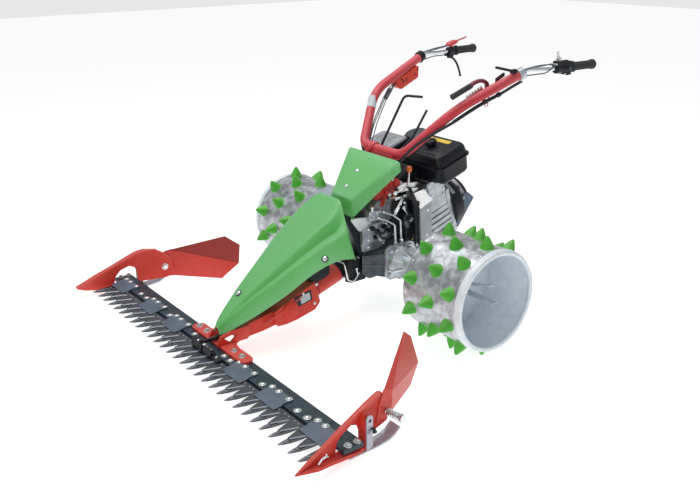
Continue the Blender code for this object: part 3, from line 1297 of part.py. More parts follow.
def stop_lever():
    """Red lever over the right grip that stops the engine when it is let go."""
    frame = handle_frame(-1)
    y, z = PERCH_START + 0.006, HANDLE_R + PERCH_WALL + GAP
    hub = Vector((0, y + 0.006, z + 0.006))
    made = place("stop_lever", rod(bmesh.new(), hub - Vector((0.013, 0, 0)), hub + Vector((0.013, 0, 0)), 0.006, 12),
                 red_paint(), frame @ hub, frame)
    body = [(y + 0.002, z + 0.008), (y + 0.040, z + 0.016), (y + 0.040, z + 0.026), (y + 0.002, z + 0.020)]
    join(made, prism(bmesh.new(), [(-0.012, a, b) for a, b in body], (0.024, 0, 0)), frame)
    join(made, rod(bmesh.new(), (0, y + 0.030, z + 0.019), (0, y + 0.112, z + 0.035), 0.0035, 8), frame)


def cable(name, points):
    """A control cable along its route."""
    route = flowing(points, 5)
    curve = bpy.data.curves.new(name, "CURVE")
    curve.dimensions = "3D"
    curve.bevel_depth = CABLE_R
    curve.bevel_resolution = 2
    curve.use_fill_caps = True
    line = curve.splines.new("POLY")
    line.points.add(len(route) - 1)
    for slot, point in zip(line.points, route):
        slot.co = (*point, 1)
    made = bpy.data.objects.new(name, curve)
    made.parent = bpy.data.objects["mower"]
    curve.materials.append(black_plastic())
    bpy.context.scene.collection.objects.link(made)


def cables():
    """Cables from the left collar and the control box down along the loop."""
    ahead = (LOOP_END - LOOP_BEND).normalized()
    below = Vector((1, 0, 0)).cross(ahead).normalized()
    if below.z > 0:
        below.negate()
    reach = TUBE_R + CABLE_R + 0.0008
    start = LOOP_END - ahead * (COLLAR_LENGTH + GAP) + below * reach
    lower = [Vector((0.262, 0.220, 0.793)), Vector((0.235, 0.150, 0.760)), Vector((0.205, 0.085, 0.722)),
             Vector((0.165, 0.036, 0.676)), Vector((0.130, 0.002, 0.622)), Vector((0.112, -0.006, 0.585)),
             Vector((0.092, -0.008, 0.545))]
    middle = [start - ahead * 0.060 + below * 0.001, start - ahead * 0.130 + below * 0.003]
    cable("cable_left", [start, *middle, *lower])
    y = BOX_PLACE[0] - 2 * GAP
    first = Vector((-loop_centre_x(y) - 0.004, y, loop_centre_z(y) - 0.040))
    cable("cable_right", [first, first + Vector((0, -0.018, 0)), first + Vector((0.004, -0.040, -0.012)), Vector((-0.254, 0.262, 0.788)),
                          Vector((-0.235, 0.222, 0.768)), Vector((-0.212, 0.178, 0.741)), Vector((-0.178, 0.118, 0.698)),
                          Vector((-0.144, 0.070, 0.645)), Vector((-0.124, 0.042, 0.600)), Vector((-0.110, 0.026, 0.560))])


def build():
    for made in list(bpy.data.objects):
        bpy.data.objects.remove(made, do_unlink=True)
    mower = bpy.data.objects.new("mower", None)
    mower.location = (0, CENTRE_Y, 0)
    bpy.context.scene.collection.objects.link(mower)
    for side, word in ((1, "left"), (-1, "right")):
        drum(f"drum_{word}", side)
        hub(f"hub_{word}", side)
        axle_case(f"axle_case_{word}", side)
        shoe(f"shoe_{word}", side)
        skid(f"skid_{word}", side)
        board(f"board_{word}", side)
        board_spring(f"board_spring_{word}", side)
        handle(f"handle_{word}", side)
        grip(f"grip_{word}", side)
    for make in (cutter_bar, finger_guards, knife, knife_head, knife_lever, mounting_foot, drive_arm,
                 drive_tube, drive_shaft, swivel_socket, quick_hitch, hitch_bail, hood, cover_box, gearbox_housing,
                 gearbox_top, front_plate, hydraulic_pipes, handlebar_bracket, handlebar_swivel, pto_lever, shift_rods,
                 crankcase, fan_shroud, rear_guard, fuel_tank, fuel_cap, cylinder, muffler_guard,
                 air_filter, guard_box, handlebar_loop, hand_lever, locking_lever, control_unit, throttle_lever,
                 control_box, clutch_lever, stop_lever, cables):
        make()


build()
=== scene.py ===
# %% [markdown]
# # A motor mower with spiked drum wheels
#
# The real machine walks in front of its operator: an engine and a gearbox sit over two steel drums,
# and a coupling in front drives a 1.6 m finger bar. The CAD model already fixes where every part is
# and how it moves. This lesson dresses it: each step names a part or a finish, says how the real one
# is made, and then makes it round the CAD frame.
#
# The frame comes first. The pieces are drawn in millimetres from the wheel axle, which the
# maker's drawings measure from, so one matrix takes them to the frame's metres and to the middle of
# the machine, which the model is centred on.

# %% Load the CAD frame
import json
from math import asin, cos, exp, hypot, pi, radians, sin, tan

import bmesh
import bpy
from mathutils import Matrix, Vector

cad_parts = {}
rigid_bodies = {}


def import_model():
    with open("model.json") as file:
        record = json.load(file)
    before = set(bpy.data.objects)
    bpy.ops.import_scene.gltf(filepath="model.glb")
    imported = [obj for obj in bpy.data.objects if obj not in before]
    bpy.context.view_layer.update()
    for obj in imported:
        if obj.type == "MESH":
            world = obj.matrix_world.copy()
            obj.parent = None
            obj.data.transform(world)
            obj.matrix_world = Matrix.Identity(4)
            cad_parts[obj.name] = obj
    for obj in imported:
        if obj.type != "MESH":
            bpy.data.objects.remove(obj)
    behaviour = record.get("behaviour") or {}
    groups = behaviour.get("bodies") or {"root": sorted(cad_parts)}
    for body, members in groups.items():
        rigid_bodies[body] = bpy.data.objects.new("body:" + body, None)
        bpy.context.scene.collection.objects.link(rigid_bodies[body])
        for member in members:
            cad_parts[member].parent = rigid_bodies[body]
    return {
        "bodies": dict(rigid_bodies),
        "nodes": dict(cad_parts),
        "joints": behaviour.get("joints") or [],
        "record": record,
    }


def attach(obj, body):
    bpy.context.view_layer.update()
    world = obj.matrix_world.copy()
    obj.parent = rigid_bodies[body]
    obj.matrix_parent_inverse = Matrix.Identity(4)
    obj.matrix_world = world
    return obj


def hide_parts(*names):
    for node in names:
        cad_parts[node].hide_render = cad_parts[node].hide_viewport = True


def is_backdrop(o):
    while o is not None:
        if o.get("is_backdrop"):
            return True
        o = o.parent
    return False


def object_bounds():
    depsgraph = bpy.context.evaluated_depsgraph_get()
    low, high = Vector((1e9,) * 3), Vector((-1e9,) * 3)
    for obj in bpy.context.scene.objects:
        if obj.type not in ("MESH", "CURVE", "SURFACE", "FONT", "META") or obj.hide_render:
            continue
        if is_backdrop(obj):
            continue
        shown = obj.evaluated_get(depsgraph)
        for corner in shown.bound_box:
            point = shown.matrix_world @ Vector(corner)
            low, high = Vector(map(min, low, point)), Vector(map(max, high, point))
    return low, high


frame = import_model()
nodes = frame["nodes"]
cad_low, cad_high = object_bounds()
AXLE_Y = 0.0595                 # the wheel axle, in the frame
TO_FRAME = Matrix.Translation((0, AXLE_Y, 0)) @ Matrix.Scale(0.001, 4)
print("nodes:", len(nodes), "box:", [round(v, 3) for v in (*cad_low, *cad_high)])

# %% [markdown]
# ## The camera
#
# The photograph was taken from the operator's left and a little above, with a normal lens. The
# focal length and the place of the eye were fitted to known points of the CAD model, so the render
# can be laid over the photograph. The lens shift is small: it only puts the machine where the
# photograph has it in the frame.

# %% Set up the camera
IMAGE_WIDTH = 700
FOCAL_PIXELS = 834.1
AZIMUTH, ELEVATION, ROLL = radians(52.016), radians(19.521), radians(-0.226)
camera = bpy.data.objects.new("camera", bpy.data.cameras.new("camera"))
bpy.context.scene.collection.objects.link(camera)
camera.data.sensor_width = 36
camera.data.lens = FOCAL_PIXELS * 36 / IMAGE_WIDTH
camera.data.shift_x = -8.7 / IMAGE_WIDTH
camera.data.shift_y = -17.41 / IMAGE_WIDTH
camera.data.clip_start, camera.data.clip_end = 0.05, 60
back = Vector((sin(AZIMUTH) * cos(ELEVATION), -cos(AZIMUTH) * cos(ELEVATION), sin(ELEVATION)))
right = Vector((cos(AZIMUTH), sin(AZIMUTH), 0))
up = back.cross(right)
right, up = right * cos(ROLL) + up * sin(ROLL), up * cos(ROLL) - right * sin(ROLL)
turn = Matrix((right, up, back)).transposed()
eye = Vector((2.36836, -1.94964 + AXLE_Y, 1.38498))
camera.matrix_world = Matrix.Translation(eye) @ turn.to_4x4()
bpy.context.scene.camera = camera
print("lens", round(camera.data.lens, 2), "mm")

# %% [markdown]
# ## The studio
#
# The light is that of a white tent: an even world, one large lamp overhead and a weaker one in front.
# Camera and transmission rays see the world as white, and glossy rays see it a little brighter than
# the light it sheds, so bare metal stays pale while the paint keeps its depth. The floor is pale and
# keeps the shadow.

# %% Light the machine and lay the floor
bpy.context.scene.view_settings.view_transform = "Standard"
TENT_LIGHT, TENT_SHINE = 0.4, 0.62
world = bpy.data.worlds.new("tent")
bpy.context.scene.world = world
world.use_nodes = True
tree = world.node_tree
tree.nodes.clear()
rays = tree.nodes.new("ShaderNodeLightPath")
seen = tree.nodes.new("ShaderNodeMath")
seen.operation = "MAXIMUM"
tree.links.new(rays.outputs["Is Camera Ray"], seen.inputs[0])
tree.links.new(rays.outputs["Is Transmission Ray"], seen.inputs[1])
shine = tree.nodes.new("ShaderNodeMapRange")
shine.inputs["To Min"].default_value = TENT_LIGHT
shine.inputs["To Max"].default_value = TENT_SHINE
tree.links.new(rays.outputs["Is Glossy Ray"], shine.inputs["Value"])
level = tree.nodes.new("ShaderNodeMath")
level.operation = "MAXIMUM"
tree.links.new(seen.outputs[0], level.inputs[0])
tree.links.new(shine.outputs[0], level.inputs[1])
sky = tree.nodes.new("ShaderNodeBackground")
tree.links.new(level.outputs[0], sky.inputs["Strength"])
out = tree.nodes.new("ShaderNodeOutputWorld")
tree.links.new(sky.outputs[0], out.inputs[0])


def lamp(name, place, aim, size, power):
    """A square soft lamp that faces a point."""
    data = bpy.data.lights.new(name, "AREA")
    data.shape = "SQUARE"
    data.size = size
    data.energy = power
    made = bpy.data.objects.new(name, data)
    made.location = place
    made.rotation_euler = (Vector(aim) - Vector(place)).to_track_quat("-Z", "Y").to_euler()
    bpy.context.scene.collection.objects.link(made)


lamp("overhead", (-0.5, -0.2, 3.2), (0, 0, 0.3), 2.6, 62)
lamp("front", (2.4, -3.4, 2.0), (0, -0.2, 0.3), 1.8, 22)

floor_mesh = bmesh.new()
FLOOR = 14
for x, y in ((-FLOOR, -FLOOR), (FLOOR, -FLOOR), (FLOOR, FLOOR), (-FLOOR, FLOOR)):
    floor_mesh.verts.new((x, y, -0.0006))
floor_mesh.faces.new(floor_mesh.verts)
data = bpy.data.meshes.new("floor")
floor_mesh.to_mesh(data)
studio_floor = bpy.data.objects.new("studio_floor", data)
bpy.context.scene.collection.objects.link(studio_floor)
studio_floor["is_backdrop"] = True
paper = bpy.data.materials.new("paper")
paper.use_nodes = True
shader = paper.node_tree.nodes["Principled BSDF"]
shader.inputs["Base Color"].default_value = (0.74, 0.74, 0.74, 1)
shader.inputs["Roughness"].default_value = 0.9
shader.inputs["Specular IOR Level"].default_value = 0.1
shader.inputs["Emission Color"].default_value = (1, 1, 1, 1)
shader.inputs["Emission Strength"].default_value = 0.71
data.materials.append(paper)
print("lamps and floor are in place")

# %% [markdown]
# ## Shader maths in plain Python
#
# A finish on a machine is never one colour. Paint has orange peel and rubbed edges, cast metal has
# grain, and sheet zinc has crystals. Such masks are small sums, and the sums are easiest to read
# as Python. `Flow` wraps one socket of a node tree. Adding or multiplying two flows adds a Math
# node, and the reflected forms make `1 - mask` work. Colours go through Mix, because a Math node
# would turn them grey. `node` is the one way to any other kind of node.

# %% A socket with Python's operators
class Flow:
    """One output socket of a material. Sums on it become Math nodes."""

    def __init__(self, tree, socket):
        self.tree, self.socket = tree, socket

    def node(self, kind, settings=None, output=0, **values):
        """Adds a node: its settings first, then the value or the link of each named input."""
        made = self.tree.nodes.new("ShaderNode" + kind)
        for name, value in (settings or {}).items():
            setattr(made, name, value)
        for name, value in values.items():
            key = int(name[1:]) if name[1:].isdigit() else name.replace("_", " ")
            link(self.tree, made.inputs[key], value)
        return Flow(self.tree, made.outputs[output])

    def sum(self, how, *others):
        inputs = {f"i{k}": value for k, value in enumerate(others)}
        return self.node("Math", {"operation": how}, **inputs)

    def __add__(self, other):
        return self.sum("ADD", self, other)

    def __sub__(self, other):
        return self.sum("SUBTRACT", self, other)

    def __rsub__(self, other):
        return self.sum("SUBTRACT", other, self)

    def __mul__(self, other):
        return self.sum("MULTIPLY", self, other)

    __radd__, __rmul__ = __add__, __mul__

    def between(self, low, high):
        """0 below low, 1 above high, and smooth between them."""
        how = {"interpolation_type": "SMOOTHSTEP"}
        return self.node("MapRange", how, Value=self, From_Min=low, From_Max=high)

    def blend(self, one, two):
        """A colour that goes from one to two as this mask goes from 0 to 1."""
        return self.node("Mix", {"data_type": "RGBA"}, 2, i0=self, i6=one, i7=two)


def link(tree, socket, value):
    """Gives an input its number, colour or link."""
    if isinstance(value, Flow):
        tree.links.new(value.socket, socket)
    elif isinstance(value, tuple) and len(value) == 3 and socket.type == "RGBA":
        socket.default_value = (*value, 1)
    else:
        socket.default_value = value


class Finish:
    """A material in the making: its patterns are measured in metres on the machine."""

    def __init__(self, name):
        self.material = bpy.data.materials.new(name)
        self.material.use_nodes = True
        self.tree = self.material.node_tree
        self.shader = self.tree.nodes["Principled BSDF"]
        self.start = Flow(self.tree, None)
        self.where = self.start.node("TexCoord", output=3)

    def noise(self, size, detail=3.0, stretch=None):
        """Soft noise from 0 to 1 whose blotches are about size across."""
        where = self.where
        if stretch:
            where = self.start.node("Mapping", None, 0, Vector=where, Scale=stretch)
        return self.start.node("TexNoise", None, 0, Vector=where, Scale=1 / size, Detail=detail)

    def cells(self, size):
        """Crystals about size across, each with its own grey."""
        colour = self.start.node("TexVoronoi", {"feature": "F1"}, 1, Vector=self.where, Scale=1 / size)
        return self.start.node("SeparateColor", None, 0, Color=colour)

    def edges(self, low=0.52, high=0.6):
        """1 along the outer edges of a form, where handling wears it and where highlights are painted."""
        return self.start.node("NewGeometry", None, 7).between(low, high)

    def facing_up(self):
        """1 where the surface faces up, where dust and light settle."""
        normal = self.start.node("NewGeometry", None, 1)
        return self.start.node("SeparateXYZ", None, 2, Vector=normal).between(0.2, 1.0)

    def done(self, colour, roughness, metallic=0.0, bumps=(), **fixed):
        """Joins the patterns to the shader. Each bump is (height flow, depth in metres)."""
        link(self.tree, self.shader.inputs["Base Color"], colour)
        link(self.tree, self.shader.inputs["Roughness"], roughness)
        link(self.tree, self.shader.inputs["Metallic"], metallic)
        for name, value in fixed.items():
            self.shader.inputs[name.replace("_", " ")].default_value = value
        normal = None
        for height, depth in bumps:
            values = {"Height": height, "Distance": depth, "Strength": 1.0}
            if normal:
                values["Normal"] = normal
            normal = self.start.node("Bump", None, 0, **values)
        if normal:
            link(self.tree, self.shader.inputs["Normal"], normal)
        return self.material


print("shader tools are ready")

# %% [markdown]
# ## Painted steel
#
# The hood and the bar's drive are powder coated. Powder flows into a skin with faint orange peel,
# so the finish needs a fine bump, a slow drift of colour and roughness, and rubbed edges where the
# skin is thin. Faces that point up are painted lighter as light from above, and the edges take the
# same lighter colour as wear and a painted highlight. The same recipe serves the green and the red;
# only the colour changes.

# %% Green and red powder coat
def powder_coat(name, colour, glow, edge_rub_and_highlight=0.55, peel=0.00003):
    """Paint of a colour, going towards glow: painted light where it faces up, wear and a painted highlight on
    its edges.
    """
    f = Finish(name)
    drift = f.noise(0.16, 2.0).between(0.25, 0.75)
    speckle = f.noise(0.004, 2.0).between(0.35, 0.65)
    deep = tuple(0.86 * c for c in colour)
    base = drift.blend(deep, colour)
    # Painted light: faces that point up go halfway to the lighter glow colour.
    base = (f.facing_up() * 0.5).blend(base, glow)
    # Edges take the same lighter colour in patches: wear, and a painted highlight.
    base = (f.edges() * (f.noise(0.012).between(0.3, 0.7) * 0.5 + 0.5) * edge_rub_and_highlight).blend(base, glow)
    grime = f.noise(0.05, 5.0).between(0.6, 0.85) * 0.1
    base = grime.blend(base, (0.1, 0.08, 0.06))
    rough = 0.33 + drift * 0.08 + speckle * 0.05
    skin = f.noise(0.0022, 1.0)
    return f.done(base, rough, 0.0, [(skin, peel)], Coat_Weight=0.05, Coat_Roughness=0.16,
        Specular_IOR_Level=0.26)


GREEN = powder_coat("green_powder_coat", (0.095, 0.47, 0.095), (0.27, 0.6, 0.31))
SPIKE_GREEN = powder_coat("spike_green", (0.075, 0.44, 0.035), (0.26, 0.64, 0.16), 0.6)
RED = powder_coat("red_powder_coat", (0.7, 0.044, 0.026), (0.8, 0.15, 0.14))
TUBE_RED = powder_coat("red_powder_coat_on_tube", (0.58, 0.044, 0.058), (0.74, 0.19, 0.215))
DEEP_RED = powder_coat("deep_red_lever", (0.16, 0.016, 0.04), (0.33, 0.11, 0.15))
# Painted shade: a darker red for the board facets that lie in shade.
SHADE_RED = powder_coat("painted_shade_red", (0.3, 0.016, 0.01), (0.38, 0.05, 0.042))
BOX_RED = powder_coat("red_box_enamel", (0.72, 0.045, 0.02), (0.8, 0.16, 0.11))
CAST_RED = powder_coat("red_paint_on_casting", (0.68, 0.044, 0.026), (0.78, 0.14, 0.12), 0.6, 0.00008)
print("paints:", GREEN.name, RED.name)

# %% [markdown]
# ## Bare, plated and blued metal
#
# The drums are galvanised: zinc freezes into crystals a centimetre across, each a slightly different
# grey. Bolts and tubes are zinc plated and brighter. The bar and its clips are rolled steel with a
# blue-grey scale, scratched along its length, and the fingers are ground, so their edges are bright.
# Each gets one recipe with its own masks; the drums' large dark blotches are a painted reflection,
# and the castings' edges carry a painted highlight.

# %% Zinc, steel and castings
def galvanised(name, dark, light, rough=0.34, crystal=0.012, reflection_blotch=0.5, metal=0.7):
    """Zinc crystals under large soft dark blotches, a painted reflection of dark surroundings."""
    f = Finish(name)
    spangle = f.cells(crystal)
    cloud = f.noise(0.03, 2.0).between(0.35, 0.65)
    shade = spangle * 0.18 + cloud * 0.82
    # Painted reflection: large dark blotches stand for dark surroundings mirrored in the zinc.
    dark_reflection = f.noise(0.075, 2.0).between(0.5, 0.72) * reflection_blotch
    colour = dark_reflection.blend(shade.blend(dark, light), tuple(0.42 * c for c in dark))
    return f.done(colour, rough + spangle * 0.06 + cloud * 0.06, metal, [(f.noise(0.008, 2.0), 0.00006)])


def plated(name, colour, rough=0.22, metallic=1.0):
    f = Finish(name)
    stain = f.noise(0.02, 4.0).between(0.45, 0.8)
    brush = f.noise(0.0015, 2.0)
    shade = (stain * 0.35).blend(colour, tuple(0.62 * c for c in colour))
    return f.done(shade, rough + stain * 0.16 + brush * 0.06, metallic, [(brush, 0.00001)])


def rolled(name, dark, light, rough=0.38, metallic=0.75, along=(0.12, 1, 1)):
    """Rolled steel with scale, scratches along the roll and rubbed edges."""
    f = Finish(name)
    streak = f.noise(0.006, 3.0, along).between(0.3, 0.8)
    cloud = f.noise(0.04, 3.0).between(0.3, 0.7)
    base = (streak * 0.4 + cloud * 0.6).blend(dark, light)
    rub = f.edges(0.53, 0.62) * f.noise(0.006).between(0.35, 0.65)
    base = (rub * 0.6).blend(base, (0.55, 0.6, 0.66))
    return f.done(base, rough + streak * 0.1 - rub * 0.1, metallic, [(cloud, 0.00002)])


def casting(name, dark, light, rough=0.5, metallic=0.6, grain=0.0016, depth=0.00016):
    """Sand-cast metal: an even grain with random dark oily patches, and a painted highlight along its edges."""
    f = Finish(name)
    cloud = f.noise(0.035, 4.0).between(0.3, 0.7)
    oil = f.noise(0.018, 5.0).between(0.55, 0.75) * 0.35
    base = oil.blend(cloud.blend(dark, light), tuple(0.35 * c for c in dark))
    # Painted highlight: the outer edges are lightened towards a brighter tone.
    edge_highlight = f.edges(0.53, 0.62) * 0.35
    base = edge_highlight.blend(base, tuple(min(1.0, 1.7 * c + 0.05) for c in light))
    return f.done(base, rough + cloud * 0.1 - oil * 0.2, metallic, [(f.noise(grain, 3.0), depth)])


DRUM_ZINC = galvanised("galvanised_drum", (0.34, 0.345, 0.375), (0.64, 0.68, 0.72), 0.3, 0.01, 0.5, 0.8)
INNER_ZINC = galvanised("drum_lining", (0.72, 0.8, 0.86), (0.82, 0.88, 0.92), 0.42, 0.02, 0.04, 0.1)
ZINC = plated("bright_zinc", (0.7, 0.74, 0.76))
CHROME = plated("polished_tube", (0.72, 0.75, 0.78), 0.14)
BRIGHT_PLATE = plated("bare_sheet", (0.64, 0.65, 0.64), 0.3)
SKID_STEEL = rolled("spring_steel", (0.4, 0.42, 0.5), (0.52, 0.54, 0.62), 0.34, 0.35, (1, 0.12, 1))
GROUND_EDGE = plated("ground_edge", (0.56, 0.62, 0.7), 0.24)
BLUED_PLATE = rolled("blued_plate", (0.016, 0.034, 0.06), (0.06, 0.105, 0.16), 0.3, 0.7)
DARK_IRON = casting("dark_iron", (0.012, 0.012, 0.014), (0.045, 0.046, 0.052), 0.42, 0.5)
GEAR_GREY = casting("grey_gear_case", (0.04, 0.052, 0.066), (0.105, 0.122, 0.142), 0.5, 0.35)
LIGHT_ALLOY = casting("light_alloy", (0.33, 0.37, 0.41), (0.56, 0.6, 0.64), 0.36, 0.7)
DULL_ALLOY = casting("dull_alloy", (0.18, 0.19, 0.205), (0.34, 0.35, 0.37), 0.46, 0.6)
GUARD_GREY = casting("guard_grey", (0.33, 0.35, 0.38), (0.45, 0.48, 0.51), 0.48, 0.35, 0.003)
print("metals:", DRUM_ZINC.name, LIGHT_ALLOY.name)

# %% [markdown]
# ## Plastic, rubber and small bright colours
#
# The tank and the shroud are moulded, with a fine leathery grain, and they collect pale dust on top;
# that pale tone on their tops and edges is also a painted sheen.
# The grips are rubber, rougher and softer in tone. A few knobs are orange, and the blank plates where
# the real machine carries printed labels are left plain. The bar, its clips, fingers and knife use the
# same recipe in dark shades, because mill scale under a film of oil has no bare metal's gleam.

# %% Mouldings and plates
def moulded(name, colour, rough=0.42, dust_and_sheen=(0.16, 0.17, 0.19), grain=0.0012, depth=0.00006, shine=0.5):
    f = Finish(name)
    cloud = f.noise(0.06, 4.0).between(0.3, 0.75)
    # Faces that point up go towards the pale tone: dust, and a painted sheen of light from above.
    dust_and_sheen_on_top = f.facing_up() * (cloud * 0.08 + 0.01)
    base = dust_and_sheen_on_top.blend((cloud * 0.5).blend(colour, tuple(1.6 * c + 0.002 for c in colour)), dust_and_sheen)
    # Edges go a little towards the same pale tone: dust, and a painted highlight.
    base = (f.edges() * 0.1).blend(base, dust_and_sheen)
    return f.done(base, rough + cloud * 0.1 + dust_and_sheen_on_top, 0.0, [(f.noise(grain, 3.0), depth)],
        Specular_IOR_Level=shine)


GLOWING_LID = moulded("glowing_lid_sheet", (0.9, 0.92, 0.93), 0.3, (0.94, 0.95, 0.96), 0.01, 0.00002, 0.6)
# Painted light: the lid glows a little, so its white reads as strongly lit.
glow = GLOWING_LID.node_tree.nodes["Principled BSDF"].inputs
glow["Emission Color"].default_value, glow["Emission Strength"].default_value = (1, 1, 1, 1), 0.2
CABLE_GREY = moulded("cable_sheath_grey", (0.085, 0.105, 0.13), 0.4)
CLIP_STEEL = moulded("clip_steel", (0.095, 0.125, 0.17), 0.36, (0.17, 0.21, 0.27), 0.02, 0.00002, 0.4)
FINGER_STEEL = moulded("finger_steel", (0.012, 0.015, 0.022), 0.26, (0.05, 0.06, 0.08), 0.01, 0.00002, 0.6)
KNIFE_STEEL = moulded("knife_steel", (0.04, 0.044, 0.06), 0.3, (0.11, 0.12, 0.15), 0.02, 0.00002, 0.5)
BAR_STEEL = moulded("bar_steel_scale", (0.016, 0.034, 0.05), 0.34, (0.06, 0.09, 0.12), 0.02, 0.00002, 0.4)
BLACK = moulded("black_moulding", (0.0035, 0.0045, 0.007), 0.26, (0.1, 0.13, 0.17), shine=0.24)
SATIN_BLACK = moulded("black_powder_coat", (0.0045, 0.0055, 0.008), 0.36, (0.1, 0.12, 0.15), shine=0.26)
RUBBER = moulded("grip_rubber", (0.02, 0.022, 0.026), 0.62, (0.11, 0.12, 0.14), 0.0025, 0.00015)
CABLE_BLACK = moulded("cable_cover", (0.008, 0.01, 0.014), 0.4, shine=0.35)
ORANGE = moulded("orange_knob", (0.62, 0.13, 0.02), 0.26, (0.8, 0.4, 0.3))
YELLOW = moulded("yellow_plate", (0.68, 0.48, 0.02), 0.4, (0.8, 0.7, 0.3))
WHITE_PLATE = moulded("white_plate", (0.78, 0.81, 0.84), 0.42, (0.8, 0.8, 0.8))
PALE_PLATE = moulded("pale_plate", (0.42, 0.48, 0.52), 0.4, (0.7, 0.7, 0.7))
print("mouldings:", BLACK.name, RUBBER.name)

# %% [markdown]
# ## Making pieces
#
# Every piece is a mesh drawn in millimetres in the maker's frame, with the axle over Y = 0. One
# matrix then makes metres of it and moves it to the CAD frame. The helpers below are the ones a
# machinist would name: turned, pressed, bent and bolted. A bevel modifier rounds the edges, and it
# can give the rounded strip a finish of its own, which is how a ground or rubbed edge is made
# without painting it by hand.

# %% Helpers that make meshes
LEFT, REAR, UP = (1, 0, 0), (0, 1, 0), (0, 0, 1)
SLOTS = {
    "bar_steel": (BAR_STEEL, CLIP_STEEL, FINGER_STEEL),
    "dark_casting": (DARK_IRON, GEAR_GREY, BLUED_PLATE),
    "bright_steel": (ZINC, KNIFE_STEEL, SKID_STEEL, CHROME),
    "red_paint": (CAST_RED, RED, ORANGE, TUBE_RED, DEEP_RED, BOX_RED),
    "black_plastic": (SATIN_BLACK, BLACK, YELLOW),
    "green_paint": (GREEN, SPIKE_GREEN),
    "rubber": (RUBBER, CABLE_BLACK, CABLE_GREY),
    "cast_aluminium": (DULL_ALLOY, LIGHT_ALLOY),
    "zinc": (WHITE_PLATE, GUARD_GREY, GLOWING_LID, BRIGHT_PLATE, PALE_PLATE, DRUM_ZINC, INNER_ZINC)
}


def piece(name, mesh, body, look, replaces=(), slot=None, edge=0, edge_look=None, rounds=2, angle=32, crease=32,
        more=(), frame=None):
    """Turns a mesh into a piece of the machine that rides on a body of the CAD model."""
    if frame is not None:
        mesh.transform(frame)
    bmesh.ops.remove_doubles(mesh, verts=mesh.verts, dist=0.001)
    bmesh.ops.recalc_face_normals(mesh, faces=mesh.faces)
    mesh.transform(TO_FRAME)
    data = bpy.data.meshes.new(name)
    mesh.to_mesh(data)
    mesh.free()
    data.shade_smooth()
    made = bpy.data.objects.new(name, data)
    bpy.context.scene.collection.objects.link(made)
    for finish in (look, *more):
        data.materials.append(finish)
    if edge:
        if edge_look:
            data.materials.append(edge_look)
        step = made.modifiers.new("edges", "BEVEL")
        step.width = edge / 1000
        step.segments = rounds
        step.limit_method = "ANGLE"
        step.angle_limit = radians(angle)
        step.harden_normals = True
        step.material = len(data.materials) - 1 if edge_look else -1
    else:
        data.set_sharp_from_angle(angle=radians(crease))
    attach(made, body)
    slot or next(word for word, looks in SLOTS.items() if look in looks)
    if replaces:
        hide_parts(*replaces)


def axes(direction):
    """Two directions square to one another and to the given one."""
    direction = Vector(direction).normalized()
    side = direction.cross(Vector((0, 0, 1)))
    if side.length < 0.01:
        side = direction.cross(Vector((1, 0, 0)))
    side.normalize()
    return side, side.cross(direction)


def loft(mesh, rings, closed=True, ends=True, finish=0):
    """Rings of points joined one to the next."""
    made = [[mesh.verts.new(p) for p in ring] for ring in rings]
    faces = []
    for one, two in zip(made, made[1:]):
        for i in range(len(one) - (0 if closed else 1)):
            j = (i + 1) % len(one)
            faces.append(mesh.faces.new((one[i], one[j], two[j], two[i])))
    if ends:
        faces += [mesh.faces.new(made[0][::-1]), mesh.faces.new(made[-1])]
    for face in faces:
        face.material_index = finish
    return mesh


def turned(mesh, profile, centre, axis, steps=40, finish=0):
    """A profile of (radius, distance) pairs turned about an axis, and closed on the axis."""
    if profile[0] != profile[-1]:
        if profile[0][0]:
            profile = [(0, profile[0][1]), *profile]
        if profile[-1][0]:
            profile = [*profile, (0, profile[-1][1])]
    centre, axis = Vector(centre), Vector(axis).normalized()
    side, up = axes(axis)
    rows = []
    for r, h in profile:
        if r == 0:
            rows.append([mesh.verts.new(centre + axis * h)] * steps)
        else:
            turns = [2 * pi * k / steps for k in range(steps)]
            rows.append([mesh.verts.new(centre + axis * h + (side * cos(a) + up * sin(a)) * r) for a in turns])
    for one, two in zip(rows, rows[1:]):
        for k in range(steps):
            j = (k + 1) % steps
            corners = []
            for vert in (one[k], one[j], two[j], two[k]):
                if vert not in corners:
                    corners.append(vert)
            if len(corners) > 2:
                mesh.faces.new(corners).material_index = finish
    return mesh


def pressed(mesh, outline, push, finish=0):
    """A flat outline pushed along a direction."""
    push = Vector(push)
    near = [mesh.verts.new(p) for p in outline]
    far = [mesh.verts.new(Vector(p) + push) for p in outline]
    faces = [mesh.faces.new(near), mesh.faces.new(far[::-1])]
    for i in range(len(near)):
        j = (i + 1) % len(near)
        faces.append(mesh.faces.new((near[i], far[i], far[j], near[j])))
    for face in faces:
        face.material_index = finish
    return mesh


def block(mesh, low, high, finish=0):
    """A plain block between two corners, to be bevelled."""
    (x0, y0, z0), (x1, y1, z1) = low, high
    return pressed(mesh, [(x0, y0, z0), (x1, y0, z0), (x1, y1, z0), (x0, y1, z0)], (0, 0, z1 - z0), finish)


def slab(mesh, x, outline, width, finish=0):
    """An outline of (rear, up) pairs that reaches from x across a width."""
    return pressed(mesh, [(x, y, z) for y, z in outline], (width, 0, 0), finish)


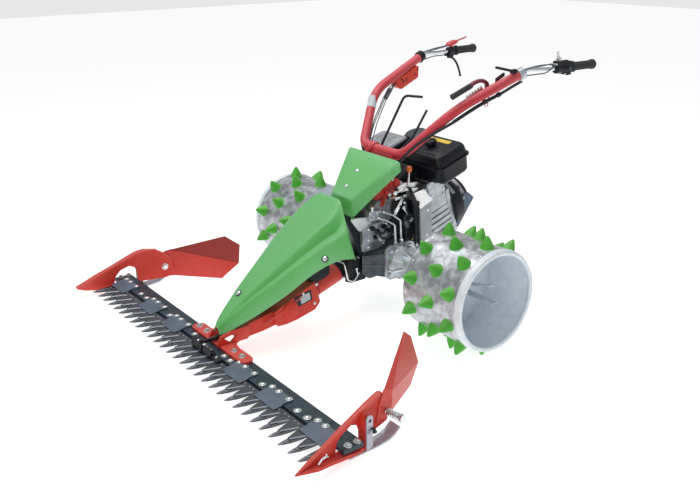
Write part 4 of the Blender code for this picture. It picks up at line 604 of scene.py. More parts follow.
def bent(points, radius, steps=6):
    """A path of straight runs with rounded corners, of one bend radius or one each."""
    points = [Vector(p) for p in points]
    radii = radius if isinstance(radius, tuple) else (radius,) * (len(points) - 2)
    path = [points[0]]
    for before, corner, after, r in zip(points, points[1:], points[2:], radii):
        back_way, ahead = (before - corner).normalized(), (after - corner).normalized()
        half = back_way.angle(ahead) / 2
        reach = min(r / tan(half), 0.48 * min((before - corner).length, (after - corner).length))
        middle = corner + (back_way + ahead).normalized() * (reach / cos(half))
        one, two = corner + back_way * reach - middle, corner + ahead * reach - middle
        angle = one.angle(two)
        for k in range(steps + 1):
            t = k / steps
            path.append(middle + (one * sin((1 - t) * angle) + two * sin(t * angle)) / sin(angle))
    path.append(points[-1])
    return path


def flowing(points, steps=6):
    """A smooth path through the points."""
    points = [Vector(p) for p in points]
    padded = [2 * points[0] - points[1], *points, 2 * points[-1] - points[-2]]
    path = []
    for a, b, c, d in zip(padded, padded[1:], padded[2:], padded[3:]):
        for k in range(steps):
            t = k / steps
            path.append(0.5 * (2 * b + (c - a) * t + (2 * a - 5 * b + 4 * c - d) * t * t
                + (3 * b - a - 3 * c + d) * t ** 3))
    path.append(points[-1])
    return path


def tube(mesh, points, radius, sides=16, finish=0, flat=1.0):
    """A round bar along a path. A list of radii gives one at each point; flat squeezes it."""
    points = [Vector(p) for p in points]
    radii = radius if isinstance(radius, (list, tuple)) else [radius] * len(points)
    side, _ = axes(points[1] - points[0])
    rings = []
    for i, point in enumerate(points):
        ahead = (points[min(i + 1, len(points) - 1)] - points[max(i - 1, 0)]).normalized()
        side = (side - ahead * side.dot(ahead)).normalized()
        up = ahead.cross(side)
        rings.append([point + (side * cos(2 * pi * k / sides)
            + up * (flat * sin(2 * pi * k / sides))) * radii[i] for k in range(sides)])
    return loft(mesh, rings, finish=finish)


def hexagon_bolt(mesh, foot, axis, radius, finish=0, washer=1.45, stud=True):
    """A washer, a chamfered hexagon and the end of a thread, seated on foot."""
    foot, axis = Vector(foot), Vector(axis).normalized()
    r = radius
    if washer:
        turned(mesh, [(r * washer, 0), (r * washer, r * 0.16), (r * washer * 0.93, r * 0.24)], foot, axis, 20,
            finish)
    side, up = axes(axis)
    rings = []
    for h, wide in ((0.2, 0.94), (0.28, 1.0), (0.82, 1.0), (0.95, 0.86)):
        corners = [side * cos(pi * k / 3) + up * sin(pi * k / 3) for k in range(6)]
        rings.append([foot + axis * (r * h) + corner * (r * wide) for corner in corners])
    loft(mesh, rings, finish=finish)
    if stud:
        turned(mesh, [(r * 0.5, r * 0.9), (r * 0.5, r * 1.12), (r * 0.4, r * 1.22)], foot, axis, 12, finish)
    return mesh


def domed_bolt(mesh, foot, axis, radius, finish=0, washer=1.5, height=0.62):
    """A washer and a round head, seated on foot."""
    r = radius
    profile = [(0, 0), (r * washer, 0), (r * washer, r * 0.14), (r * 1.02, r * 0.2), (r, r * 0.34),
        (r * 0.86, r * height * 0.8), (r * 0.5, r * height), (0, r * (height + 0.04))]
    return turned(mesh, profile, foot, axis, 20, finish)


def mirror(point, side):
    return Vector((point[0] * side, point[1], point[2]))


def smooth_curve(value, table):
    """A smooth value read between the rows of a table of (place, value) pairs."""
    for (a, one), (b, two) in zip(table, table[1:]):
        if a <= value <= b:
            t = (value - a) / (b - a)
            return one + (two - one) * (t * t * (3 - 2 * t))
    return table[0][1] if value < table[0][0] else table[-1][1]


print("mesh helpers are ready")

# %% [markdown]
# ## The drum wheels
#
# Each wheel is a sheet steel drum with thirty blunt cones welded on in three rings, so that it grips
# a steep meadow. The drum is hot-dip galvanised and the cones are painted green. Welding a cone pulls
# the sheet round it up by a few millimetres, and that soft swelling makes the zinc look mottled;
# large dark blotches in its colour add a painted reflection. A plain cylinder would miss the swelling,
# so the wall is a fine grid whose radius grows near each cone. A rolled bead and a lip stiffen the
# open side, and a row of rivets runs along each edge.

# %% Sizes of the drum
AXLE_HEIGHT = 222
DRUM_RADIUS, DRUM_WALL = 179, 5
DRUM_START, DRUM_WIDTH = 351, 279
SPIKE_HEIGHT, SPIKE_BASE, SPIKE_TIP = 43, 24.5, 5.6
SPIKE_ROWS = (36, 131, 219)
SPIKES_PER_ROW = 10
DISC_AT = 70
SWELL, SWELL_WIDTH, SWELL_FADE, SWELL_END = 4.2, 28, 12, 250


def spike_places():
    """Distance from the inner lip and angle of each cone."""
    step = 2 * pi / SPIKES_PER_ROW
    return [(inset, k * step + (0 if row % 2 else step / 2)) for row, inset in enumerate(SPIKE_ROWS)
        for k in range(SPIKES_PER_ROW)]


def drum_point(side, h, angle, radius):
    return Vector((side * (DRUM_START + h), -radius * cos(angle), AXLE_HEIGHT + radius * sin(angle)))


def wall_radius(h, angle):
    """The sheet stands proud near each cone and dips a little between them."""
    rise = 0
    for inset, turn in spike_places():
        across = (angle - turn + pi) % (2 * pi) - pi
        away = hypot(h - inset, across * DRUM_RADIUS) / SWELL_WIDTH
        if away < 3:
            rise += exp(-away * away)
    fade = min(1, h / SWELL_FADE, max(0, (SWELL_END - h) / SWELL_FADE))
    return DRUM_RADIUS - 1.2 * fade + SWELL * rise * fade


print(len(spike_places()), "cones on each drum")

# %% [markdown]
# The drum's outer wall, its lip and its lining are one closed mesh. The lining has a finish of its
# own: it is smoother and bluer than the outside, with the seam of the rolled sheet along it.

# %% Drums
AROUND = 108


def drum(side, word):
    mesh = bmesh.new()
    bead, width = DRUM_WIDTH - 26, DRUM_WIDTH
    turns = [2 * pi * k / AROUND for k in range(AROUND)]
    rows = []
    for h in [k * bead / 30 for k in range(31)]:
        rows.append([drum_point(side, h, turn, wall_radius(h, turn)) for turn in turns])
    rim = [(bead - 1, 0.4), (bead + 1, 2.2), (bead + 6, 3.4), (bead + 13, 3), (bead + 18, 0.8),
        (width - 4, 0.2), (width - 1, -2), (width, -6), (width, -11), (width - 2, -14.5), (width - 6, -15.5),
        (width - 12, -12), (width - 20, -DRUM_WALL)]
    for h, rise in rim:
        rows.append([drum_point(side, h, turn, DRUM_RADIUS + rise) for turn in turns])
    loft(mesh, rows[:31], ends=False)
    loft(mesh, rows[30:], ends=False, finish=1)
    lining = [(width - 20, 0), *[(width - 30 - k * 30, 0) for k in range(8)], (4, 0), (0, 2), (0, DRUM_WALL)]
    inner = DRUM_RADIUS - DRUM_WALL
    rows = [[drum_point(side, h, turn, inner + rise) for turn in turns] for h, rise in lining]
    loft(mesh, rows, ends=False, finish=1)
    seam = [drum_point(side, h, radians(-62), inner - 0.2) for h in (DISC_AT + 10, DRUM_WIDTH - 20)]
    tube(mesh, seam, 1.2, 6, finish=1)
    for h in (10, bead - 8):
        for k in range(SPIKES_PER_ROW):
            turn = 2 * pi * k / SPIKES_PER_ROW
            out = Vector((0, -cos(turn), sin(turn)))
            domed_bolt(mesh, drum_point(side, h, turn, DRUM_RADIUS - 1.4), out, 3.6, 2, 1.35)
    piece(f"drum_wall_{word}", mesh, f"wheel_{word}", DRUM_ZINC, [f"drum_{word}"], more=(INNER_ZINC, ZINC),
        crease=40)


def spikes(side, word):
    """Cones with a flared foot and a blunt tip."""
    mesh = bmesh.new()
    top = DRUM_RADIUS + SPIKE_HEIGHT
    foot = DRUM_RADIUS - 1
    profile = [(0, foot), (SPIKE_BASE + 1, foot), (SPIKE_BASE + 0.2, foot + 2.8),
        (SPIKE_BASE - 1.6, foot + 5.4), (SPIKE_BASE * 0.78, foot + 16.5), (SPIKE_BASE * 0.5, foot + 30),
        (SPIKE_TIP + 0.8, top - 4.6), (SPIKE_TIP - 0.4, top - 2), (SPIKE_TIP * 0.55, top - 0.5), (0, top)]
    for inset, turn in spike_places():
        out = Vector((0, -cos(turn), sin(turn)))
        centre = Vector((side * (DRUM_START + inset), 0, AXLE_HEIGHT))
        turned(mesh, profile, centre, out, 22)
    piece(f"spikes_{word}", mesh, f"wheel_{word}", SPIKE_GREEN, crease=60)


for side, word in ((1, "left"), (-1, "right")):
    drum(side, word)
    spikes(side, word)
print("drums and cones are made")

# %% [markdown]
# ## Hubs and axle cases
#
# Inside each drum a disc is welded to the wall and bolted to the wheel shaft's flange. Two flat bars
# on the nose carry the hand when the wheel is fitted. The cast axle case has a square flange with a
# bolt in each corner, a ribbed body and a neck for the shaft.

# %% Hub discs and their bars
CASE_END, FLANGE_X = 205, 118.5
HUB_RADIUS = 60


def hub(side, word):
    mesh = bmesh.new()
    start = CASE_END + 0.3
    disc = DRUM_START + DISC_AT - start
    rim = DRUM_RADIUS - DRUM_WALL - 0.3
    profile = [(0, 0), (20, 0), (20, disc - 9), (HUB_RADIUS - 1, disc - 9), (HUB_RADIUS, disc - 8),
        (HUB_RADIUS, disc), (120, disc), (126, disc + 3), (rim, disc), (rim, disc + 6), (126, disc + 9),
        (120, disc + 6), (36, disc + 6), (34, disc + 8), (34, disc + 23), (32, disc + 24), (0, disc + 24)]
    centre = Vector((side * start, 0, AXLE_HEIGHT))
    turned(mesh, profile, centre, (side, 0, 0), 72)
    for k in range(5):
        turn = 2 * pi * k / 5 + 0.3
        seat = centre + Vector((side * (disc + 6), 47 * cos(turn), 47 * sin(turn)))
        hexagon_bolt(mesh, seat, (side, 0, 0), 7.5, 1)
    piece(f"hub_disc_{word}", mesh, f"wheel_{word}", INNER_ZINC, [f"hub_{word}"], more=(ZINC,))
    bars = bmesh.new()
    root, end = start + disc + 20, DRUM_START + DRUM_WIDTH - 12
    flat = ((root, -15, -12), (root, 15, -12), (end, 11, -12), (end, -11, -12))
    raised = ((root, -11, 8), (root, 11, 8), (end - 30, 24.2, 40), (end - 30, 2.2, 40))
    for outline in (flat, raised):
        pressed(bars, [(side * x, y, AXLE_HEIGHT + z) for x, y, z in outline], (0, 0, 6))
    piece(f"hub_bars_{word}", bars, f"wheel_{word}", PALE_PLATE, edge=1.2)


def axle_case(side, word):
    mesh = bmesh.new()
    start = FLANGE_X
    centre = Vector((side * start, 0, AXLE_HEIGHT))
    reach = CASE_END - start
    profile = [(0, 10), (64, 10), (66, 16), (66, 30), (62, 36), (57, 42), (46, 50), (38, 60), (36, reach - 6),
        (34, reach), (0, reach)]
    turned(mesh, profile, centre, (side, 0, 0), 56)
    for k in range(8):
        turn = 2 * pi * k / 8 + pi / 8
        out = Vector((0, cos(turn), sin(turn)))
        across = Vector((0, -sin(turn), cos(turn))) * 3.5
        foot = centre + Vector((side * 12, 0, 0))
        shape = ((0, 60), (0, 72), (30, 67), (56, 38), (56, 30))
        web = [foot + Vector((side * x, 0, 0)) + out * r - across for x, r in shape]
        pressed(mesh, web, across * 2)
    piece(f"axle_body_{word}", mesh, "chassis", LIGHT_ALLOY, [f"axle_case_{word}"], crease=38)
    plate = bmesh.new()
    ring = []
    for first, cy, cz in ((0, 1, 1), (90, -1, 1), (180, -1, -1), (270, 1, -1)):
        for k in range(5):
            a = radians(first + 22.5 * k)
            ring.append((side * start, cy * 46 + 24 * cos(a), AXLE_HEIGHT + cz * 44 + 24 * sin(a)))
    pressed(plate, ring, (side * 14, 0, 0))
    bolts = bmesh.new()
    for cy in (-1, 1):
        for cz in (-1, 1):
            seat = Vector((side * start, cy * 48, AXLE_HEIGHT + cz * 46))
            turned(plate, [(13, 0), (12, 20)], seat, (side, 0, 0), 18)
            hexagon_bolt(bolts, seat + Vector((side * 20, 0, 0)), (side, 0, 0), 6.2, stud=False)
    piece(f"axle_flange_{word}", plate, "chassis", LIGHT_ALLOY, edge=1.8)
    turned(bolts, [(10, 0), (10, 7), (6, 9)], (side * (start + 34), 20, AXLE_HEIGHT + 62), (0, 0.3, 1), 6)
    piece(f"axle_bolts_{word}", bolts, "chassis", ZINC)


for side, word in ((1, "left"), (-1, "right")):
    hub(side, word)
    axle_case(side, word)
print("hubs and axle cases are made")

# %% [markdown]
# ## The cutter bar
#
# The bar is a flat of rolled steel. Bolts with bright heads hold the guards, and pressed clips keep
# the knife down. The clips are a lighter blue-grey than the bar, with a bent nose over the knife.
# Holes that this machine doesn't use are dark discs along the rear, painted shade in place of holes.

# %% Bar, clips and bolts
BAR_HALF, BAR_LOW, BAR_TOP = 793, 36, 50
BAR_REAR_Y, BAR_FRONT_Y = -703, -775
CLIPS = (-684, -428, -232, 228, 431, 678)
CLIP_WIDTH = 114
BAR_BOLTS = (-566, -515, -311, -111, 99, 140, 342, 540, 591)
KNIFE_LOW, KNIFE_TOP = 40.3, 43.3

mesh = bmesh.new()
block(mesh, (-BAR_HALF, BAR_FRONT_Y, BAR_LOW), (BAR_HALF, BAR_REAR_Y, BAR_TOP))
piece("bar_flat", mesh, "implement", BAR_STEEL, ["cutter_bar"], edge=1.2)

# Dark discs stand for the unused holes: painted shade.
hole_shades = bmesh.new()
for x in (-495, -418, 439, 478, 539, 660):
    turned(hole_shades, [(4.8, 0), (4.8, 0.4), (4, 0.5), (3.8, 0.2)], (x, BAR_REAR_Y - 16, BAR_TOP), UP, 16)
piece("bar_hole_shades", hole_shades, "implement", DARK_IRON, slot="bar_steel")

clips, bolts = bmesh.new(), bmesh.new()
back_y, nose_y, step_y = BAR_FRONT_Y + 39, BAR_FRONT_Y - 34, BAR_FRONT_Y - 2
for x in CLIPS:
    low, w = KNIFE_TOP + 0.6, CLIP_WIDTH / 2
    outline = [(back_y, BAR_TOP), (step_y, BAR_TOP), (step_y - 3, low), (nose_y, low), (nose_y, low + 3),
        (step_y - 2, low + 7), (step_y + 6, BAR_TOP + 5), (back_y, BAR_TOP + 5)]
    slab(clips, x - w, outline, CLIP_WIDTH)
    for off in (-50, -12, 46):
        domed_bolt(bolts, (x + off, BAR_FRONT_Y + 30.5, BAR_TOP + 5), UP, 7.8)
piece("knife_clips", clips, "implement", CLIP_STEEL, edge=1.1)

for x in BAR_BOLTS:
    domed_bolt(bolts, (x, BAR_FRONT_Y + 18, BAR_TOP), UP, 8.5)
for side in (-1, 1):
    for y in (BAR_FRONT_Y + 24, BAR_REAR_Y - 14):
        hexagon_bolt(bolts, (side * (BAR_HALF - 13), y, BAR_TOP), UP, 8.5)
piece("bar_bolts", bolts, "implement", ZINC)
print("bar with", len(CLIPS), "clips")

# %% [markdown]
# ## Fingers and knife
#
# The fingers are forged, with a ridge along the top and ground flanks, so light runs along them in
# bright lines. A bevel with its own bright finish draws those lines on every edge. The knife's
# sections are riveted to its back, one to a finger, and their ground edges are bright too.

# %% Finger guards
FINGER_PITCH, FINGER_COUNT, FINGER_LENGTH = 50.8, 30, 115.7


def finger(mesh, x, root_y, top):
    """One forged finger: rings of a ridged section that narrows to a point."""
    rows = []
    for reach, width, depth, drop, ridge in ((4, 11.3, 17.6, 0.4, 0.6), (40, 10.2, 17, 0.4, 1),
            (72, 8, 15.2, 0.6, 1.6), (96, 5, 11.8, 1.4, 1.2), (108.5, 2.7, 9, 2.6, 0.6),
            (FINGER_LENGTH, 0.8, 5.6, 4, 0)):
        y, high, low = root_y - reach, top - drop, top - depth
        flank = low * 0.35 + high * 0.65
        rows.append([(x - width * 0.62, y, low), (x + width * 0.62, y, low), (x + width, y, flank),
            (x + width * 0.8, y, high - ridge), (x, y, high), (x - width * 0.8, y, high - ridge),
            (x - width, y, flank)])
    loft(mesh, rows)


root_y, top = BAR_FRONT_Y - 0.3, BAR_LOW + 4
guards = bmesh.new()
half = FINGER_COUNT / 2 * FINGER_PITCH - 8
block(guards, (-half, root_y - 10, top - 18), (half, root_y, top))
for i in range(FINGER_COUNT):
    finger(guards, (i - (FINGER_COUNT - 1) / 2) * FINGER_PITCH, root_y, top)
piece("forged_fingers", guards, "implement", FINGER_STEEL, ["finger_guards"], edge=0.8, edge_look=GROUND_EDGE,
    rounds=1, angle=24)
print("fingers:", FINGER_COUNT)

# %% Knife sections and their rivets
SECTION_COUNT = 28
blades, rivets = bmesh.new(), bmesh.new()
back_bar, root = BAR_FRONT_Y - 6, BAR_FRONT_Y - 24
half = SECTION_COUNT * FINGER_PITCH / 2
block(blades, (-half, root, KNIFE_LOW), (half, back_bar, KNIFE_TOP))
for i in range(SECTION_COUNT):
    x = -half + (i + 0.5) * FINGER_PITCH
    w, t, tip = FINGER_PITCH / 2 - 0.6, 4.8, root - 55
    sharp = [(x - w, root, KNIFE_LOW), (x + w, root, KNIFE_LOW), (x + t, tip, KNIFE_LOW),
        (x - t, tip, KNIFE_LOW)]
    flat = [(x - w + 2.6, root, KNIFE_TOP), (x + w - 2.6, root, KNIFE_TOP), (x + t - 2, tip + 2, KNIFE_TOP),
        (x - t + 2, tip + 2, KNIFE_TOP)]
    low = [blades.verts.new(p) for p in sharp]
    high = [blades.verts.new(p) for p in flat]
    blades.faces.new(low[::-1])
    blades.faces.new(high)
    for k in range(4):
        j = (k + 1) % 4
        blades.faces.new((low[k], low[j], high[j], high[k])).material_index = 0 if k in (0, 2) else 1
    for off in (-10, 10):
        turned(rivets, [(0, 0), (2.6, 0), (2.4, 0.8), (1.4, 1.3), (0, 1.4)], (x + off, root + 9, KNIFE_TOP), UP,
            10)
piece("knife_sections", blades, "knife", KNIFE_STEEL, ["knife"], more=(GROUND_EDGE,))
piece("knife_rivets", rivets, "knife", SKID_STEEL)
print("knife sections:", SECTION_COUNT)

# %% [markdown]
# ## The knife's drive and the mounting foot
#
# A lever swings on the foot, and a ball on its end runs in a forged block on the knife. The block
# and the lever are black, with a few bright bolts. The foot is a red casting that bolts on the bar
# and carries the arm. Castings have no sharp edges, so these pieces are pressed outlines with wide
# bevels.

# %% Knife head, lever and foot
LEVER_Y = -640
HEAD_BACK, HEAD_FRONT = BAR_FRONT_Y - 6, BAR_FRONT_Y - 24
FOOT_SEAT = BAR_TOP + 0.3
FOOT_TOP = FOOT_SEAT + 10

mesh = bmesh.new()
low = KNIFE_TOP + 0.3
block(mesh, (-56, HEAD_FRONT, low), (126, HEAD_BACK, low + 12))
block(mesh, (30, HEAD_FRONT - 4, low + 8), (84, HEAD_BACK, low + 24))
for side in (-1, 1):
    cheek = [(side * 7.6, y, z) for y, z in ((HEAD_FRONT, low + 6), (HEAD_BACK, low + 6), (HEAD_BACK, low + 30),
        (HEAD_FRONT + 4, low + 28.5), (HEAD_FRONT, low + 22))]
    pressed(mesh, cheek, (side * 30, 0, 0))
for x in (48, 66, 100, 117):
    block(mesh, (x - 6, HEAD_FRONT + 2, low + 9), (x + 6, HEAD_BACK - 2, low + 13))
for x, width, rise in ((-52, 26, 36), (34, 44, 30)):
    ear = [(HEAD_FRONT - 3, low + 4), (HEAD_FRONT - 3, low + rise * 0.7), (HEAD_FRONT + 4, low + rise),
        (HEAD_BACK - 1, low + rise), (HEAD_BACK - 1, low + 4)]
    slab(mesh, x, ear, width)
nose = [(HEAD_FRONT - 6, low + 4), (HEAD_FRONT - 6, low + 26), (HEAD_FRONT + 1, low + 32),
    (HEAD_FRONT + 1, low + 4)]
slab(mesh, -20, nose, 44)
piece("knife_head_forging", mesh, "knife", DARK_IRON, ["knife_head"], edge=1.8)
bolts = bmesh.new()
middle = (HEAD_FRONT + HEAD_BACK) / 2
for x, rise in ((-47, 12), (43, 24), (71, 24), (108, 13)):
    hexagon_bolt(bolts, (x, middle, low + rise), UP, 5.5, washer=0)
for side in (-1, 1):
    domed_bolt(bolts, (side * 22, middle, low + 29), UP, 5)
piece("knife_head_bolts", bolts, "knife", ZINC)

mesh = bmesh.new()
pivot = Vector((0, LEVER_Y, FOOT_TOP + 0.3))
turned(mesh, [(14, 0), (14, 26), (11.5, 28.5)], pivot, UP, 32)
arm_low, ball_y = pivot.z + 5, middle
taper = ((-8.5, LEVER_Y), (8.5, LEVER_Y), (6, BAR_REAR_Y - 30), (3.8, ball_y), (-3.8, ball_y),
    (-6, BAR_REAR_Y - 30))
pressed(mesh, [(x, y, arm_low) for x, y in taper], (0, 0, 12))
turned(mesh, [(0, 0), (5.2, 0.8), (7, 6), (7, 14), (5.8, 17), (5.8, 29), (4.6, 30), (0, 30)],
    (0, ball_y, KNIFE_TOP + 11.2), UP, 24)
piece("knife_lever_forging", mesh, "knife_lever", DARK_IRON, ["knife_lever"], edge=1.2, angle=40)
bolts = bmesh.new()
hexagon_bolt(bolts, pivot + Vector((0, 0, 28.5)), UP, 6.6, washer=0)
piece("knife_lever_nut", bolts, "knife_lever", ZINC)

mesh = bmesh.new()
half, front, rear, tail, neck = 202, BAR_REAR_Y - 43, BAR_REAR_Y + 7, LEVER_Y + 14, 38
SHORT = 34                   # the right end is this much shorter
corner = [(half - 21 + 21 * cos(radians(a)), front + 21 - 21 * sin(radians(a))) for a in (0, 22, 45, 68, 90)]
heel = [(-half + 24 - 24 * cos(radians(a)), rear - 24 + 24 * sin(radians(a))) for a in (0, 22, 45, 68, 90)]
heel += [(-neck - 58, rear), (-neck - 30, rear + 6), (-neck - 10, rear + 18), (-neck, rear + 36), (-neck, tail)]
ring = corner + [(SHORT - x, y) for x, y in reversed(corner)]
ring += [(x + SHORT * (x < -100), y) for x, y in heel] + [(-x, y) for x, y in reversed(heel)]
w = 34
window = [(-w, BAR_REAR_Y + 1), (w, BAR_REAR_Y + 1), (w, LEVER_Y - 17), (-w, LEVER_Y - 17)]
lower = [mesh.verts.new((x, y, FOOT_SEAT)) for x, y in ring + window]
upper = [mesh.verts.new((x, y, FOOT_TOP)) for x, y in ring + window]
count = len(ring)
for level in (lower, upper):
    loops = []
    for first, total in ((0, count), (count, 4)):
        loops += [mesh.edges.new((level[first + k], level[first + (k + 1) % total])) for k in range(total)]
    bmesh.ops.triangle_fill(mesh, edges=loops, use_beauty=True)
for first, total in ((0, count), (count, 4)):
    for k in range(total):
        a, b = first + k, first + (k + 1) % total
        mesh.faces.new((lower[a], lower[b], upper[b], upper[a]))
piece("foot_casting", mesh, "implement", CAST_RED, ["mounting_foot"], edge=2.2, angle=50)
bolts = bmesh.new()
for x in (-140, -86, 107, 158):
    hexagon_bolt(bolts, (x, BAR_REAR_Y - 19, FOOT_TOP), UP, 9)
piece("foot_bolts", bolts, "implement", ZINC)
print("foot and knife drive are made")

# %% [markdown]
# ## The arm and the drive tube
#
# The arm is one red casting, forked in front over the foot and deep behind, where a bevel drive turns
# in oil. It is built again from slabs in place of the CAD solid, and a bevel modifier rounds its edges,
# which is what fettling does to a real casting; we add the cover of the bevel drive, a rib, the bolts
# and the framed blank plate on its left side. The tube on its rear end is turned smooth.

# %% Drive line and helpers for the CAD pieces that stay
LINE_RISE, PITCH = 32, radians(18)
LINE = Matrix.Translation((0, 0, AXLE_HEIGHT + LINE_RISE)) @ Matrix.Rotation(PITCH, 4, "X")
GEAR_FRONT = -120
HITCH_REAR = GEAR_FRONT / cos(PITCH) - 20
HITCH_FRONT = HITCH_REAR - 30
TUBE_END = HITCH_FRONT - 44
TUBE_START = TUBE_END - 112


def along(x, s, up=0):
    """A place given along the drive line: s behind the axle, up square to the line."""
    return LINE @ Vector((x, s, up))


def line_z(y, up=0):
    return AXLE_HEIGHT + LINE_RISE + y * tan(PITCH) + up / cos(PITCH)


def rounded_ring(x_half, y_half, z, corner, steps=5, middle=(0, 0)):
    """A rounded rectangle that lies at a height z."""
    ring = []
    for first, sx, sy in ((0, 1, 1), (90, -1, 1), (180, -1, -1), (270, 1, -1)):
        for k in range(steps + 1):
            a = radians(first + 90 * k / steps)
            ring.append((middle[0] + sx * (x_half - corner) + corner * cos(a),
                middle[1] + sy * (y_half - corner) + corner * sin(a), z))
    return ring


def soften(name, width, segments=3, angle=30):
    """Rounds the edges of a CAD piece that stays in sight."""
    step = nodes[name].modifiers.new("fettled", "BEVEL")
    step.width = width / 1000
    step.segments = segments
    step.limit_method = "ANGLE"
    step.angle_limit = radians(angle)
    step.harden_normals = True
    nodes[name].data.shade_smooth()


print("drive line pitched", round(PITCH * 180 / pi), "degrees")

# %% Arm: bevel drive cover, rib, plate and bolts
mesh = bmesh.new()
seat = FOOT_TOP + 0.3
bulge = [(-516, 78), (-507, 64.5), (-470, 62.5), (-425, 67), (-344, 85), (-330, 98), (-320, 112), (-340, 192),
    (-380, line_z(-380, 47)), (-480, line_z(-480, 40)), (-520, 121)]
slab(mesh, -48, bulge, 96)
beam = [(-626, seat), (-616, 56.5), (-560, 60), (-490, 70), (-490, 129), (-520, 121), (-612, 106), (-650, 99),
    (-640, 78)]
slab(mesh, -36, beam, 72)
hole = [(-727, 83), (-691, 90), (-679, 81), (-701, seat + 0.8)]
rim = [(-754, seat), (-738, 93), (-690, 104), (-626, 104), (-626, seat)]
for part in ((rim[0], rim[1], hole[0], hole[3]), (rim[1], rim[2], hole[1], hole[0]),
        (rim[2], rim[3], rim[4], (-690, seat), hole[3], hole[2], hole[1])):
    slab(mesh, 48, part, -9)
bmesh.ops.remove_doubles(mesh, verts=mesh.verts, dist=0.001)
walls = [face for face in mesh.faces if all(len(edge.link_faces) > 2 for edge in face.edges)]
bmesh.ops.delete(mesh, geom=walls, context="FACES_ONLY")           # the cheek's three parts become one
slab(mesh, -48, ((-740, seat), (-722, 84), (-626, 100), (-626, seat)), 9)
piece("arm_casting", mesh, "implement", CAST_RED, ["drive_arm"], edge=3.4, rounds=3)
cover, bolts = bmesh.new(), bmesh.new()
for side in (-1, 1):
    centre = (side * 47.5, -452, 112)
    turned(cover, [(34, 0), (34, 3), (30, 5.5), (12, 6.5), (10, 8.5)], centre, (side, 0, 0), 40)
    rib = [(side * 47, y, line_z(y, up)) for y, up in ((-560, 20), (-400, 30), (-400, 24), (-560, 12))]
    pressed(cover, rib, (side * 3.5, 0, 0))
    for y, up in ((-395, 34), (-335, 36), (-345, -30)):
        domed_bolt(bolts, (side * 48.2, y, line_z(y, up)), (side, 0, 0), 4.6, washer=1.3)
    for k in range(4):
        turn = radians(45 + 90 * k)
        domed_bolt(bolts, (side * 50.5, -452 + 26 * cos(turn), 112 + 26 * sin(turn)), (side, 0, 0), 3)
piece("arm_cover", cover, "implement", CAST_RED, edge=1.2)
piece("arm_bolts", bolts, "implement", ZINC)

plate = bmesh.new()
frame_x = 48.2
outer = [(-436, 157), (-361, 170), (-356, 128), (-428, 114)]
slab(plate, frame_x, outer, 1.2)
inner = [(-411, 154), (-368, 162), (-364, 132), (-405, 124)]
slab(plate, frame_x + 1, inner, 0.8, 1)
slab(plate, frame_x + 1, ((-430, 150), (-418, 152), (-413, 124), (-424, 121)), 0.8, 2)
piece("arm_plate", plate, "implement", SATIN_BLACK, edge=0.4, more=(PALE_PLATE, DARK_IRON))
print("arm, cover and plate are made")

# %% Tube and shaft
mesh = bmesh.new()
turned(mesh, [(10.5, TUBE_START), (34, TUBE_START), (36, TUBE_START + 2), (36, TUBE_END - 2.5),
    (34.5, TUBE_END), (10.5, TUBE_END), (10.5, TUBE_START)], (0, 0, 0), REAR, 56)
piece("tube_turned", mesh, "implement", RED, ["drive_tube"], frame=LINE)
mesh = bmesh.new()
turned(mesh, [(10, TUBE_START + 1), (10, HITCH_REAR - 1)], (0, 0, 0), REAR, 28)
piece("shaft_turned", mesh, "drive_shaft", CHROME, ["drive_shaft"], frame=LINE)
print("tube and shaft are made")

# %% [markdown]
# ## The coupling
#
# The bar's tube rolls in a black bush, and the bush sits in a black coupling block on the gearbox.
# A latch with a bent wire handle locks it. The wire is bright and hangs in front of the block.

# %% Bush, coupling and wire handle
mesh = bmesh.new()
start, end = TUBE_END + 0.3, HITCH_FRONT - 0.3
step = start + (end - start) * 0.35
turned(mesh, [(10.5, start), (33, start), (34, start + 1), (34, step), (39, step + 4), (39, end - 1), (38, end),
    (10.5, end), (10.5, start)], (0, 0, 0), REAR, 56)
piece("bush_turned", mesh, "chassis", SATIN_BLACK, ["swivel_socket"], frame=LINE)

mesh = bmesh.new()
turned(mesh, [(10.5, HITCH_FRONT), (44, HITCH_FRONT), (46, HITCH_FRONT + 2), (46, HITCH_REAR - 10),
    (42, HITCH_REAR), (10.5, HITCH_REAR), (10.5, HITCH_FRONT)], (0, 0, 0), REAR, 56)
piece("coupling_ring", mesh, "chassis", SATIN_BLACK, ["quick_hitch"], frame=LINE)
mesh = bmesh.new()
z = line_z(GEAR_FRONT)
block(mesh, (-40, GEAR_FRONT - 30, z - 50), (40, GEAR_FRONT - 0.3, z + 34.5))
block(mesh, (-30, GEAR_FRONT - 52, z - 58), (30, GEAR_FRONT - 20, z - 40))
for side in (-1, 1):
    slab(mesh, side * 30, ((HITCH_FRONT + 10, z - 50), (HITCH_FRONT + 34, z - 64), (GEAR_FRONT - 20, z - 48),
        (GEAR_FRONT - 20, z + 20), (HITCH_FRONT + 20, z - 10)), side * 10)
piece("coupling_block", mesh, "chassis", SATIN_BLACK, edge=3)
bolts = bmesh.new()
for side in (-1, 1):
    for zz in (z - 40, z + 22):
        hexagon_bolt(bolts, (side * 40, GEAR_FRONT - 14, zz), (side, 0, 0), 5)
piece("coupling_bolts", bolts, "chassis", ZINC)

mesh = bmesh.new()
wire = 51
half = [(45.5, -153, 200), (wire, -153, 200), (wire, -144, 174), (wire, -166, 151), (wire, -192, 164),
    (wire, -209, 233)]
points = half + [(-x, y, z) for x, y, z in reversed(half)]
tube(mesh, bent(points, 10, 6), 3.4, 14)
for side in (-1, 1):
    turned(mesh, [(5.2, 0), (5.2, 4), (4, 5.5)], (side * wire, -153, 200), (side, 0, 0), 16)
piece("latch_wire", mesh, "hitch_bail", CHROME, ["hitch_bail"])
print("coupling is made")

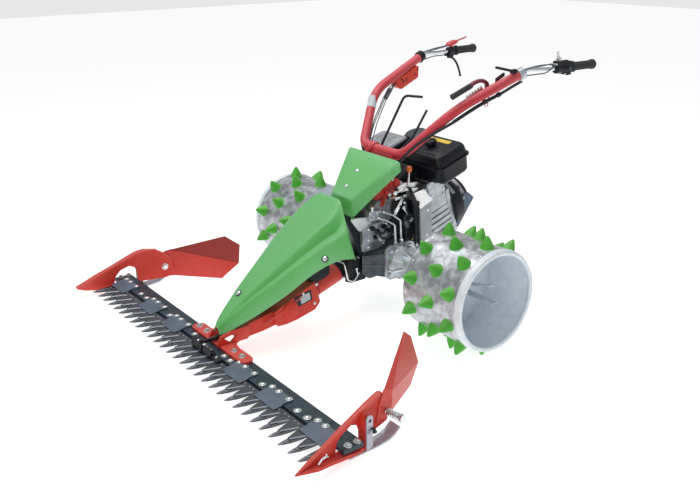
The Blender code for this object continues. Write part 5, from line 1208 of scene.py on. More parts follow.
# %% [markdown]
# ## The hood
#
# The hood over the arm is one pressed sheet: a leaf with a flat middle, a groove and a ridge on each
# side. A press can't make a sharp fold, so each fold is drawn as three points on a short curve, and
# smooth curves run through them from the tip to the rear. The sheet is 2.5 mm thick, and its skirt
# turns down. Rubber rings sit under the bolt heads.

# %% Sheets with soft folds
HOOD_STATIONS = (
    (-728, 8, 110, 14, 104, 20, 88), (-700, 17, 142, 26, 138, 42, 103),
    (-610, 38, 222, 56, 205, 94, 161), (-515, 59, 292, 86, 266, 130, 220),
    (-422, 77, 359, 115, 326, 157, 282), (-344, 90, 413, 137, 372, 186, 318),
    (-290, 98, 450, 152, 402, 205, 320))
HOOD_REAR = (Vector((65, -236, 493)), Vector((140, -262, 414)), Vector((228, -294, 324)))
SHEET = 2.5


def soft_row(points, share=0.15):
    """Replaces each inner corner of a row by three points on a short curve."""
    row = [points[0]]
    for before, corner, after in zip(points, points[1:], points[2:]):
        one, two = corner.lerp(before, share), corner.lerp(after, share)
        row += [one, one * 0.25 + corner * 0.5 + two * 0.25, two]
    return row + [points[-1]]


def sheet(mesh, rows):
    """A thin plate from a grid of rows, with its thickness below the grid."""
    last = len(rows[0]) - 1

    def normal(i, j):
        a, b = rows[min(i + 1, len(rows) - 1)][j], rows[max(i - 1, 0)][j]
        c, d = rows[i][min(j + 1, last)], rows[i][max(j - 1, 0)]
        n = (a - b).cross(c - d)
        return n.normalized() if n.length > 1e-12 else Vector((0, 0, 1))

    top = [[mesh.verts.new(p) for p in row] for row in rows]
    low = [[mesh.verts.new(p + normal(i, j) * SHEET) for j, p in enumerate(row)] for i, row in enumerate(rows)]
    for i in range(len(rows) - 1):
        for j in range(last):
            mesh.faces.new((top[i][j], top[i][j + 1], top[i + 1][j + 1], top[i + 1][j]))
            mesh.faces.new((low[i][j], low[i + 1][j], low[i + 1][j + 1], low[i][j + 1]))
        for j in (0, last):
            mesh.faces.new((top[i][j], top[i + 1][j], low[i + 1][j], low[i][j]))
    for i in (0, len(rows) - 1):
        for j in range(last):
            mesh.faces.new((top[i][j], top[i][j + 1], low[i][j + 1], low[i][j]))


def long_curves(rows, steps=5):
    """Smooth curves through the same point of every row."""
    tracks = [flowing([row[j] for row in rows], steps) for j in range(len(rows[0]))]
    return [[track[i] for track in tracks] for i in range(len(tracks[0]))]


print("sheets are", SHEET, "mm thick")

# %% Hood and its bolts
rows = []
for y, crest_x, crest_z, ridge_x, ridge_z, edge_x, edge_z in HOOD_STATIONS:
    run = ridge_x - crest_x
    valley = Vector((crest_x + run * 0.35, y, min(crest_z, ridge_z + 4) - run * 0.12))
    half = [Vector((crest_x, y, crest_z)), valley, Vector((ridge_x, y, ridge_z)), Vector((edge_x, y, edge_z))]
    rows.append(soft_row([mirror(p, -1) for p in reversed(half)] + half))
crest, middle, corner = HOOD_REAR
half = [crest, crest.lerp(middle, 0.5), middle, corner]
rows.append(soft_row([mirror(p, -1) for p in reversed(half)] + half))
mesh = bmesh.new()
sheet(mesh, long_curves(rows))
piece("hood_sheet", mesh, "implement", GREEN, ["hood"], crease=50)
mesh = bmesh.new()
under = [(row[0], row[2] - 12) for row in HOOD_STATIONS]
post = [(-560, line_z(-560, 20)), (-500, line_z(-500, 20)), (-500, smooth_curve(-500, under)),
    (-560, smooth_curve(-560, under))]
slab(mesh, -5, post, 10)
stay = [(-350, line_z(-350, 30)), (-262, line_z(-262, 30)), (-262, line_z(-262, 75)), (-350, line_z(-350, 110))]
slab(mesh, -30, stay, 60)
piece("hood_post", mesh, "implement", SATIN_BLACK, slot="red_paint", edge=1)
print("hood rows:", len(rows))

# %% [markdown]
# ## The cover over the gearbox
#
# The cover is a second sheet, folded down along its sides and its front. Its folds are wider than
# the hood's, and two round bolts with bright heads hold it. The side where the real machine has
# printed letters is left bare.

# %% Cover box and the bolts of both sheets
COVER_FRONT, COVER_REAR = Vector((61, -183, 483)), Vector((150, -28, 618))
rows = []
for t, drop in ((0, 72), (0.25, 62), (0.5, 52), (0.75, 44), (1, 36)):
    top = COVER_FRONT.lerp(COVER_REAR, t)
    edge = Vector((top.x + 4, top.y + 4, top.z - drop))
    rows.append(soft_row([mirror(edge, -1), mirror(top, -1), top, edge], 0.14))
front_fold = [p + Vector((0, -1.5, -6)) for p in rows[0]]
front_low = [Vector((p.x * 0.985, COVER_FRONT.y + 4, min(p.z, COVER_FRONT.z - 71.5))) for p in rows[0]]
mesh = bmesh.new()
sheet(mesh, rows)
sheet(mesh, [front_low, [(a + b) / 2 for a, b in zip(front_low, front_fold)], front_fold, rows[0]])
piece("cover_sheet", mesh, "chassis", GREEN, ["cover_box"], crease=60)

hood_bolts, cover_bolts, rings = bmesh.new(), bmesh.new(), bmesh.new()
HOOD_BOLTS = ((-11, -627, 206.6, 0, -0.66, 0.75), (156.3, -372.2, 324.8, 0.63, -0.52, 0.57),
    (-156.3, -372.2, 324.8, -0.63, -0.52, 0.57))
for x, y, z, *lean in HOOD_BOLTS:
    foot, axis = Vector((x, y, z)), Vector(lean)
    turned(rings, [(12.5, 0), (12.5, 2), (11, 3.2)], foot, axis, 24)
    domed_bolt(hood_bolts, foot + axis.normalized() * 3, axis, 7.8, washer=1.15)
    hexagon_bolt(hood_bolts, foot + axis.normalized() * 5.5, axis, 4.2, washer=0, stud=False)
cover_up = Vector((0, -(COVER_REAR.z - COVER_FRONT.z), COVER_REAR.y - COVER_FRONT.y)).normalized()
for x, t in ((-11.7, 0.21), (-16.8, 0.57)):
    foot = Vector((x, *(COVER_FRONT.lerp(COVER_REAR, t)).yz)) + cover_up * 0.5
    domed_bolt(cover_bolts, foot, cover_up, 6.2, washer=1.35)
    turned(cover_bolts, [(2.6, 0), (2.6, 1.8)], foot + cover_up * 3.8, cover_up, 6)
piece("hood_bolts", hood_bolts, "implement", ZINC)
piece("hood_rings", rings, "implement", RUBBER)
piece("cover_bolts", cover_bolts, "chassis", ZINC)
print("cover and bolts are made")

# %% [markdown]
# ## Shoes, skids and swath boards
#
# The shoes at the bar's ends are red castings; the boards behind them are folded sheet. The right
# shoe keeps its CAD solid. The left one is a slim forging with a web, two rails and a rib. Fixed to
# both are the square bolt that carries the board, its nut outside the spring, the silver pin in the
# window and the skid's bolt. The right board shows its inner side: its upper facets are a darker red,
# painted shade, and it has rows of pressed dimples.

# %% Shoe fittings
SHOE_TOE_IN = radians(9.6)
SHOE_TIP = Vector((795, -935, 43))
SHOE_BOLT = (366, 72)
SPRING_START, SPRING_LENGTH = 3.6, 51.5


def shoe_point(side, s, z, out=0):
    """A place on the shoe: s back from the tip, z up, out from the web's outer face."""
    x = SHOE_TIP.x - s * sin(SHOE_TOE_IN) + out * cos(SHOE_TOE_IN)
    y = SHOE_TIP.y + s * cos(SHOE_TOE_IN) + out * sin(SHOE_TOE_IN)
    return Vector((side * x, y, z))


def on_shoe(mesh, outline, low, high, side=1, finish=0):
    """Presses an outline of (back, up) pairs between two distances out from the web."""
    push = shoe_point(side, 0, 0, high) - shoe_point(side, 0, 0, low)
    pressed(mesh, [shoe_point(side, s, z, low) for s, z in outline], push, finish)


def rail(mesh, stations, inner):
    """A bar along the shoe, given as (back, top, depth, outer face)."""
    rows = []
    for s, top, depth, outer in stations:
        section = ((top, inner), (top - 1.5, outer), (top - depth, outer), (top - depth, inner))
        rows.append([shoe_point(1, s, z, out) for z, out in section])
    loft(mesh, rows)


CREST = ((0, 41.5), (50, 62), (98, 78.5), (148, 98), (188, 112), (235, 127), (271, 139), (308, 149),
    (328, 153.5), (340, 149))
mesh = bmesh.new()
web = [*CREST, (356, 132), (370, 107), (378, 80), (378, 55), (368, 40), (300, 30), (249, 28), (249, 62),
    (240, 84), (216, 94), (180, 82), (158, 66), (150, 36), (150, 25), (80, 28), (33, 36)]
on_shoe(mesh, web, -5, 0)
on_shoe(mesh, [(146, 24), (253, 24), (253, 34), (146, 34)], -4.5, 2)
RAIL = ((3, 1), (9, 4), (10, 6), (12.5, 7), (14, 8), (14, 8), (16, 10), (16, 12), (10, 12))
rail(mesh, [(s, z, depth, outer) for (s, z), (depth, outer) in zip(CREST, RAIL)], -5.2)
rail(mesh, ((0, 41.8, 2, 1), (30, 44, 9, 10), (66, 41, 11, 21), (115, 36, 11, 24), (172, 28, 13.5, 24),
    (219, 18, 11.8, 24), (262, 18, 11.8, 24)), -4.8)
loft(mesh, [[shoe_point(1, 248.5, z, -3), shoe_point(1, 248.5, z, outer), shoe_point(1, 262, z, outer),
    shoe_point(1, 262, z, -3)] for z, outer in ((8, 23.8), (98, 23.8), (130, 9))])
piece("shoe_forging_left", mesh, "implement", CAST_RED, ["shoe_left"], edge=1.8, rounds=3)

BOARD_SHEET = 3


def board(mesh, side, tongue, front, rear, shade):
    """Folded sheet: a tongue on the shoe and three facets, between front and rear corners."""
    on_shoe(mesh, tongue, 0.4, 0.4 + BOARD_SHEET, side)
    low, top, lip = (shoe_point(side, s, z, 2) for s, z in front)
    rear_low, corner, rear_high, rear_top = (
        mirror(Vector((SHOE_TIP.x - inward, SHOE_TIP.y + behind, z)), side) for inward, behind, z in rear)
    # The upper two facets take the finish shade, which on the right board is a darker red painted as shade.
    for finish, facet in ((0, (low, rear_low, corner, top)), (shade, (top, corner, rear_high, rear_top)),
            (shade, ((top + lip) / 2, top, rear_top, lip))):
        square = (facet[1] - facet[0]).cross(facet[3] - facet[0]).normalized() * BOARD_SHEET
        pressed(mesh, [p - square / 2 for p in facet], square, finish)
    return low, rear_low, corner, top


mesh = bmesh.new()
board(mesh, 1, [(318, 53), (350, 52), (384, 58), (392, 100), (384, 140), (352, 150), (332, 112)],
    ((383, 60), (388, 130), (353, 149)), ((193, 573, 24), (221, 630, 76), (251, 622, 161), (224, 568, 204)), 0)
piece("board_sheet_left", mesh, "board_left", RED, ["board_left"], edge=0.5)
mesh = bmesh.new()
low, rear_low, corner, top = board(
    mesh, -1, [(318, 40), (352, 26), (406, 20), (406, 141), (372, 137), (330, 105)],
    ((404, 21), (404, 136), (374, 136)),
    ((200, 556, 10), (221, 630, 68), (251, 622, 161), (224, 568, 204)), 1)
for k in range(6):
    back = 0.14 + 0.16 * (k // 3)
    spot = low.lerp(rear_low, back).lerp(top.lerp(corner, back), 0.24 + 0.24 * (k % 3))
    domed_bolt(mesh, spot, (1, 0.3, 0), 3.6, 0, 1.2, 0.0034)
piece("board_sheet_right", mesh, "board_right", RED, ["board_right"], edge=0.5, more=(SHADE_RED,))

soften("shoe_right", 4)
for side, word in ((1, "left"), (-1, "right")):
    soften(f"skid_{word}", 1, 2)
    axis = (shoe_point(side, 0, 0, 1) - shoe_point(side, 0, 0, 0)).normalized()
    fittings = bmesh.new()
    inner = shoe_point(side, *SHOE_BOLT, -9.2)
    turned(fittings, [(14.5, 0), (13.5, 2.2)], inner, -axis, 24)
    turned(fittings, [(12.5, 2), (12.5, 7.8), (10.8, 9.2)], inner, -axis, 4)
    far = SPRING_START + SPRING_LENGTH + 0.3
    turned(fittings, [(5.7, 0), (5.7, far)], shoe_point(side, *SHOE_BOLT, 0.2), axis, 16)
    turned(fittings, [(14, -0.2), (14, 2), (12.2, 2.4), (12.2, 8.8), (10.5, 9.6)],
        shoe_point(side, *SHOE_BOLT, far), axis, 6)
    pin = shoe_point(side, 72, 45, 12)
    tube(fittings, bent([pin, pin + Vector((0, 12, 12)), pin + Vector((side * 4, 24, 18))], 6, 4), 3.2, 12)
    turned(fittings, [(0, 0), (6, 0), (6, 3), (0, 4)], pin + Vector((side * 4, 24, 18)), (0, 1, 0.4), 16)
    piece(f"shoe_bolts_{word}", fittings, "implement", ZINC)
    skid_bolt = bmesh.new()
    seat = shoe_point(side, 273, 63, 28.5)
    turned(skid_bolt, [(10.5, 0), (10.5, 2.2), (8.5, 3), (8.5, 8), (7.8, 9.5)], seat, axis, 6)
    turned(skid_bolt, [(4.5, 0), (4.5, 14), (3.8, 15)], seat, axis, 14)
    piece(f"skid_bolt_{word}", skid_bolt, "implement", DARK_IRON)
    # A black disc stands for the skid's slot: painted shade in the opening.
    slot = bmesh.new()
    turned(slot, [(5.2, 0), (5.2, 0.6)], shoe_point(side, 263, 98, 28.6), axis, 18)
    piece(f"skid_slot_shade_{word}", slot, "implement", SATIN_BLACK, slot="dark_casting")
print("shoe fittings are made")

# %% [markdown]
# ## The gearbox
#
# A dark cast case carries the two axles. Its sides reach out to the axle flanges as ribbed horns, and
# a lighter upper case with the pump sits on it. The pump's unions are black, and two bright pipes run
# from its valve block down to the left axle case.

# %% Cases and horns
UPPER_X, UPPER_FRONT = 62, -88
GEAR_TOP, UPPER_TOP = 78, 230
mesh = bmesh.new()
core = [(-120, 170), (-94, 146), (30, 146), (60, 160), (62, 298), (-120, 298)]
slab(mesh, -58, core, 116)
for side in (-1, 1):
    low = [(56, -131, 173), (118, -58, 161), (118, 60, 156), (56, 64, 154)]
    high = [(56, -131, 248), (118, -58, 256), (118, 60, 268), (56, 64, 296)]
    loft(mesh, [[(side * x, y, z) for x, y, z in row] for row in (low, high)])
    ridge = [(56, -112, 252), (100, -50, 266), (94, 30, 290), (56, 40, 297), (56, -40, 290)]
    pressed(mesh, [(side * x, y, z - 14) for x, y, z in ridge], (0, 0, 14))
    pressed(mesh, [(side * x, y, z) for x, y, z in ((60, -133.5, 206), (118.5, -61, 204), (118.5, -40, 204),
        (60, -110, 206))], (0, 0, 7))
piece("gear_case", mesh, "chassis", GEAR_GREY, ["gearbox_housing"], edge=4.2, rounds=3)

mesh = bmesh.new()
low, high = AXLE_HEIGHT + GEAR_TOP + 0.3, AXLE_HEIGHT + UPPER_TOP


def face_y(z):
    """Where the engine's front face is at a height."""
    return (80 - (z - AXLE_HEIGHT - LINE_RISE) * sin(PITCH)) / cos(PITCH)


outline = [(UPPER_FRONT, low), (face_y(low), low), (face_y(high), high), (UPPER_FRONT + 30, high),
    (UPPER_FRONT, high - 26)]
slab(mesh, -UPPER_X, outline, 2 * UPPER_X)
for side in (-1, 1):
    for y, z0, z1 in ((-50, 310, 400), (-15, 305, 440), (30, 305, 420)):
        pressed(mesh, [(side * 60, y, z0), (side * 66.5, y, z0 + 6), (side * 66.5, y, z1 - 6),
            (side * 60, y, z1)], (0, 5, 0))
    slab(mesh, side * 60, ((-86, 300), (60, 300), (58, 309), (-86, 309)), side * 8)
piece("upper_case", mesh, "chassis", DULL_ALLOY, ["gearbox_top"], edge=3.2, rounds=3)
print("gear case and horns are made")

# %% Pump, valve block and unions
pump, unions, bright = bmesh.new(), bmesh.new(), bmesh.new()
body = [(-136, 300), (-104, 300), (-20, 300), (-20, 350), (-40, 372), (-98, 372), (-140, 350)]
slab(pump, 53.5, body, 21.5)
slab(pump, 53.5, ((-134, 268), (-26, 256), (-20, 299), (-136, 299)), 13.5)
turned(pump, [(21, 0), (21, 12), (16, 16)], (72, -46, 312), LEFT, 32)
block(pump, (53.5, -112, 384), (79, -64, 424))
turned(pump, [(11, 0), (11, 16), (8, 19)], (66, -88, 423.5), UP, 24)
piece("pump_body", pump, "chassis", LIGHT_ALLOY, edge=2.4, rounds=3)
plate = bmesh.new()
slab(plate, 54.5, ((-146, 351), (-88, 356), (-93, 397), (-178, 408), (-182, 398)), 10)
piece("front_bracket", plate, "chassis", WHITE_PLATE, edge=1.8)
for x, y, z, axis, r in ((75, -98, 358, (1, 0, 0), 10), (75, -72, 340, (1, -0.3, 0), 11.5),
        (75, -44, 352, (1, 0, 0.4), 10.5), (75, -22, 335, (1, 0.2, 0), 9.5), (70, -84, 322, (1, 0, -0.3), 8.5),
        (64, -8, 362, (1, 0, 0), 11)):
    turned(unions, [(r * 0.8, -6), (r * 0.8, 4), (r, 4.5), (r, 10.5), (r * 0.85, 11.5), (r * 0.62, 11.8),
        (r * 0.62, 19), (r * 0.5, 20)], (x, y, z), axis, 6)
    turned(unions, [(r * 0.74, 12), (r * 0.74, 17)], (x, y, z), axis, 20)
piece("pump_unions", unions, "chassis", BLACK, edge=0.6)
hoses = bmesh.new()
tube(hoses, bent([(92, -72, 340), (100, -74, 322), (98, -40, 306), (94, -12, 318), (92, -20, 336)], 12, 5), 4.2,
    12)
tube(hoses, bent([(92, -98, 358), (104, -92, 346), (100, -56, 332), (93, -46, 350)], 10, 5), 3.6, 12)
tube(hoses, bent([(74, -8, 362), (86, 12, 366), (84, 36, 350), (82, 48, 300)], 14, 5), 4.2, 12)
piece("pump_hoses", hoses, "chassis", CABLE_BLACK)
for x, y, z in ((79, -104, 415), (79, -75, 415), (79, -104, 393), (79, -74, 392)):
    hexagon_bolt(bright, (x, y, z), LEFT, 4.6, washer=1.3)
for y, z in ((-110, 312), (-28, 310), (-28, 360), (-110, 354)):
    hexagon_bolt(bright, (74.5, y, z), LEFT, 4.2)
for y, z in ((-104, 280), (-32, 280)):
    hexagon_bolt(bright, (66.8, y, z), LEFT, 4.5)
hexagon_bolt(bright, (60, -132, 396.5), UP, 4.5)
turned(bright, [(8.5, 0), (8.5, 6), (6, 8), (6, 16), (7.5, 16.5), (7.5, 22.5)], (75, -96, 423.5),
    (0.3, -0.2, 1), 6)
for side in (-1, 1):
    for y, z in ((-76, 305), (-30, 304.5), (20, 304.5)):
        hexagon_bolt(bright, (side * 67.8, y, z), (side, 0, 0), 4.2, stud=False)
piece("gearbox_bolts", bright, "chassis", ZINC)

pipes = bmesh.new()
for x_end, y0, y1, y2, z0, z1, z2, foot in ((114, -68, -28, 10, 421, 404, 376, 290),
        (117, -96, -60, -20, 405, 390, 364, 284)):
    path = [(78, y0, z0), (x_end - 8, y0 + 4, z0), (x_end, y1, z1), (x_end, y2, z2), (x_end, y2 + 6, foot)]
    tube(pipes, bent(path, (8, 14, 12), 6), 4, 14)
    turned(pipes, [(7.2, 0), (7.2, 8), (6, 10)], (78, y0, z0), LEFT, 6)
    turned(pipes, [(7.8, -6), (7.8, 4), (6.6, 12)], (x_end, y2 + 6, foot), UP, 6)
piece("pipes", pipes, "chassis", CHROME, ["hydraulic_pipes"])
soften("front_plate", 3)
print("gearbox and pump are made")

# %% [markdown]
# ## The red bracket, its levers and the linkage
#
# The casting over the gearbox carries the handlebar. It keeps its CAD outline with fettled edges. On
# its left side sit the bright rods of the linkage, an orange plug, a short red lever and the lever
# with the orange knob, all crowded together as on the real machine.

# %% Bracket fittings
soften("handlebar_bracket", 4)
red, rods, dark = bmesh.new(), bmesh.new(), bmesh.new()
for y, z in ((-30, 478), (5, 505)):
    pressed(red, [(48, y - 4, z - 22), (56, y, z - 20), (56, y + 12, z + 20), (48, y + 8, z + 22)], (0, 8, 0))
turned(red, [(15, 0), (15, 10), (12, 13)], (49.5, 40, 505), LEFT, 28)
lever = [(58, -20, 470), (70, -36, 462), (74, -50, 436), (66, -54, 432), (60, -40, 452)]
pressed(red, lever, (10, 4, 0))
turned(red, [(10, 0), (10, 14), (7, 16)], (49.5, -12, 478), LEFT, 24)
piece("bracket_lugs", red, "chassis", CAST_RED, edge=1.6)
turned(dark, [(0, 0), (8, 0), (9, 4), (9, 12), (6, 15), (0, 16)], (59, 19, 453), (1, 0, 0.2), 8)
piece("orange_plug", dark, "chassis", ORANGE, edge=0.8)
for a, b, w in (((92, 48, 461), (92, 0, 400), 7.5), ((96, 44, 436), (96, 86, 362), 4.5),
        ((100, 36, 418), (100, 75, 358), 3.2), ((88, 54, 456), (88, 8, 456), 4.5),
        ((98, 82, 446), (98, 106, 372), 5)):
    a, b = Vector(a), Vector(b)
    across = (b - a).cross(Vector((1, 0, 0))).normalized() * w
    pressed(rods, [a - across, a + across, b + across, b - across], (3, 0, 0))
    for end in (a, b):
        hexagon_bolt(rods, end + Vector((3, 0, 0)), LEFT, 4.8)
tube(rods, bent([(74, -10, 458), (80, 20, 456), (80, 60, 450)], 12, 4), 2.8, 10)
for x, y, z, r in ((62.5, 0, 466, 7), (52.5, 62, 500, 5.5), (52.5, 20, 520, 5), (64, 40, 432, 6),
        (64, 46, 400, 5)):
    hexagon_bolt(rods, (x, y, z), LEFT, r)
piece("linkage", rods, "chassis", ZINC, edge=0.5)
hidden = bmesh.new()
block(hidden, (58, 10, 310), (72, 100, 440))
block(hidden, (58, 52, 250), (98, 92, 330))
turned(hidden, [(14, 0), (14, 30), (10, 34)], (70, 52, 372), LEFT, 24)
turned(hidden, [(9, 0), (9, 26)], (70, 78, 335), LEFT, 18)
piece("linkage_housing", hidden, "chassis", DARK_IRON, edge=3)
yellow = bmesh.new()
turned(yellow, [(4.8, 0), (4.8, 6), (3, 8)], (92, 88, 278), (1, 0, 0.3), 14)
piece("yellow_tag", yellow, "chassis", YELLOW)

mesh, knob = bmesh.new(), bmesh.new()
pivot = Vector((50.3, 6, 477))
turned(mesh, [(9, 0), (9, 38), (7, 41)], pivot, LEFT, 24)
path = bent([pivot + Vector((36, 0, 0)), pivot + Vector((44, 30, 8)), pivot + Vector((49, 54, 26)),
    pivot + Vector((49, 58, 78))], 16, 5)
tube(mesh, path, [5.6] * (len(path) - 1) + [4.2], 14, flat=0.7)
piece("knob_lever", mesh, "pto_lever", ZINC, ["pto_lever"])
turned(knob, [(0, -1), (5.2, -1), (9, 5), (11.2, 12), (10.4, 18.5), (6.6, 23.2), (0, 24.4)],
    pivot + Vector((49, 58, 74)), UP, 28)
piece("orange_knob", knob, "pto_lever", ORANGE, crease=60)
mesh = bmesh.new()
for x in (-45.5, 36.5):
    slab(mesh, x, ((-196, 154), (-170, 144), (-104, 144), (-98, 152), (-100, 238), (-184, 238), (-198, 205)), 9)
piece("hitch_cheeks", mesh, "chassis", SATIN_BLACK, slot="dark_casting", edge=3, rounds=3)
print("bracket, linkage and levers are made")

# %% [markdown]
# ## The engine
#
# The engine sits behind the gearbox on the same inclined line. Its crank housing is die-cast: a flat
# side with long grooves between two flanges, and a block on top. A pale folded guard stands upright at
# its corner, and a black strap and hose run down in front of it; a black sheet over the guard's front
# face is painted shade.

# %% Crank housing
SIDE, CORE_X = 90, -116
mesh = bmesh.new()
block(mesh, (CORE_X, 80.5, -92), (SIDE, 324, 92))
block(mesh, (CORE_X - 4, 80.2, -96), (SIDE + 7, 96, 98))
block(mesh, (CORE_X - 4, 306, -96), (SIDE + 3, 324.8, 98))
block(mesh, (4, 226, 88), (SIDE, 310, 166))
slab(mesh, 14, ((140, 88), (228, 88), (228, 152), (206, 160)), SIDE - 20)
block(mesh, (CORE_X + 20, 100, -97.5), (SIDE - 20, 290, -88))
for k in range(4):
    up = 12 - 24 * k
    block(mesh, (SIDE - 2, 102, up - 5), (SIDE + 6, 305, up + 5))
slab(mesh, SIDE - 2, ((102, 34), (305, 34), (305, 40.5), (190, 40.5), (102, 56)), 5)
turned(mesh, [(34, 0), (34, 6), (28, 9), (26, 6)], (SIDE - 1, 180, -60), LEFT, 40)
piece("crank_housing", mesh, "chassis", LIGHT_ALLOY, ["crankcase"], edge=3.6, rounds=3, frame=LINE)

mesh, bolts = bmesh.new(), bmesh.new()
block(mesh, (-30, 260, 98), (3, 312, 174.5))
block(mesh, (-50, 248, 166), (122, 328, 174.5))
slab(mesh, -38, ((128, 99), (222, 99), (228, 236), (214, 244), (150, 214)), 66)
slab(mesh, 30, ((150, 100), (232, 164), (232, 174), (205, 176), (150, 130)), 60)
piece("tank_stand", mesh, "chassis", SATIN_BLACK, edge=4, rounds=3, frame=LINE)
for s, up in ((110, 88), (110, -84), (200, 90.5), (296, 88), (296, -84), (190, -86)):
    hexagon_bolt(bolts, (SIDE + 0.5, s, up), LEFT, 4.6)
for s, up in ((236, 110), (300, 110), (300, 156), (238, 154)):
    hexagon_bolt(bolts, (SIDE, s, up), LEFT, 4, stud=False)
for k in range(3):
    a = radians(90 + 120 * k)
    hexagon_bolt(bolts, (SIDE + 5, 180 + 29 * cos(a), -60 + 29 * sin(a)), LEFT, 3.2, stud=False)
piece("engine_bolts", bolts, "chassis", ZINC, frame=LINE)
print("crank housing is made")

# %% The upright guard, the strap and the mounting plate
mesh = bmesh.new()
loft(mesh, [[(90, 96, 262), (140, 96, 262), (140, 152, 281), (90, 152, 281)],
    [(90, 88, 454.5), (140, 88, 410.5), (140, 146, 434.5), (90, 148, 465)]])
piece("guard_folded", mesh, "chassis", GUARD_GREY, ["guard_box"], edge=2.2, rounds=3)
mesh = bmesh.new()
lid = [(89, 86.5, 456), (141.2, 86.5, 411), (141.2, 147.5, 436), (89, 149.5, 466.5)]
loft(mesh, [lid, [(x, y, z + 1.6) for x, y, z in lid]])
piece("guard_lid", mesh, "chassis", GLOWING_LID, edge=0.6)
mesh = bmesh.new()
strap = [(50, 472), (64, 474), (85, 434), (95.5, 300), (108, 268), (96, 258), (76, 290), (66, 420)]
slab(mesh, 126, strap, 4)
# A black sheet over the guard's front face: painted shade.
slab(mesh, 86, ((84, 300), (91.5, 300), (91.5, 440), (84, 440)), 46)
piece("guard_strap_and_shade_sheet", mesh, "chassis", SATIN_BLACK, edge=1.2)
mesh = bmesh.new()
for start, sweep in ((0, 0), (10, 6)):
    tube(mesh, flowing([(109 + start, 46, 499), (113 + start, 56, 486), (119 + start, 78, 410),
        (118 + start, 84 - sweep, 330), (112 + start, 86 - sweep, 258)], 6), 4, 14)
piece("hoses_down", mesh, "chassis", CABLE_BLACK)
mesh = bmesh.new()
plate = [(30, 490.5), (66, 502), (130, 495), (176, 478), (182, 460), (140, 464), (70, 468), (52, 466)]
slab(mesh, 58, plate, 12)
slab(mesh, 50, ((92, 430), (170, 430), (170, 470), (92, 480)), 30)
piece("mount_plate", mesh, "chassis", BRIGHT_PLATE, edge=1.6)
mesh = bmesh.new()
for y, z in ((90, 486), (150, 474)):
    hexagon_bolt(mesh, (70, y, z), LEFT, 4.8)
for z in (300, 400):
    hexagon_bolt(mesh, (140, 124, z), LEFT, 4.2, stud=False)
piece("guard_bolts", mesh, "chassis", ZINC)
print("crank housing and guard are made")

# %% [markdown]
# ## Fan, starter and rear guard
#
# Behind the housing sits the fan in its black shroud, and behind that the dished cover of the recoil
# starter with its ring of air slots. A bent plate under them keeps cut grass away. Two pale arcs on the
# upper side of the shroud and the starter are painted highlights.

# %% Shroud, starter and plate
FAN_START = 325.3
mesh = bmesh.new()
shroud = ((0, 0), (109, 0), (112, 3), (112, 40), (108, 50), (98, 59.5), (88.5, 60.5), (88, 64), (87, 90),
    (82, 99.5), (74, 106), (66, 109.5), (34, 110), (31, 106), (14, 105.5), (12, 108.5), (0, 109.5))
turned(mesh, [(r, FAN_START + s) for r, s in shroud], (0, 0, 0), REAR, 72)
for k in range(20):
    a = radians(18 * k + 6)
    radial, across = Vector((cos(a), 0, sin(a))), Vector((-sin(a), 0, cos(a)))
    low, high = radial * 42 + Vector((0, FAN_START + 109, 0)), radial * 64 + Vector((0, FAN_START + 109, 0))
    pressed(mesh, [low - across * 1.5, low + across * 1.5, high + across * 1.5, high - across * 1.5],
        (0, 2.2, 0))
for k in range(3):
    a = radians(40 + 120 * k)
    x, z = 98 * cos(a), 98 * sin(a)
    block(mesh, (x - 7, FAN_START + 46, z - 7), (x + 7, FAN_START + 64, z + 7))
piece("fan_and_starter", mesh, "chassis", SATIN_BLACK, ["fan_shroud"], crease=26, frame=LINE)
# Two pale arcs on the upper side of the shroud and the starter: painted highlights.
mesh = bmesh.new()
for low, high, r0, r1, s0, s1 in ((20, 78, 88.6, 89.6, 392.5, 408), (34, 84, 112.1, 113.1, 336, 352)):
    rows = []
    for k in range(19):
        a = radians(low + (high - low) * k / 18)
        rows.append([(r * cos(a), s, r * sin(a)) for r, s in ((r0, s0), (r1, s0), (r1, s1), (r0, s1))])
    loft(mesh, rows)
piece("starter_painted_highlights", mesh, "chassis", DULL_ALLOY, slot="zinc", frame=LINE, crease=30)
mesh = bmesh.new()
for k in range(3):
    a = radians(40 + 120 * k)
    hexagon_bolt(mesh, (98 * cos(a), FAN_START + 64, 98 * sin(a)), REAR, 4, stud=False)
piece("shroud_bolts", mesh, "chassis", ZINC, frame=LINE)
mesh = bmesh.new()
cheek = [(366, 408), (392, 410), (426, 382), (343, 273), (318, 296), (336, 350)]
slab(mesh, 88.5, cheek, 3)
slope = [(426, 382), (343, 273), (322, 262), (300, 256), (300, 259), (320, 265), (340, 276), (423, 385)]
slab(mesh, -50, slope, 138.5)
piece("rear_cheek", mesh, "chassis", BLUED_PLATE, ["rear_guard"], edge=1)
mesh = bmesh.new()
slab(mesh, 91.7, ((341, 350), (354, 392), (372, 394), (357, 342)), 1.2)
piece("cheek_plate", mesh, "chassis", PALE_PLATE, edge=0.4)
print("fan, starter and rear guard are made")

# %% [markdown]
# ## Tank, muffler and filter
#
# The tank is blown in two halves that meet at a flange, and its top has a raised field. Every bare
# plate stands where the real machine carries a label. The muffler hides under a pale pressed cover
# with a comb of black louvres along its edge; the filter behind it is a low dome.

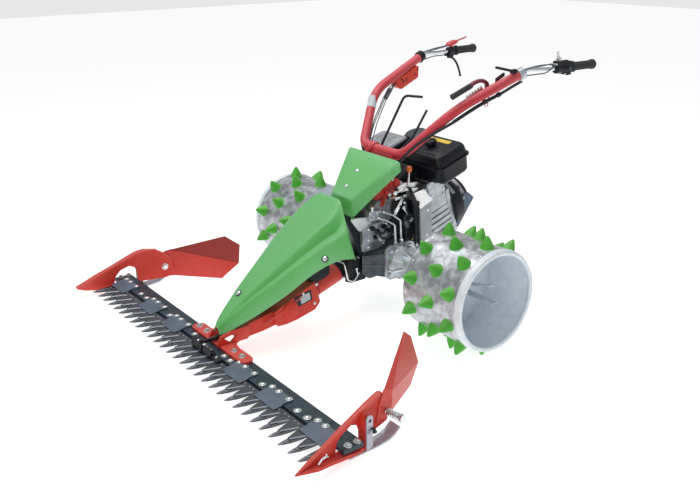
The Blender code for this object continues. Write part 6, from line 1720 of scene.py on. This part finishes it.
# %% Fuel tank and cap
TANK_X0, TANK_X1, TANK_S0, TANK_S1, TANK_UP = -40, 176, 238, 394, 290
TANK_LOW, TANK_SEAM, CORNER = TANK_UP - 123, TANK_UP - 48.3, 25
mesh = bmesh.new()
rings = []
for up, grow in ((TANK_LOW, -22), (TANK_LOW + 4, -12), (TANK_LOW + 14, -5), (TANK_SEAM - 6, 0),
        (TANK_SEAM - 3.2, 1), (TANK_SEAM - 3, 7), (TANK_SEAM - 0.4, 7.6), (TANK_SEAM - 0.2, 6.6),
        (TANK_SEAM + 0.2, 6.6), (TANK_SEAM + 0.4, 7.6), (TANK_SEAM + 3, 7), (TANK_SEAM + 3.2, 1),
        (TANK_UP - 20, -1), (TANK_UP - 10, -3.5), (TANK_UP - 4.5, -8), (TANK_UP - 1.8, -14),
        (TANK_UP - 1.8, -17), (TANK_UP, -20)):
    middle = ((TANK_X0 + TANK_X1) / 2, (TANK_S0 + TANK_S1) / 2)
    corner = CORNER * (1 if grow > -12 else 0.8)
    rings.append(rounded_ring((TANK_X1 - TANK_X0) / 2 + grow, (TANK_S1 - TANK_S0) / 2 + grow, up, corner, 8,
        middle))
loft(mesh, rings)
piece("tank_shell", mesh, "chassis", BLACK, ["fuel_tank"], frame=LINE, crease=24)
mesh = bmesh.new()
block(mesh, (0, 345, TANK_UP - 0.5), (124, 366.5, TANK_UP + 1.2))
piece("tank_plate", mesh, "chassis", YELLOW, edge=0.6, frame=LINE)
mesh = bmesh.new()
turned(mesh, [(20, TANK_UP - 1), (31, TANK_UP - 1), (30, TANK_UP + 2.2), (27.2, TANK_UP + 3),
    (20, TANK_UP + 0.1), (20, TANK_UP - 1)], (68, 308, 0), UP, 48)
piece("filler_ring", mesh, "chassis", BLACK, frame=LINE, crease=24)
mesh = bmesh.new()
cap = [(0, 0.6), (14, 0.6), (14, 10), (21.5, 10.4), (22.4, 12), (22.4, 22), (20.5, 25), (16, 27.2), (12, 26.8),
    (10, 27.5), (0, 28)]
turned(mesh, [(r, TANK_UP + s) for r, s in cap], (68, 308, 0), UP, 48)
for k in range(8):
    a = radians(45 * k)
    radial, across = Vector((cos(a), sin(a), 0)), Vector((-sin(a), cos(a), 0))
    centre = Vector((68, 308, TANK_UP + 11.2)) + radial * 21.5
    pressed(mesh, [centre - across * 5.5, centre + across * 5.5, centre + radial * 2.5 + across * 3.5,
        centre + radial * 2.5 - across * 3.5], (0, 0, 12.8))
piece("cap_ribbed", mesh, "fuel_cap", BLACK, ["fuel_cap"], edge=0.8, frame=LINE)
print("tank and cap are made")

# %% Muffler cover and filter
mesh, comb = bmesh.new(), bmesh.new()
COVER_X0, COVER_X1, COVER_S0, COVER_S1, COVER_LOW = -255, -86.5, 205, 335, 168.3
middle = ((COVER_X0 + COVER_X1) / 2, (COVER_S0 + COVER_S1) / 2)
rings = []
for up, grow in ((COVER_LOW, 0), (TANK_UP - 15, 0), (TANK_UP - 7.5, -1.6), (TANK_UP - 2.5, -6),
        (TANK_UP - 1, -11), (TANK_UP - 1, -18), (TANK_UP, -20)):
    rings.append(rounded_ring((COVER_X1 - COVER_X0) / 2 + grow, (COVER_S1 - COVER_S0) / 2 + grow, up, 16, 6,
        middle))
loft(mesh, rings)
for x in (-222, -190, -158, -126):
    block(mesh, (x - 5, 228, TANK_UP - 2), (x + 5, 312, TANK_UP + 1.2))
piece("muffler_cover", mesh, "chassis", GUARD_GREY, ["muffler_guard"], slot="cast_aluminium", edge=1.2,
    frame=LINE, crease=26)
for k in range(17):
    s = 208.5 + 122.5 * k / 16
    hook = ((-12, 0.6), (4, -5), (6.2, -18), (4, -50), (-4, -50), (-16, -6))
    pressed(comb, [(COVER_X1 + x, s, TANK_UP + up) for x, up in hook], (0, 3.6, 0))
for k in range(20):
    x = COVER_X0 + 10 + 150 * k / 19
    hook = ((12, 0.4), (-3, -6), (-5.2, -18), (-3, -50), (4, -50), (16, -7))
    pressed(comb, [(x, COVER_S0 + s, TANK_UP + up) for s, up in hook], (3.8, 0, 0))
block(comb, (COVER_X0 + 6, COVER_S0 - 0.8, COVER_LOW + 4), (COVER_X1 - 6, COVER_S0 + 2, TANK_UP - 13))
block(comb, (COVER_X1 - 2, 206, COVER_LOW + 4), (COVER_X1 + 1.2, 334, TANK_UP - 13))
piece("muffler_comb", comb, "chassis", SATIN_BLACK, slot="dark_casting", edge=0.8, frame=LINE)
mesh = bmesh.new()
dome = [(0, 125.5), (36, 125.5), (44, 176), (50, 200), (52, 252), (50, 261), (44, 268), (32, 272.5),
    (16, 274.5), (12, 274.7), (11, 278.5), (5, 280), (0, 280.1)]
turned(mesh, dome, (-124.5, 395, 0), UP, 56)
block(mesh, (-140.5, 325.6, 127.5), (-108.5, 395, 161))
block(mesh, (-160, 336, 242), (-89, 395, 266))
for k in range(12):
    a = radians(30 * k)
    block(mesh, (-124.5 + 47.5 * cos(a) - 1.4, 395 + 47.5 * sin(a) - 1.4, 205),
        (-124.5 + 47.5 * cos(a) + 1.4, 395 + 47.5 * sin(a) + 1.4, 256))
piece("filter_dome", mesh, "chassis", GEAR_GREY, ["air_filter"], frame=LINE, crease=26)
print("tank, muffler cover and filter are made")

# %% [markdown]
# ## The handlebar loop
#
# One bent tube carries everything that the operator holds. Its cross piece lies in a saddle on the
# swivel, and its arms rise to the rear. On the left arm sit a notched quadrant, its long hand lever
# and a small black lever; on the right arm hangs the red switch box. Plain bands stand where the real
# tube has stickers.

# %% The loop, the quadrant and the ears
CORNER_AT, BEND_AT, END_AT = Vector((113, 13, 626)), Vector((237, 168, 799)), Vector((284, 449, 905))
LOOP_RADIUS, COLLAR_RADIUS = 18, 22.8
ARM = (END_AT - BEND_AT).normalized()


def arm_at(y, side=1):
    """The middle of an upper tube at a place y."""
    return mirror(BEND_AT + ARM * ((y - BEND_AT.y) / ARM.y), side)


half = [END_AT, BEND_AT, CORNER_AT]
path = bent(half + [mirror(p, -1) for p in reversed(half)], (250, 60, 60, 250), 10)
mesh = bmesh.new()
tube(mesh, path, LOOP_RADIUS, 28)
piece("loop_tube", mesh, "handlebar", TUBE_RED, ["handlebar_loop"], crease=40)

QUADRANT_X, TEETH = 240.5, 6
mesh, bolts = bmesh.new(), bmesh.new()
start, end = 204, 286
outline = [(start - 4, arm_at(start).z)]
for k in range(TEETH):
    y0 = start + (end - start) * k / TEETH
    width = (end - start) / TEETH
    outline += [(y0 + 0.6, arm_at(y0).z + 22.5), (y0 + width * 0.14, arm_at(y0).z + 29.5),
        (y0 + width * 0.56, arm_at(y0 + width * 0.5).z + 30), (y0 + width * 0.7, arm_at(y0 + width).z + 22.5)]
outline += [(end, arm_at(end).z + 22.5), (end + 6, arm_at(end).z)]
slab(mesh, QUADRANT_X, outline, 4)
turned(mesh, [(9.5, 0), (9.5, 20), (7.5, 22.5)], arm_at(324) - Vector((arm_at(324).x - QUADRANT_X - 0.2, 0, 0)),
    LEFT, 28)
piece("quadrant", mesh, "handlebar", BRIGHT_PLATE, edge=0.6)
mesh = bmesh.new()
ear = arm_at(410)
block(mesh, ear - Vector((4, 12, -10)), ear + Vector((4, 12, 32.5)))
for side in (1, -1):
    seat = arm_at(300, side)
    turned(mesh, [(6, 0), (6, 6)], seat - Vector((0, 0, LOOP_RADIUS + 4)), UP, 16)
bracket = bmesh.new()
lifts = ((356, 6), (402, 6), (402, 20), (394, 22), (356, 20))
pressed(bracket, [(QUADRANT_X - 2, y, arm_at(y).z + lift) for y, lift in lifts], (6, 0, 0))
piece("stop_bracket", bracket, "handlebar", DARK_IRON, slot="zinc", edge=1)
piece("loop_ears", mesh, "handlebar", TUBE_RED, edge=1.2)
band = bmesh.new()
low, high = mirror(CORNER_AT, -1), mirror(BEND_AT, -1)
rise = high - low
turned(band, [(LOOP_RADIUS - 1, 0), (LOOP_RADIUS + 0.3, 0), (LOOP_RADIUS + 0.3, 54), (LOOP_RADIUS - 1, 54),
    (LOOP_RADIUS - 1, 0)], low + rise * 0.665, rise, 40)
piece("loop_band", band, "handlebar", PALE_PLATE, crease=40)
y, z, bore = 13, 626, LOOP_RADIUS + 0.6
mesh = bmesh.new()
block(mesh, (-35, y - 20, z - 58), (35, y + 20, z - 22))
trough = [(y - 21, z - 4), (y - 21, z - 25.5), (y + 21, z - 25.5), (y + 21, z - 4)]
trough += [(y + bore * cos(radians(a)), z + bore * sin(radians(a))) for a in range(-12, -169, -12)]
slab(mesh, -78, trough, 156)
turned(mesh, [(bore, 0), (22.2, 0), (23.6, 2), (23.6, 42), (22.2, 44), (bore, 44), (bore, 0)], (-78, y, z),
    LEFT, 40)
turned(mesh, [(16.5, -3), (16.5, 3), (15, 4.5), (11, 4.5), (10, 3)], (-56, y - 23.6, z), (0, -1, 0.12), 32)
piece("swivel_saddle", mesh, "handlebar_swivel", TUBE_RED, ["handlebar_swivel"], edge=1.2)
print("loop is made")

# %% Hand lever and locking lever
mesh, rubber = bmesh.new(), bmesh.new()
hand = arm_at(324)
x0 = QUADRANT_X - 0.3
turned(mesh, [(10, 0), (10, 12), (8, 15.5)], (x0, hand.y, hand.z), (-1, 0, 0), 28)
middle = x0 - 11.5
arch = ((2, 4), (-4, 18), (-30, 28.5), (-62, 25.5), (-90, 15))
arc = flowing([(middle, hand.y + y, hand.z + z) for y, z in arch], 6)
tube(mesh, arc, 10, 16, flat=0.75)
piece("hand_arch", mesh, "hand_lever", DEEP_RED, ["hand_lever"], crease=40)
root, tip = Vector((middle, hand.y - 80, hand.z + 16.5)), Vector((middle, hand.y - 178, hand.z - 16))
reach = (tip - root).length
profile = [(0, -1), (9, 0), (10.5, 3)]
for k in range(14):
    s = 6 + (reach - 14) * k / 14
    profile += [(10.5, s), (9.3, s + 1.2), (9.3, s + 3.2), (10.5, s + 4.4)]
profile += [(11, reach - 6), (11, reach - 2), (8, reach), (0, reach + 0.6)]
turned(rubber, profile, root, tip - root, 24)
piece("hand_grip", rubber, "hand_lever", RUBBER, crease=30)
mesh = bmesh.new()
lock = ear + Vector((4.3, 0, 24))
pressed(mesh, [lock + Vector((0, y, z)) for y, z in ((-24, -4), (-4, -5), (3, 1), (5, 7), (0, 11),
    (-22, 10.5))], (11, 0, 0))
turned(mesh, [(7, 0), (7, 3), (5, 4)], lock + Vector((11, -2, 2)), LEFT, 18)
start, end = lock + Vector((5.5, -16, 4.5)), lock + Vector((5.5, -107, 26.2))
reach = (end - start).length
turned(mesh, [(0, 0), (5.6, 0), (5, 20), (5, reach - 6), (4.2, reach - 2), (2.4, reach), (0, reach + 0.3)],
    start, end - start, 20)
piece("lock_lever", mesh, "locking_lever", SATIN_BLACK, ["locking_lever"], edge=1)
print("hand and locking levers are made")

# %% [markdown]
# ## Handles, grips and controls
#
# Each bright handle is clamped in a collar at the end of the loop. The grips are ribbed rubber with
# a flange. On the left sits the black switch and throttle unit, on the right the clutch perch with
# its curved lever and the red stop lever on top. Control cables run along the handles to the loop.

# %% Handles, collars and grips
TURN_AT, TIP_AT = Vector((312, 575, 911)), Vector((326, 816, 911))
HANDLE_RADIUS, GRIP_RADIUS, GRIP_REACH = 8.2, 16.5, 122
TOTAL = (TIP_AT - TURN_AT).length


def handle_space(side):
    """The straight end of a handle: Y along it to the rear, Z up."""
    start, end = mirror(TURN_AT, side), mirror(TIP_AT, side)
    swing = -side * asin(abs(end.x - start.x) / (end - start).length)
    return Matrix.Translation(start) @ Matrix.Rotation(swing, 4, "Z")


for side, word in ((1, "left"), (-1, "right")):
    ahead = mirror(ARM, side)
    end = mirror(END_AT, side)
    mesh, collar, bolts = bmesh.new(), bmesh.new(), bmesh.new()
    stop = mirror(TIP_AT + (TURN_AT - TIP_AT).normalized() * 6, side)
    tube(mesh, bent([end + ahead * 2, end + ahead * 30, mirror(TURN_AT, side), stop], 40, 10), HANDLE_RADIUS,
        24)
    piece(f"handle_tube_{word}", mesh, "handlebar", CHROME, [f"handle_{word}"], crease=40)
    slide = ahead * (0 if side > 0 else 12)
    turned(collar, [(17.2, -18), (COLLAR_RADIUS - 2, -18), (COLLAR_RADIUS, -16), (COLLAR_RADIUS, 6),
        (COLLAR_RADIUS - 4, 9.5), (HANDLE_RADIUS, 10), (HANDLE_RADIUS, 1), (17.2, 1), (17.2, -18)], end + slide,
        ahead, 36)
    lug = end + slide + Vector((0, 0, -22.5))
    block(collar, lug + Vector((-7, -12, -5)), lug + Vector((7, 4, 4)))
    look, slot = (LIGHT_ALLOY, "bright_steel") if side > 0 else (SATIN_BLACK, "black_plastic")
    piece(f"collar_{word}", collar, "handlebar", look, slot=slot, edge=0.8)
    hexagon_bolt(bolts, lug + Vector((7.2, -4, -0.5)), LEFT, 3.6, stud=False)
    piece(f"collar_bolt_{word}", bolts, "handlebar", ZINC)
    first = TOTAL - GRIP_REACH
    grip = bmesh.new()
    profile = [(HANDLE_RADIUS, first), (GRIP_RADIUS + 4.2, first), (GRIP_RADIUS + 5, first + 1.5),
        (GRIP_RADIUS + 5, first + 5), (GRIP_RADIUS + 1, first + 8.5)]
    for k in range(17):
        s = first + 12 + 90 * k / 17
        profile += [(GRIP_RADIUS, s), (GRIP_RADIUS - 1.2, s + 1), (GRIP_RADIUS - 1.2, s + 2.8),
            (GRIP_RADIUS, s + 3.8)]
    profile += [(GRIP_RADIUS + 0.4, TOTAL - 16), (GRIP_RADIUS + 2.8, TOTAL - 12),
        (GRIP_RADIUS + 3.2, TOTAL - 4), (GRIP_RADIUS + 2, TOTAL - 0.6), (GRIP_RADIUS - 4, TOTAL), (6, TOTAL),
        (5, TOTAL - 1.5), (0, TOTAL - 1.5), (0, TOTAL - 4), (HANDLE_RADIUS, TOTAL - 4.5),
        (HANDLE_RADIUS, first)]
    turned(grip, profile, (0, 0, 0), REAR, 36)
    piece(f"grip_ribbed_{word}", grip, "handlebar", RUBBER, [f"grip_{word}"], frame=handle_space(side),
        crease=30)
print("handles and grips are made")

# %% The left unit
mesh = bmesh.new()
turned(mesh, [(HANDLE_RADIUS, 28), (17.5, 28), (19.5, 31), (19.5, 58), (21.5, 61), (21.5, 104), (19.5, 108),
    (HANDLE_RADIUS, 108), (HANDLE_RADIUS, 28)], (0, 0, 0), REAR, 36)
slab(mesh, -16, ((26, 8), (60, 8), (64, 24), (50, 28.5), (32, 26.5)), 32)
slab(mesh, -17, ((62, -10), (106, -10), (102, -26.5), (82, -28), (66, -24)), 34)
slab(mesh, -14, ((66, 14), (104, 14), (100, 25.5), (72, 26.5)), 28)
turned(mesh, [(10, 0), (10, 4), (8, 5.5)], (19.5, 82, 0), LEFT, 24)
piece("switch_unit", mesh, "handlebar", SATIN_BLACK, ["control_unit"], edge=1.6, rounds=3,
    frame=handle_space(1))
mesh = bmesh.new()
block(mesh, (-4, 78, 26.2), (6, 92, 29))
turned(mesh, [(4.8, 0), (4.8, 3.5), (3.8, 4.5)], (25, 82, 0), LEFT, 18)
piece("switch_keys", mesh, "handlebar", GEAR_GREY, slot="black_plastic", edge=0.8, frame=handle_space(1))
mesh = bmesh.new()
for x in (-10, 0, 10):
    turned(mesh, [(3.4, 0), (3.4, 6), (2.4, 7), (2.4, 14)], (x, 30, 15.5), (0, -1, 0.15), 14)
for y, z in ((66, -20), (100, -18)):
    hexagon_bolt(mesh, (17.2, y, z), LEFT, 2.6, washer=1.2, stud=False)
piece("unit_fittings", mesh, "handlebar", ZINC, frame=handle_space(1))
mesh = bmesh.new()
y, z = 46, 36.3
turned(mesh, [(6, -10), (6, 10)], (0, y, z), LEFT, 24)
blade = [(y - 6, z - 2), (y + 5.5, z + 1), (y - 1, z + 14), (y - 5, z + 31), (y - 9, z + 33.5),
    (y - 13.5, z + 29), (y - 10, z + 12)]
slab(mesh, -2.8, blade, 5.6)
piece("throttle_blade", mesh, "throttle_lever", ZINC, ["throttle_lever"], edge=1, frame=handle_space(1))
print("left unit is made")

# %% The right perch and its levers
mesh = bmesh.new()
turned(mesh, [(HANDLE_RADIUS, 72), (16.8, 72), (17.8, 73.5), (17.8, 102.5), (16.8, 104), (HANDLE_RADIUS, 104),
    (HANDLE_RADIUS, 72)], (0, 0, 0), REAR, 32)
block(mesh, (-12.5, 74, -18.2), (12.5, 102, -8))
for x in (-12.5, 8.5):
    slab(mesh, x, ((76, -14), (98, -14), (94, -31), (80, -31)), 4)
turned(mesh, [(4.2, 0), (4.2, 10), (5.5, 10.5), (5.5, 19), (3.8, 21)], (0, 73, -13), (0, -1, -0.1), 16)
piece("clutch_perch", mesh, "handlebar", SATIN_BLACK, edge=1, frame=handle_space(-1))
mesh = bmesh.new()
y, z = 86, -25.3
turned(mesh, [(7, -8.2), (7, 8.2)], (0, y, z), LEFT, 24)
path = flowing([(0, y, z), (0, y + 22, z - 10), (0, y + 44, z - 31), (0, y + 60, z - 58), (0, y + 70, z - 84),
    (0, y + 73, z - 92)], 6)
count = len(path)
tube(mesh, path, [6.2 - 1.8 * k / count for k in range(count)], 16, flat=0.8)
turned(mesh, [(0, -5.5), (3.6, -4.5), (5.5, 0), (3.6, 4.5), (0, 5.5)], (0, y + 72, z - 88.5), LEFT, 20)
piece("clutch_blade", mesh, "clutch_lever", SATIN_BLACK, ["clutch_lever"], frame=handle_space(-1), crease=40)
mesh = bmesh.new()
y, z = 78, 18.3
hub = Vector((0, y + 6, z + 6))
turned(mesh, [(6, -13), (6, 13)], hub, LEFT, 24)
slab(mesh, -12, ((y - 12, z + 7), (y + 4, z + 2), (y + 38, z + 13), (y + 48, z + 22), (y + 36, z + 27.5),
    (y + 4, z + 21.5), (y - 10, z + 14)), 24)
tube(mesh, [(0, y + 30, z + 19), (0, y + 70, z + 26.2), (0, y + 112, z + 35.2)], [4, 3.6, 3.2], 14)
piece("stop_blade", mesh, "stop_lever", TUBE_RED, ["stop_lever"], edge=1.4, frame=handle_space(-1))
print("perch, clutch and stop levers are made")

# %% The switch box under the right arm
y0, y1, drop = 322, 420, LOOP_RADIUS + 0.6
x0 = -arm_at(379).x - 20
mesh, slots = bmesh.new(), bmesh.new()
z0, z1 = arm_at(y0).z - drop, arm_at(y1).z - drop
slab(mesh, x0, ((y0 - 26, arm_at(y0 - 26).z - drop), (y1, z1), (y1 - 1, z1 - 46), (y1 - 10, z1 - 51.5),
    (y0 + 4, z0 - 51.5), (y0 - 18, z0 - 40)), 40)
piece("switch_box", mesh, "handlebar", BOX_RED, ["control_box"], edge=2.6, rounds=3)
face = x0 + 40
for y, long in ((336, 8), (352, 8), (398, 6)):
    z = arm_at(y).z - drop - 24
    pressed(slots, [(face, y - 2.4, z - long), (face, y + 2.4, z - long), (face, y + 2.4, z + long),
        (face, y - 2.4, z + long)], (0.6, 0, 0))
for y in (325, 414):
    z = arm_at(y).z - drop - 12
    turned(slots, [(0, 0), (4, 0), (3.6, 1.6), (0, 2)], (face, y, z), LEFT, 18)
piece("box_slots", slots, "handlebar", SATIN_BLACK, edge=0.3)
print("switch box is made")

# %% Control cables
left, sleeve, thin = bmesh.new(), bmesh.new(), bmesh.new()
route = [(286, 452, 878), (277, 400, 857), (270, 348, 836), (262, 285, 815), (256, 215, 789), (238, 150, 754),
    (206, 85, 716), (166, 36, 672), (131, 4, 622), (112, -6, 585), (92, -8, 548)]
for k, (dx, dz) in enumerate(((0, 0), (-5.2, -1), (-2.2, -5))):
    tube(left, flowing([(x + dx, y + 2 * k, z + dz) for x, y, z in route], 6), 2.7, 10)
tube(sleeve, flowing([(x - 2.4, y + 1, z - 2) for x, y, z in route[2:6]], 6), 6.6, 16)
for at in (route[2], route[3]):
    turned(sleeve, [(8.2, -6), (9, -4), (9, 6), (8, 8)], Vector(at) - Vector((2.4, 0, 2)), ARM, 20)
piece("cables_left", left, "handlebar", CABLE_BLACK, ["cable_left"], crease=40)
piece("cable_sleeve", sleeve, "handlebar", CABLE_BLACK, crease=40)
clip = bmesh.new()
ring = [Vector(route[3]) + Vector((4, 8.5 * cos(2 * pi * k / 20) + 2, -8.5 + 8.5 * sin(2 * pi * k / 20)))
    for k in range(21)]
tube(clip, ring, 1.6, 8)
piece("clip_ring", clip, "handlebar", TUBE_RED, crease=50)
far = [(-268, 318, 812), (-266, 296, 812), (-258, 262, 800), (-240, 222, 772), (-215, 178, 738),
    (-180, 118, 692), (-144, 70, 642), (-124, 42, 600), (-110, 26, 560)]
for k, (dx, dy, dz) in enumerate(((0, 0, 0), (14, 8, -2), (6, -4, -14))):
    bow = [0, 0.3, 1, 0.9, 0.9, 1, 0.8, 0.4, 0]
    tube(thin, flowing([(x + dx * b, y + dy * b, z + dz * b) for (x, y, z), b in zip(far, bow)], 6), 2.2, 10)
tube(thin, flowing([(x + 7, y + 2, z - 7) for x, y, z in far[2:4]], 6), 9, 16)
piece("cables_right", thin, "handlebar", CABLE_GREY, ["cable_right"], crease=40)
mesh = bmesh.new()
for dx, lift, low in ((-12, 16, 10), (4, 22, 4), (12, -6, -12)):
    ends = [Vector((286 + dx * 0.5, 452, 900 + lift * 0.8)), Vector((298 + dx, 500, 905 + lift)),
        Vector((308 + dx, 545, 908 + lift)), handle_space(1) @ Vector((dx * 0.8, 16, 15 + low * 0.2))]
    tube(mesh, flowing(ends, 6), 2.4, 10)
for dx, lift, stop in ((4, 20, (4, 70, 24)), (-4, 24, (-6, 66, 24)), (0, -18, (0, 52, -14.5))):
    ends = [Vector((-288 + dx, 462, 903 + lift * 0.7)), Vector((-300 + dx, 510, 907 + lift * 0.75)),
        Vector((-309 + dx, 556, 911 + lift * 0.75)), handle_space(-1) @ Vector(stop)]
    tube(mesh, flowing(ends, 6), 2.4, 10)
piece("handle_cables", mesh, "handlebar", CABLE_GREY, crease=40)
print("cables are made")

# %% Selector rods
for name in ("tall", "short"):
    soften(f"shift_rod_{name}", 0.4)
print("rods are softened")

# %% [markdown]
# ## Finish and check
#
# Every CAD piece that still shows gets its material here. Then we write the bounds of what is
# visible beside the bounds of the CAD, and finish.

# %% Materials of the pieces that stay
KEPT = {"front_plate": SATIN_BLACK, "handlebar_bracket": CAST_RED, "shift_rod": SATIN_BLACK,
    "cylinder": DARK_IRON, "shoe_right": CAST_RED, "skid": SKID_STEEL, "board_spring": ZINC}
for name, node in nodes.items():
    if not node.hide_render:
        node.data.materials.clear()
        node.data.materials.append(next((look for word, look in KEPT.items() if name.startswith(word)),
            DULL_ALLOY))
bpy.context.view_layer.update()
low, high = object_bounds()
print("CAD pieces in sight:", [name for name, node in nodes.items() if not node.hide_render])
print("past the CAD box, mm:", [round((a - b) * 1000, 1) for a, b in zip(cad_low, low)],
    [round((a - b) * 1000, 1) for a, b in zip(high, cad_high)])
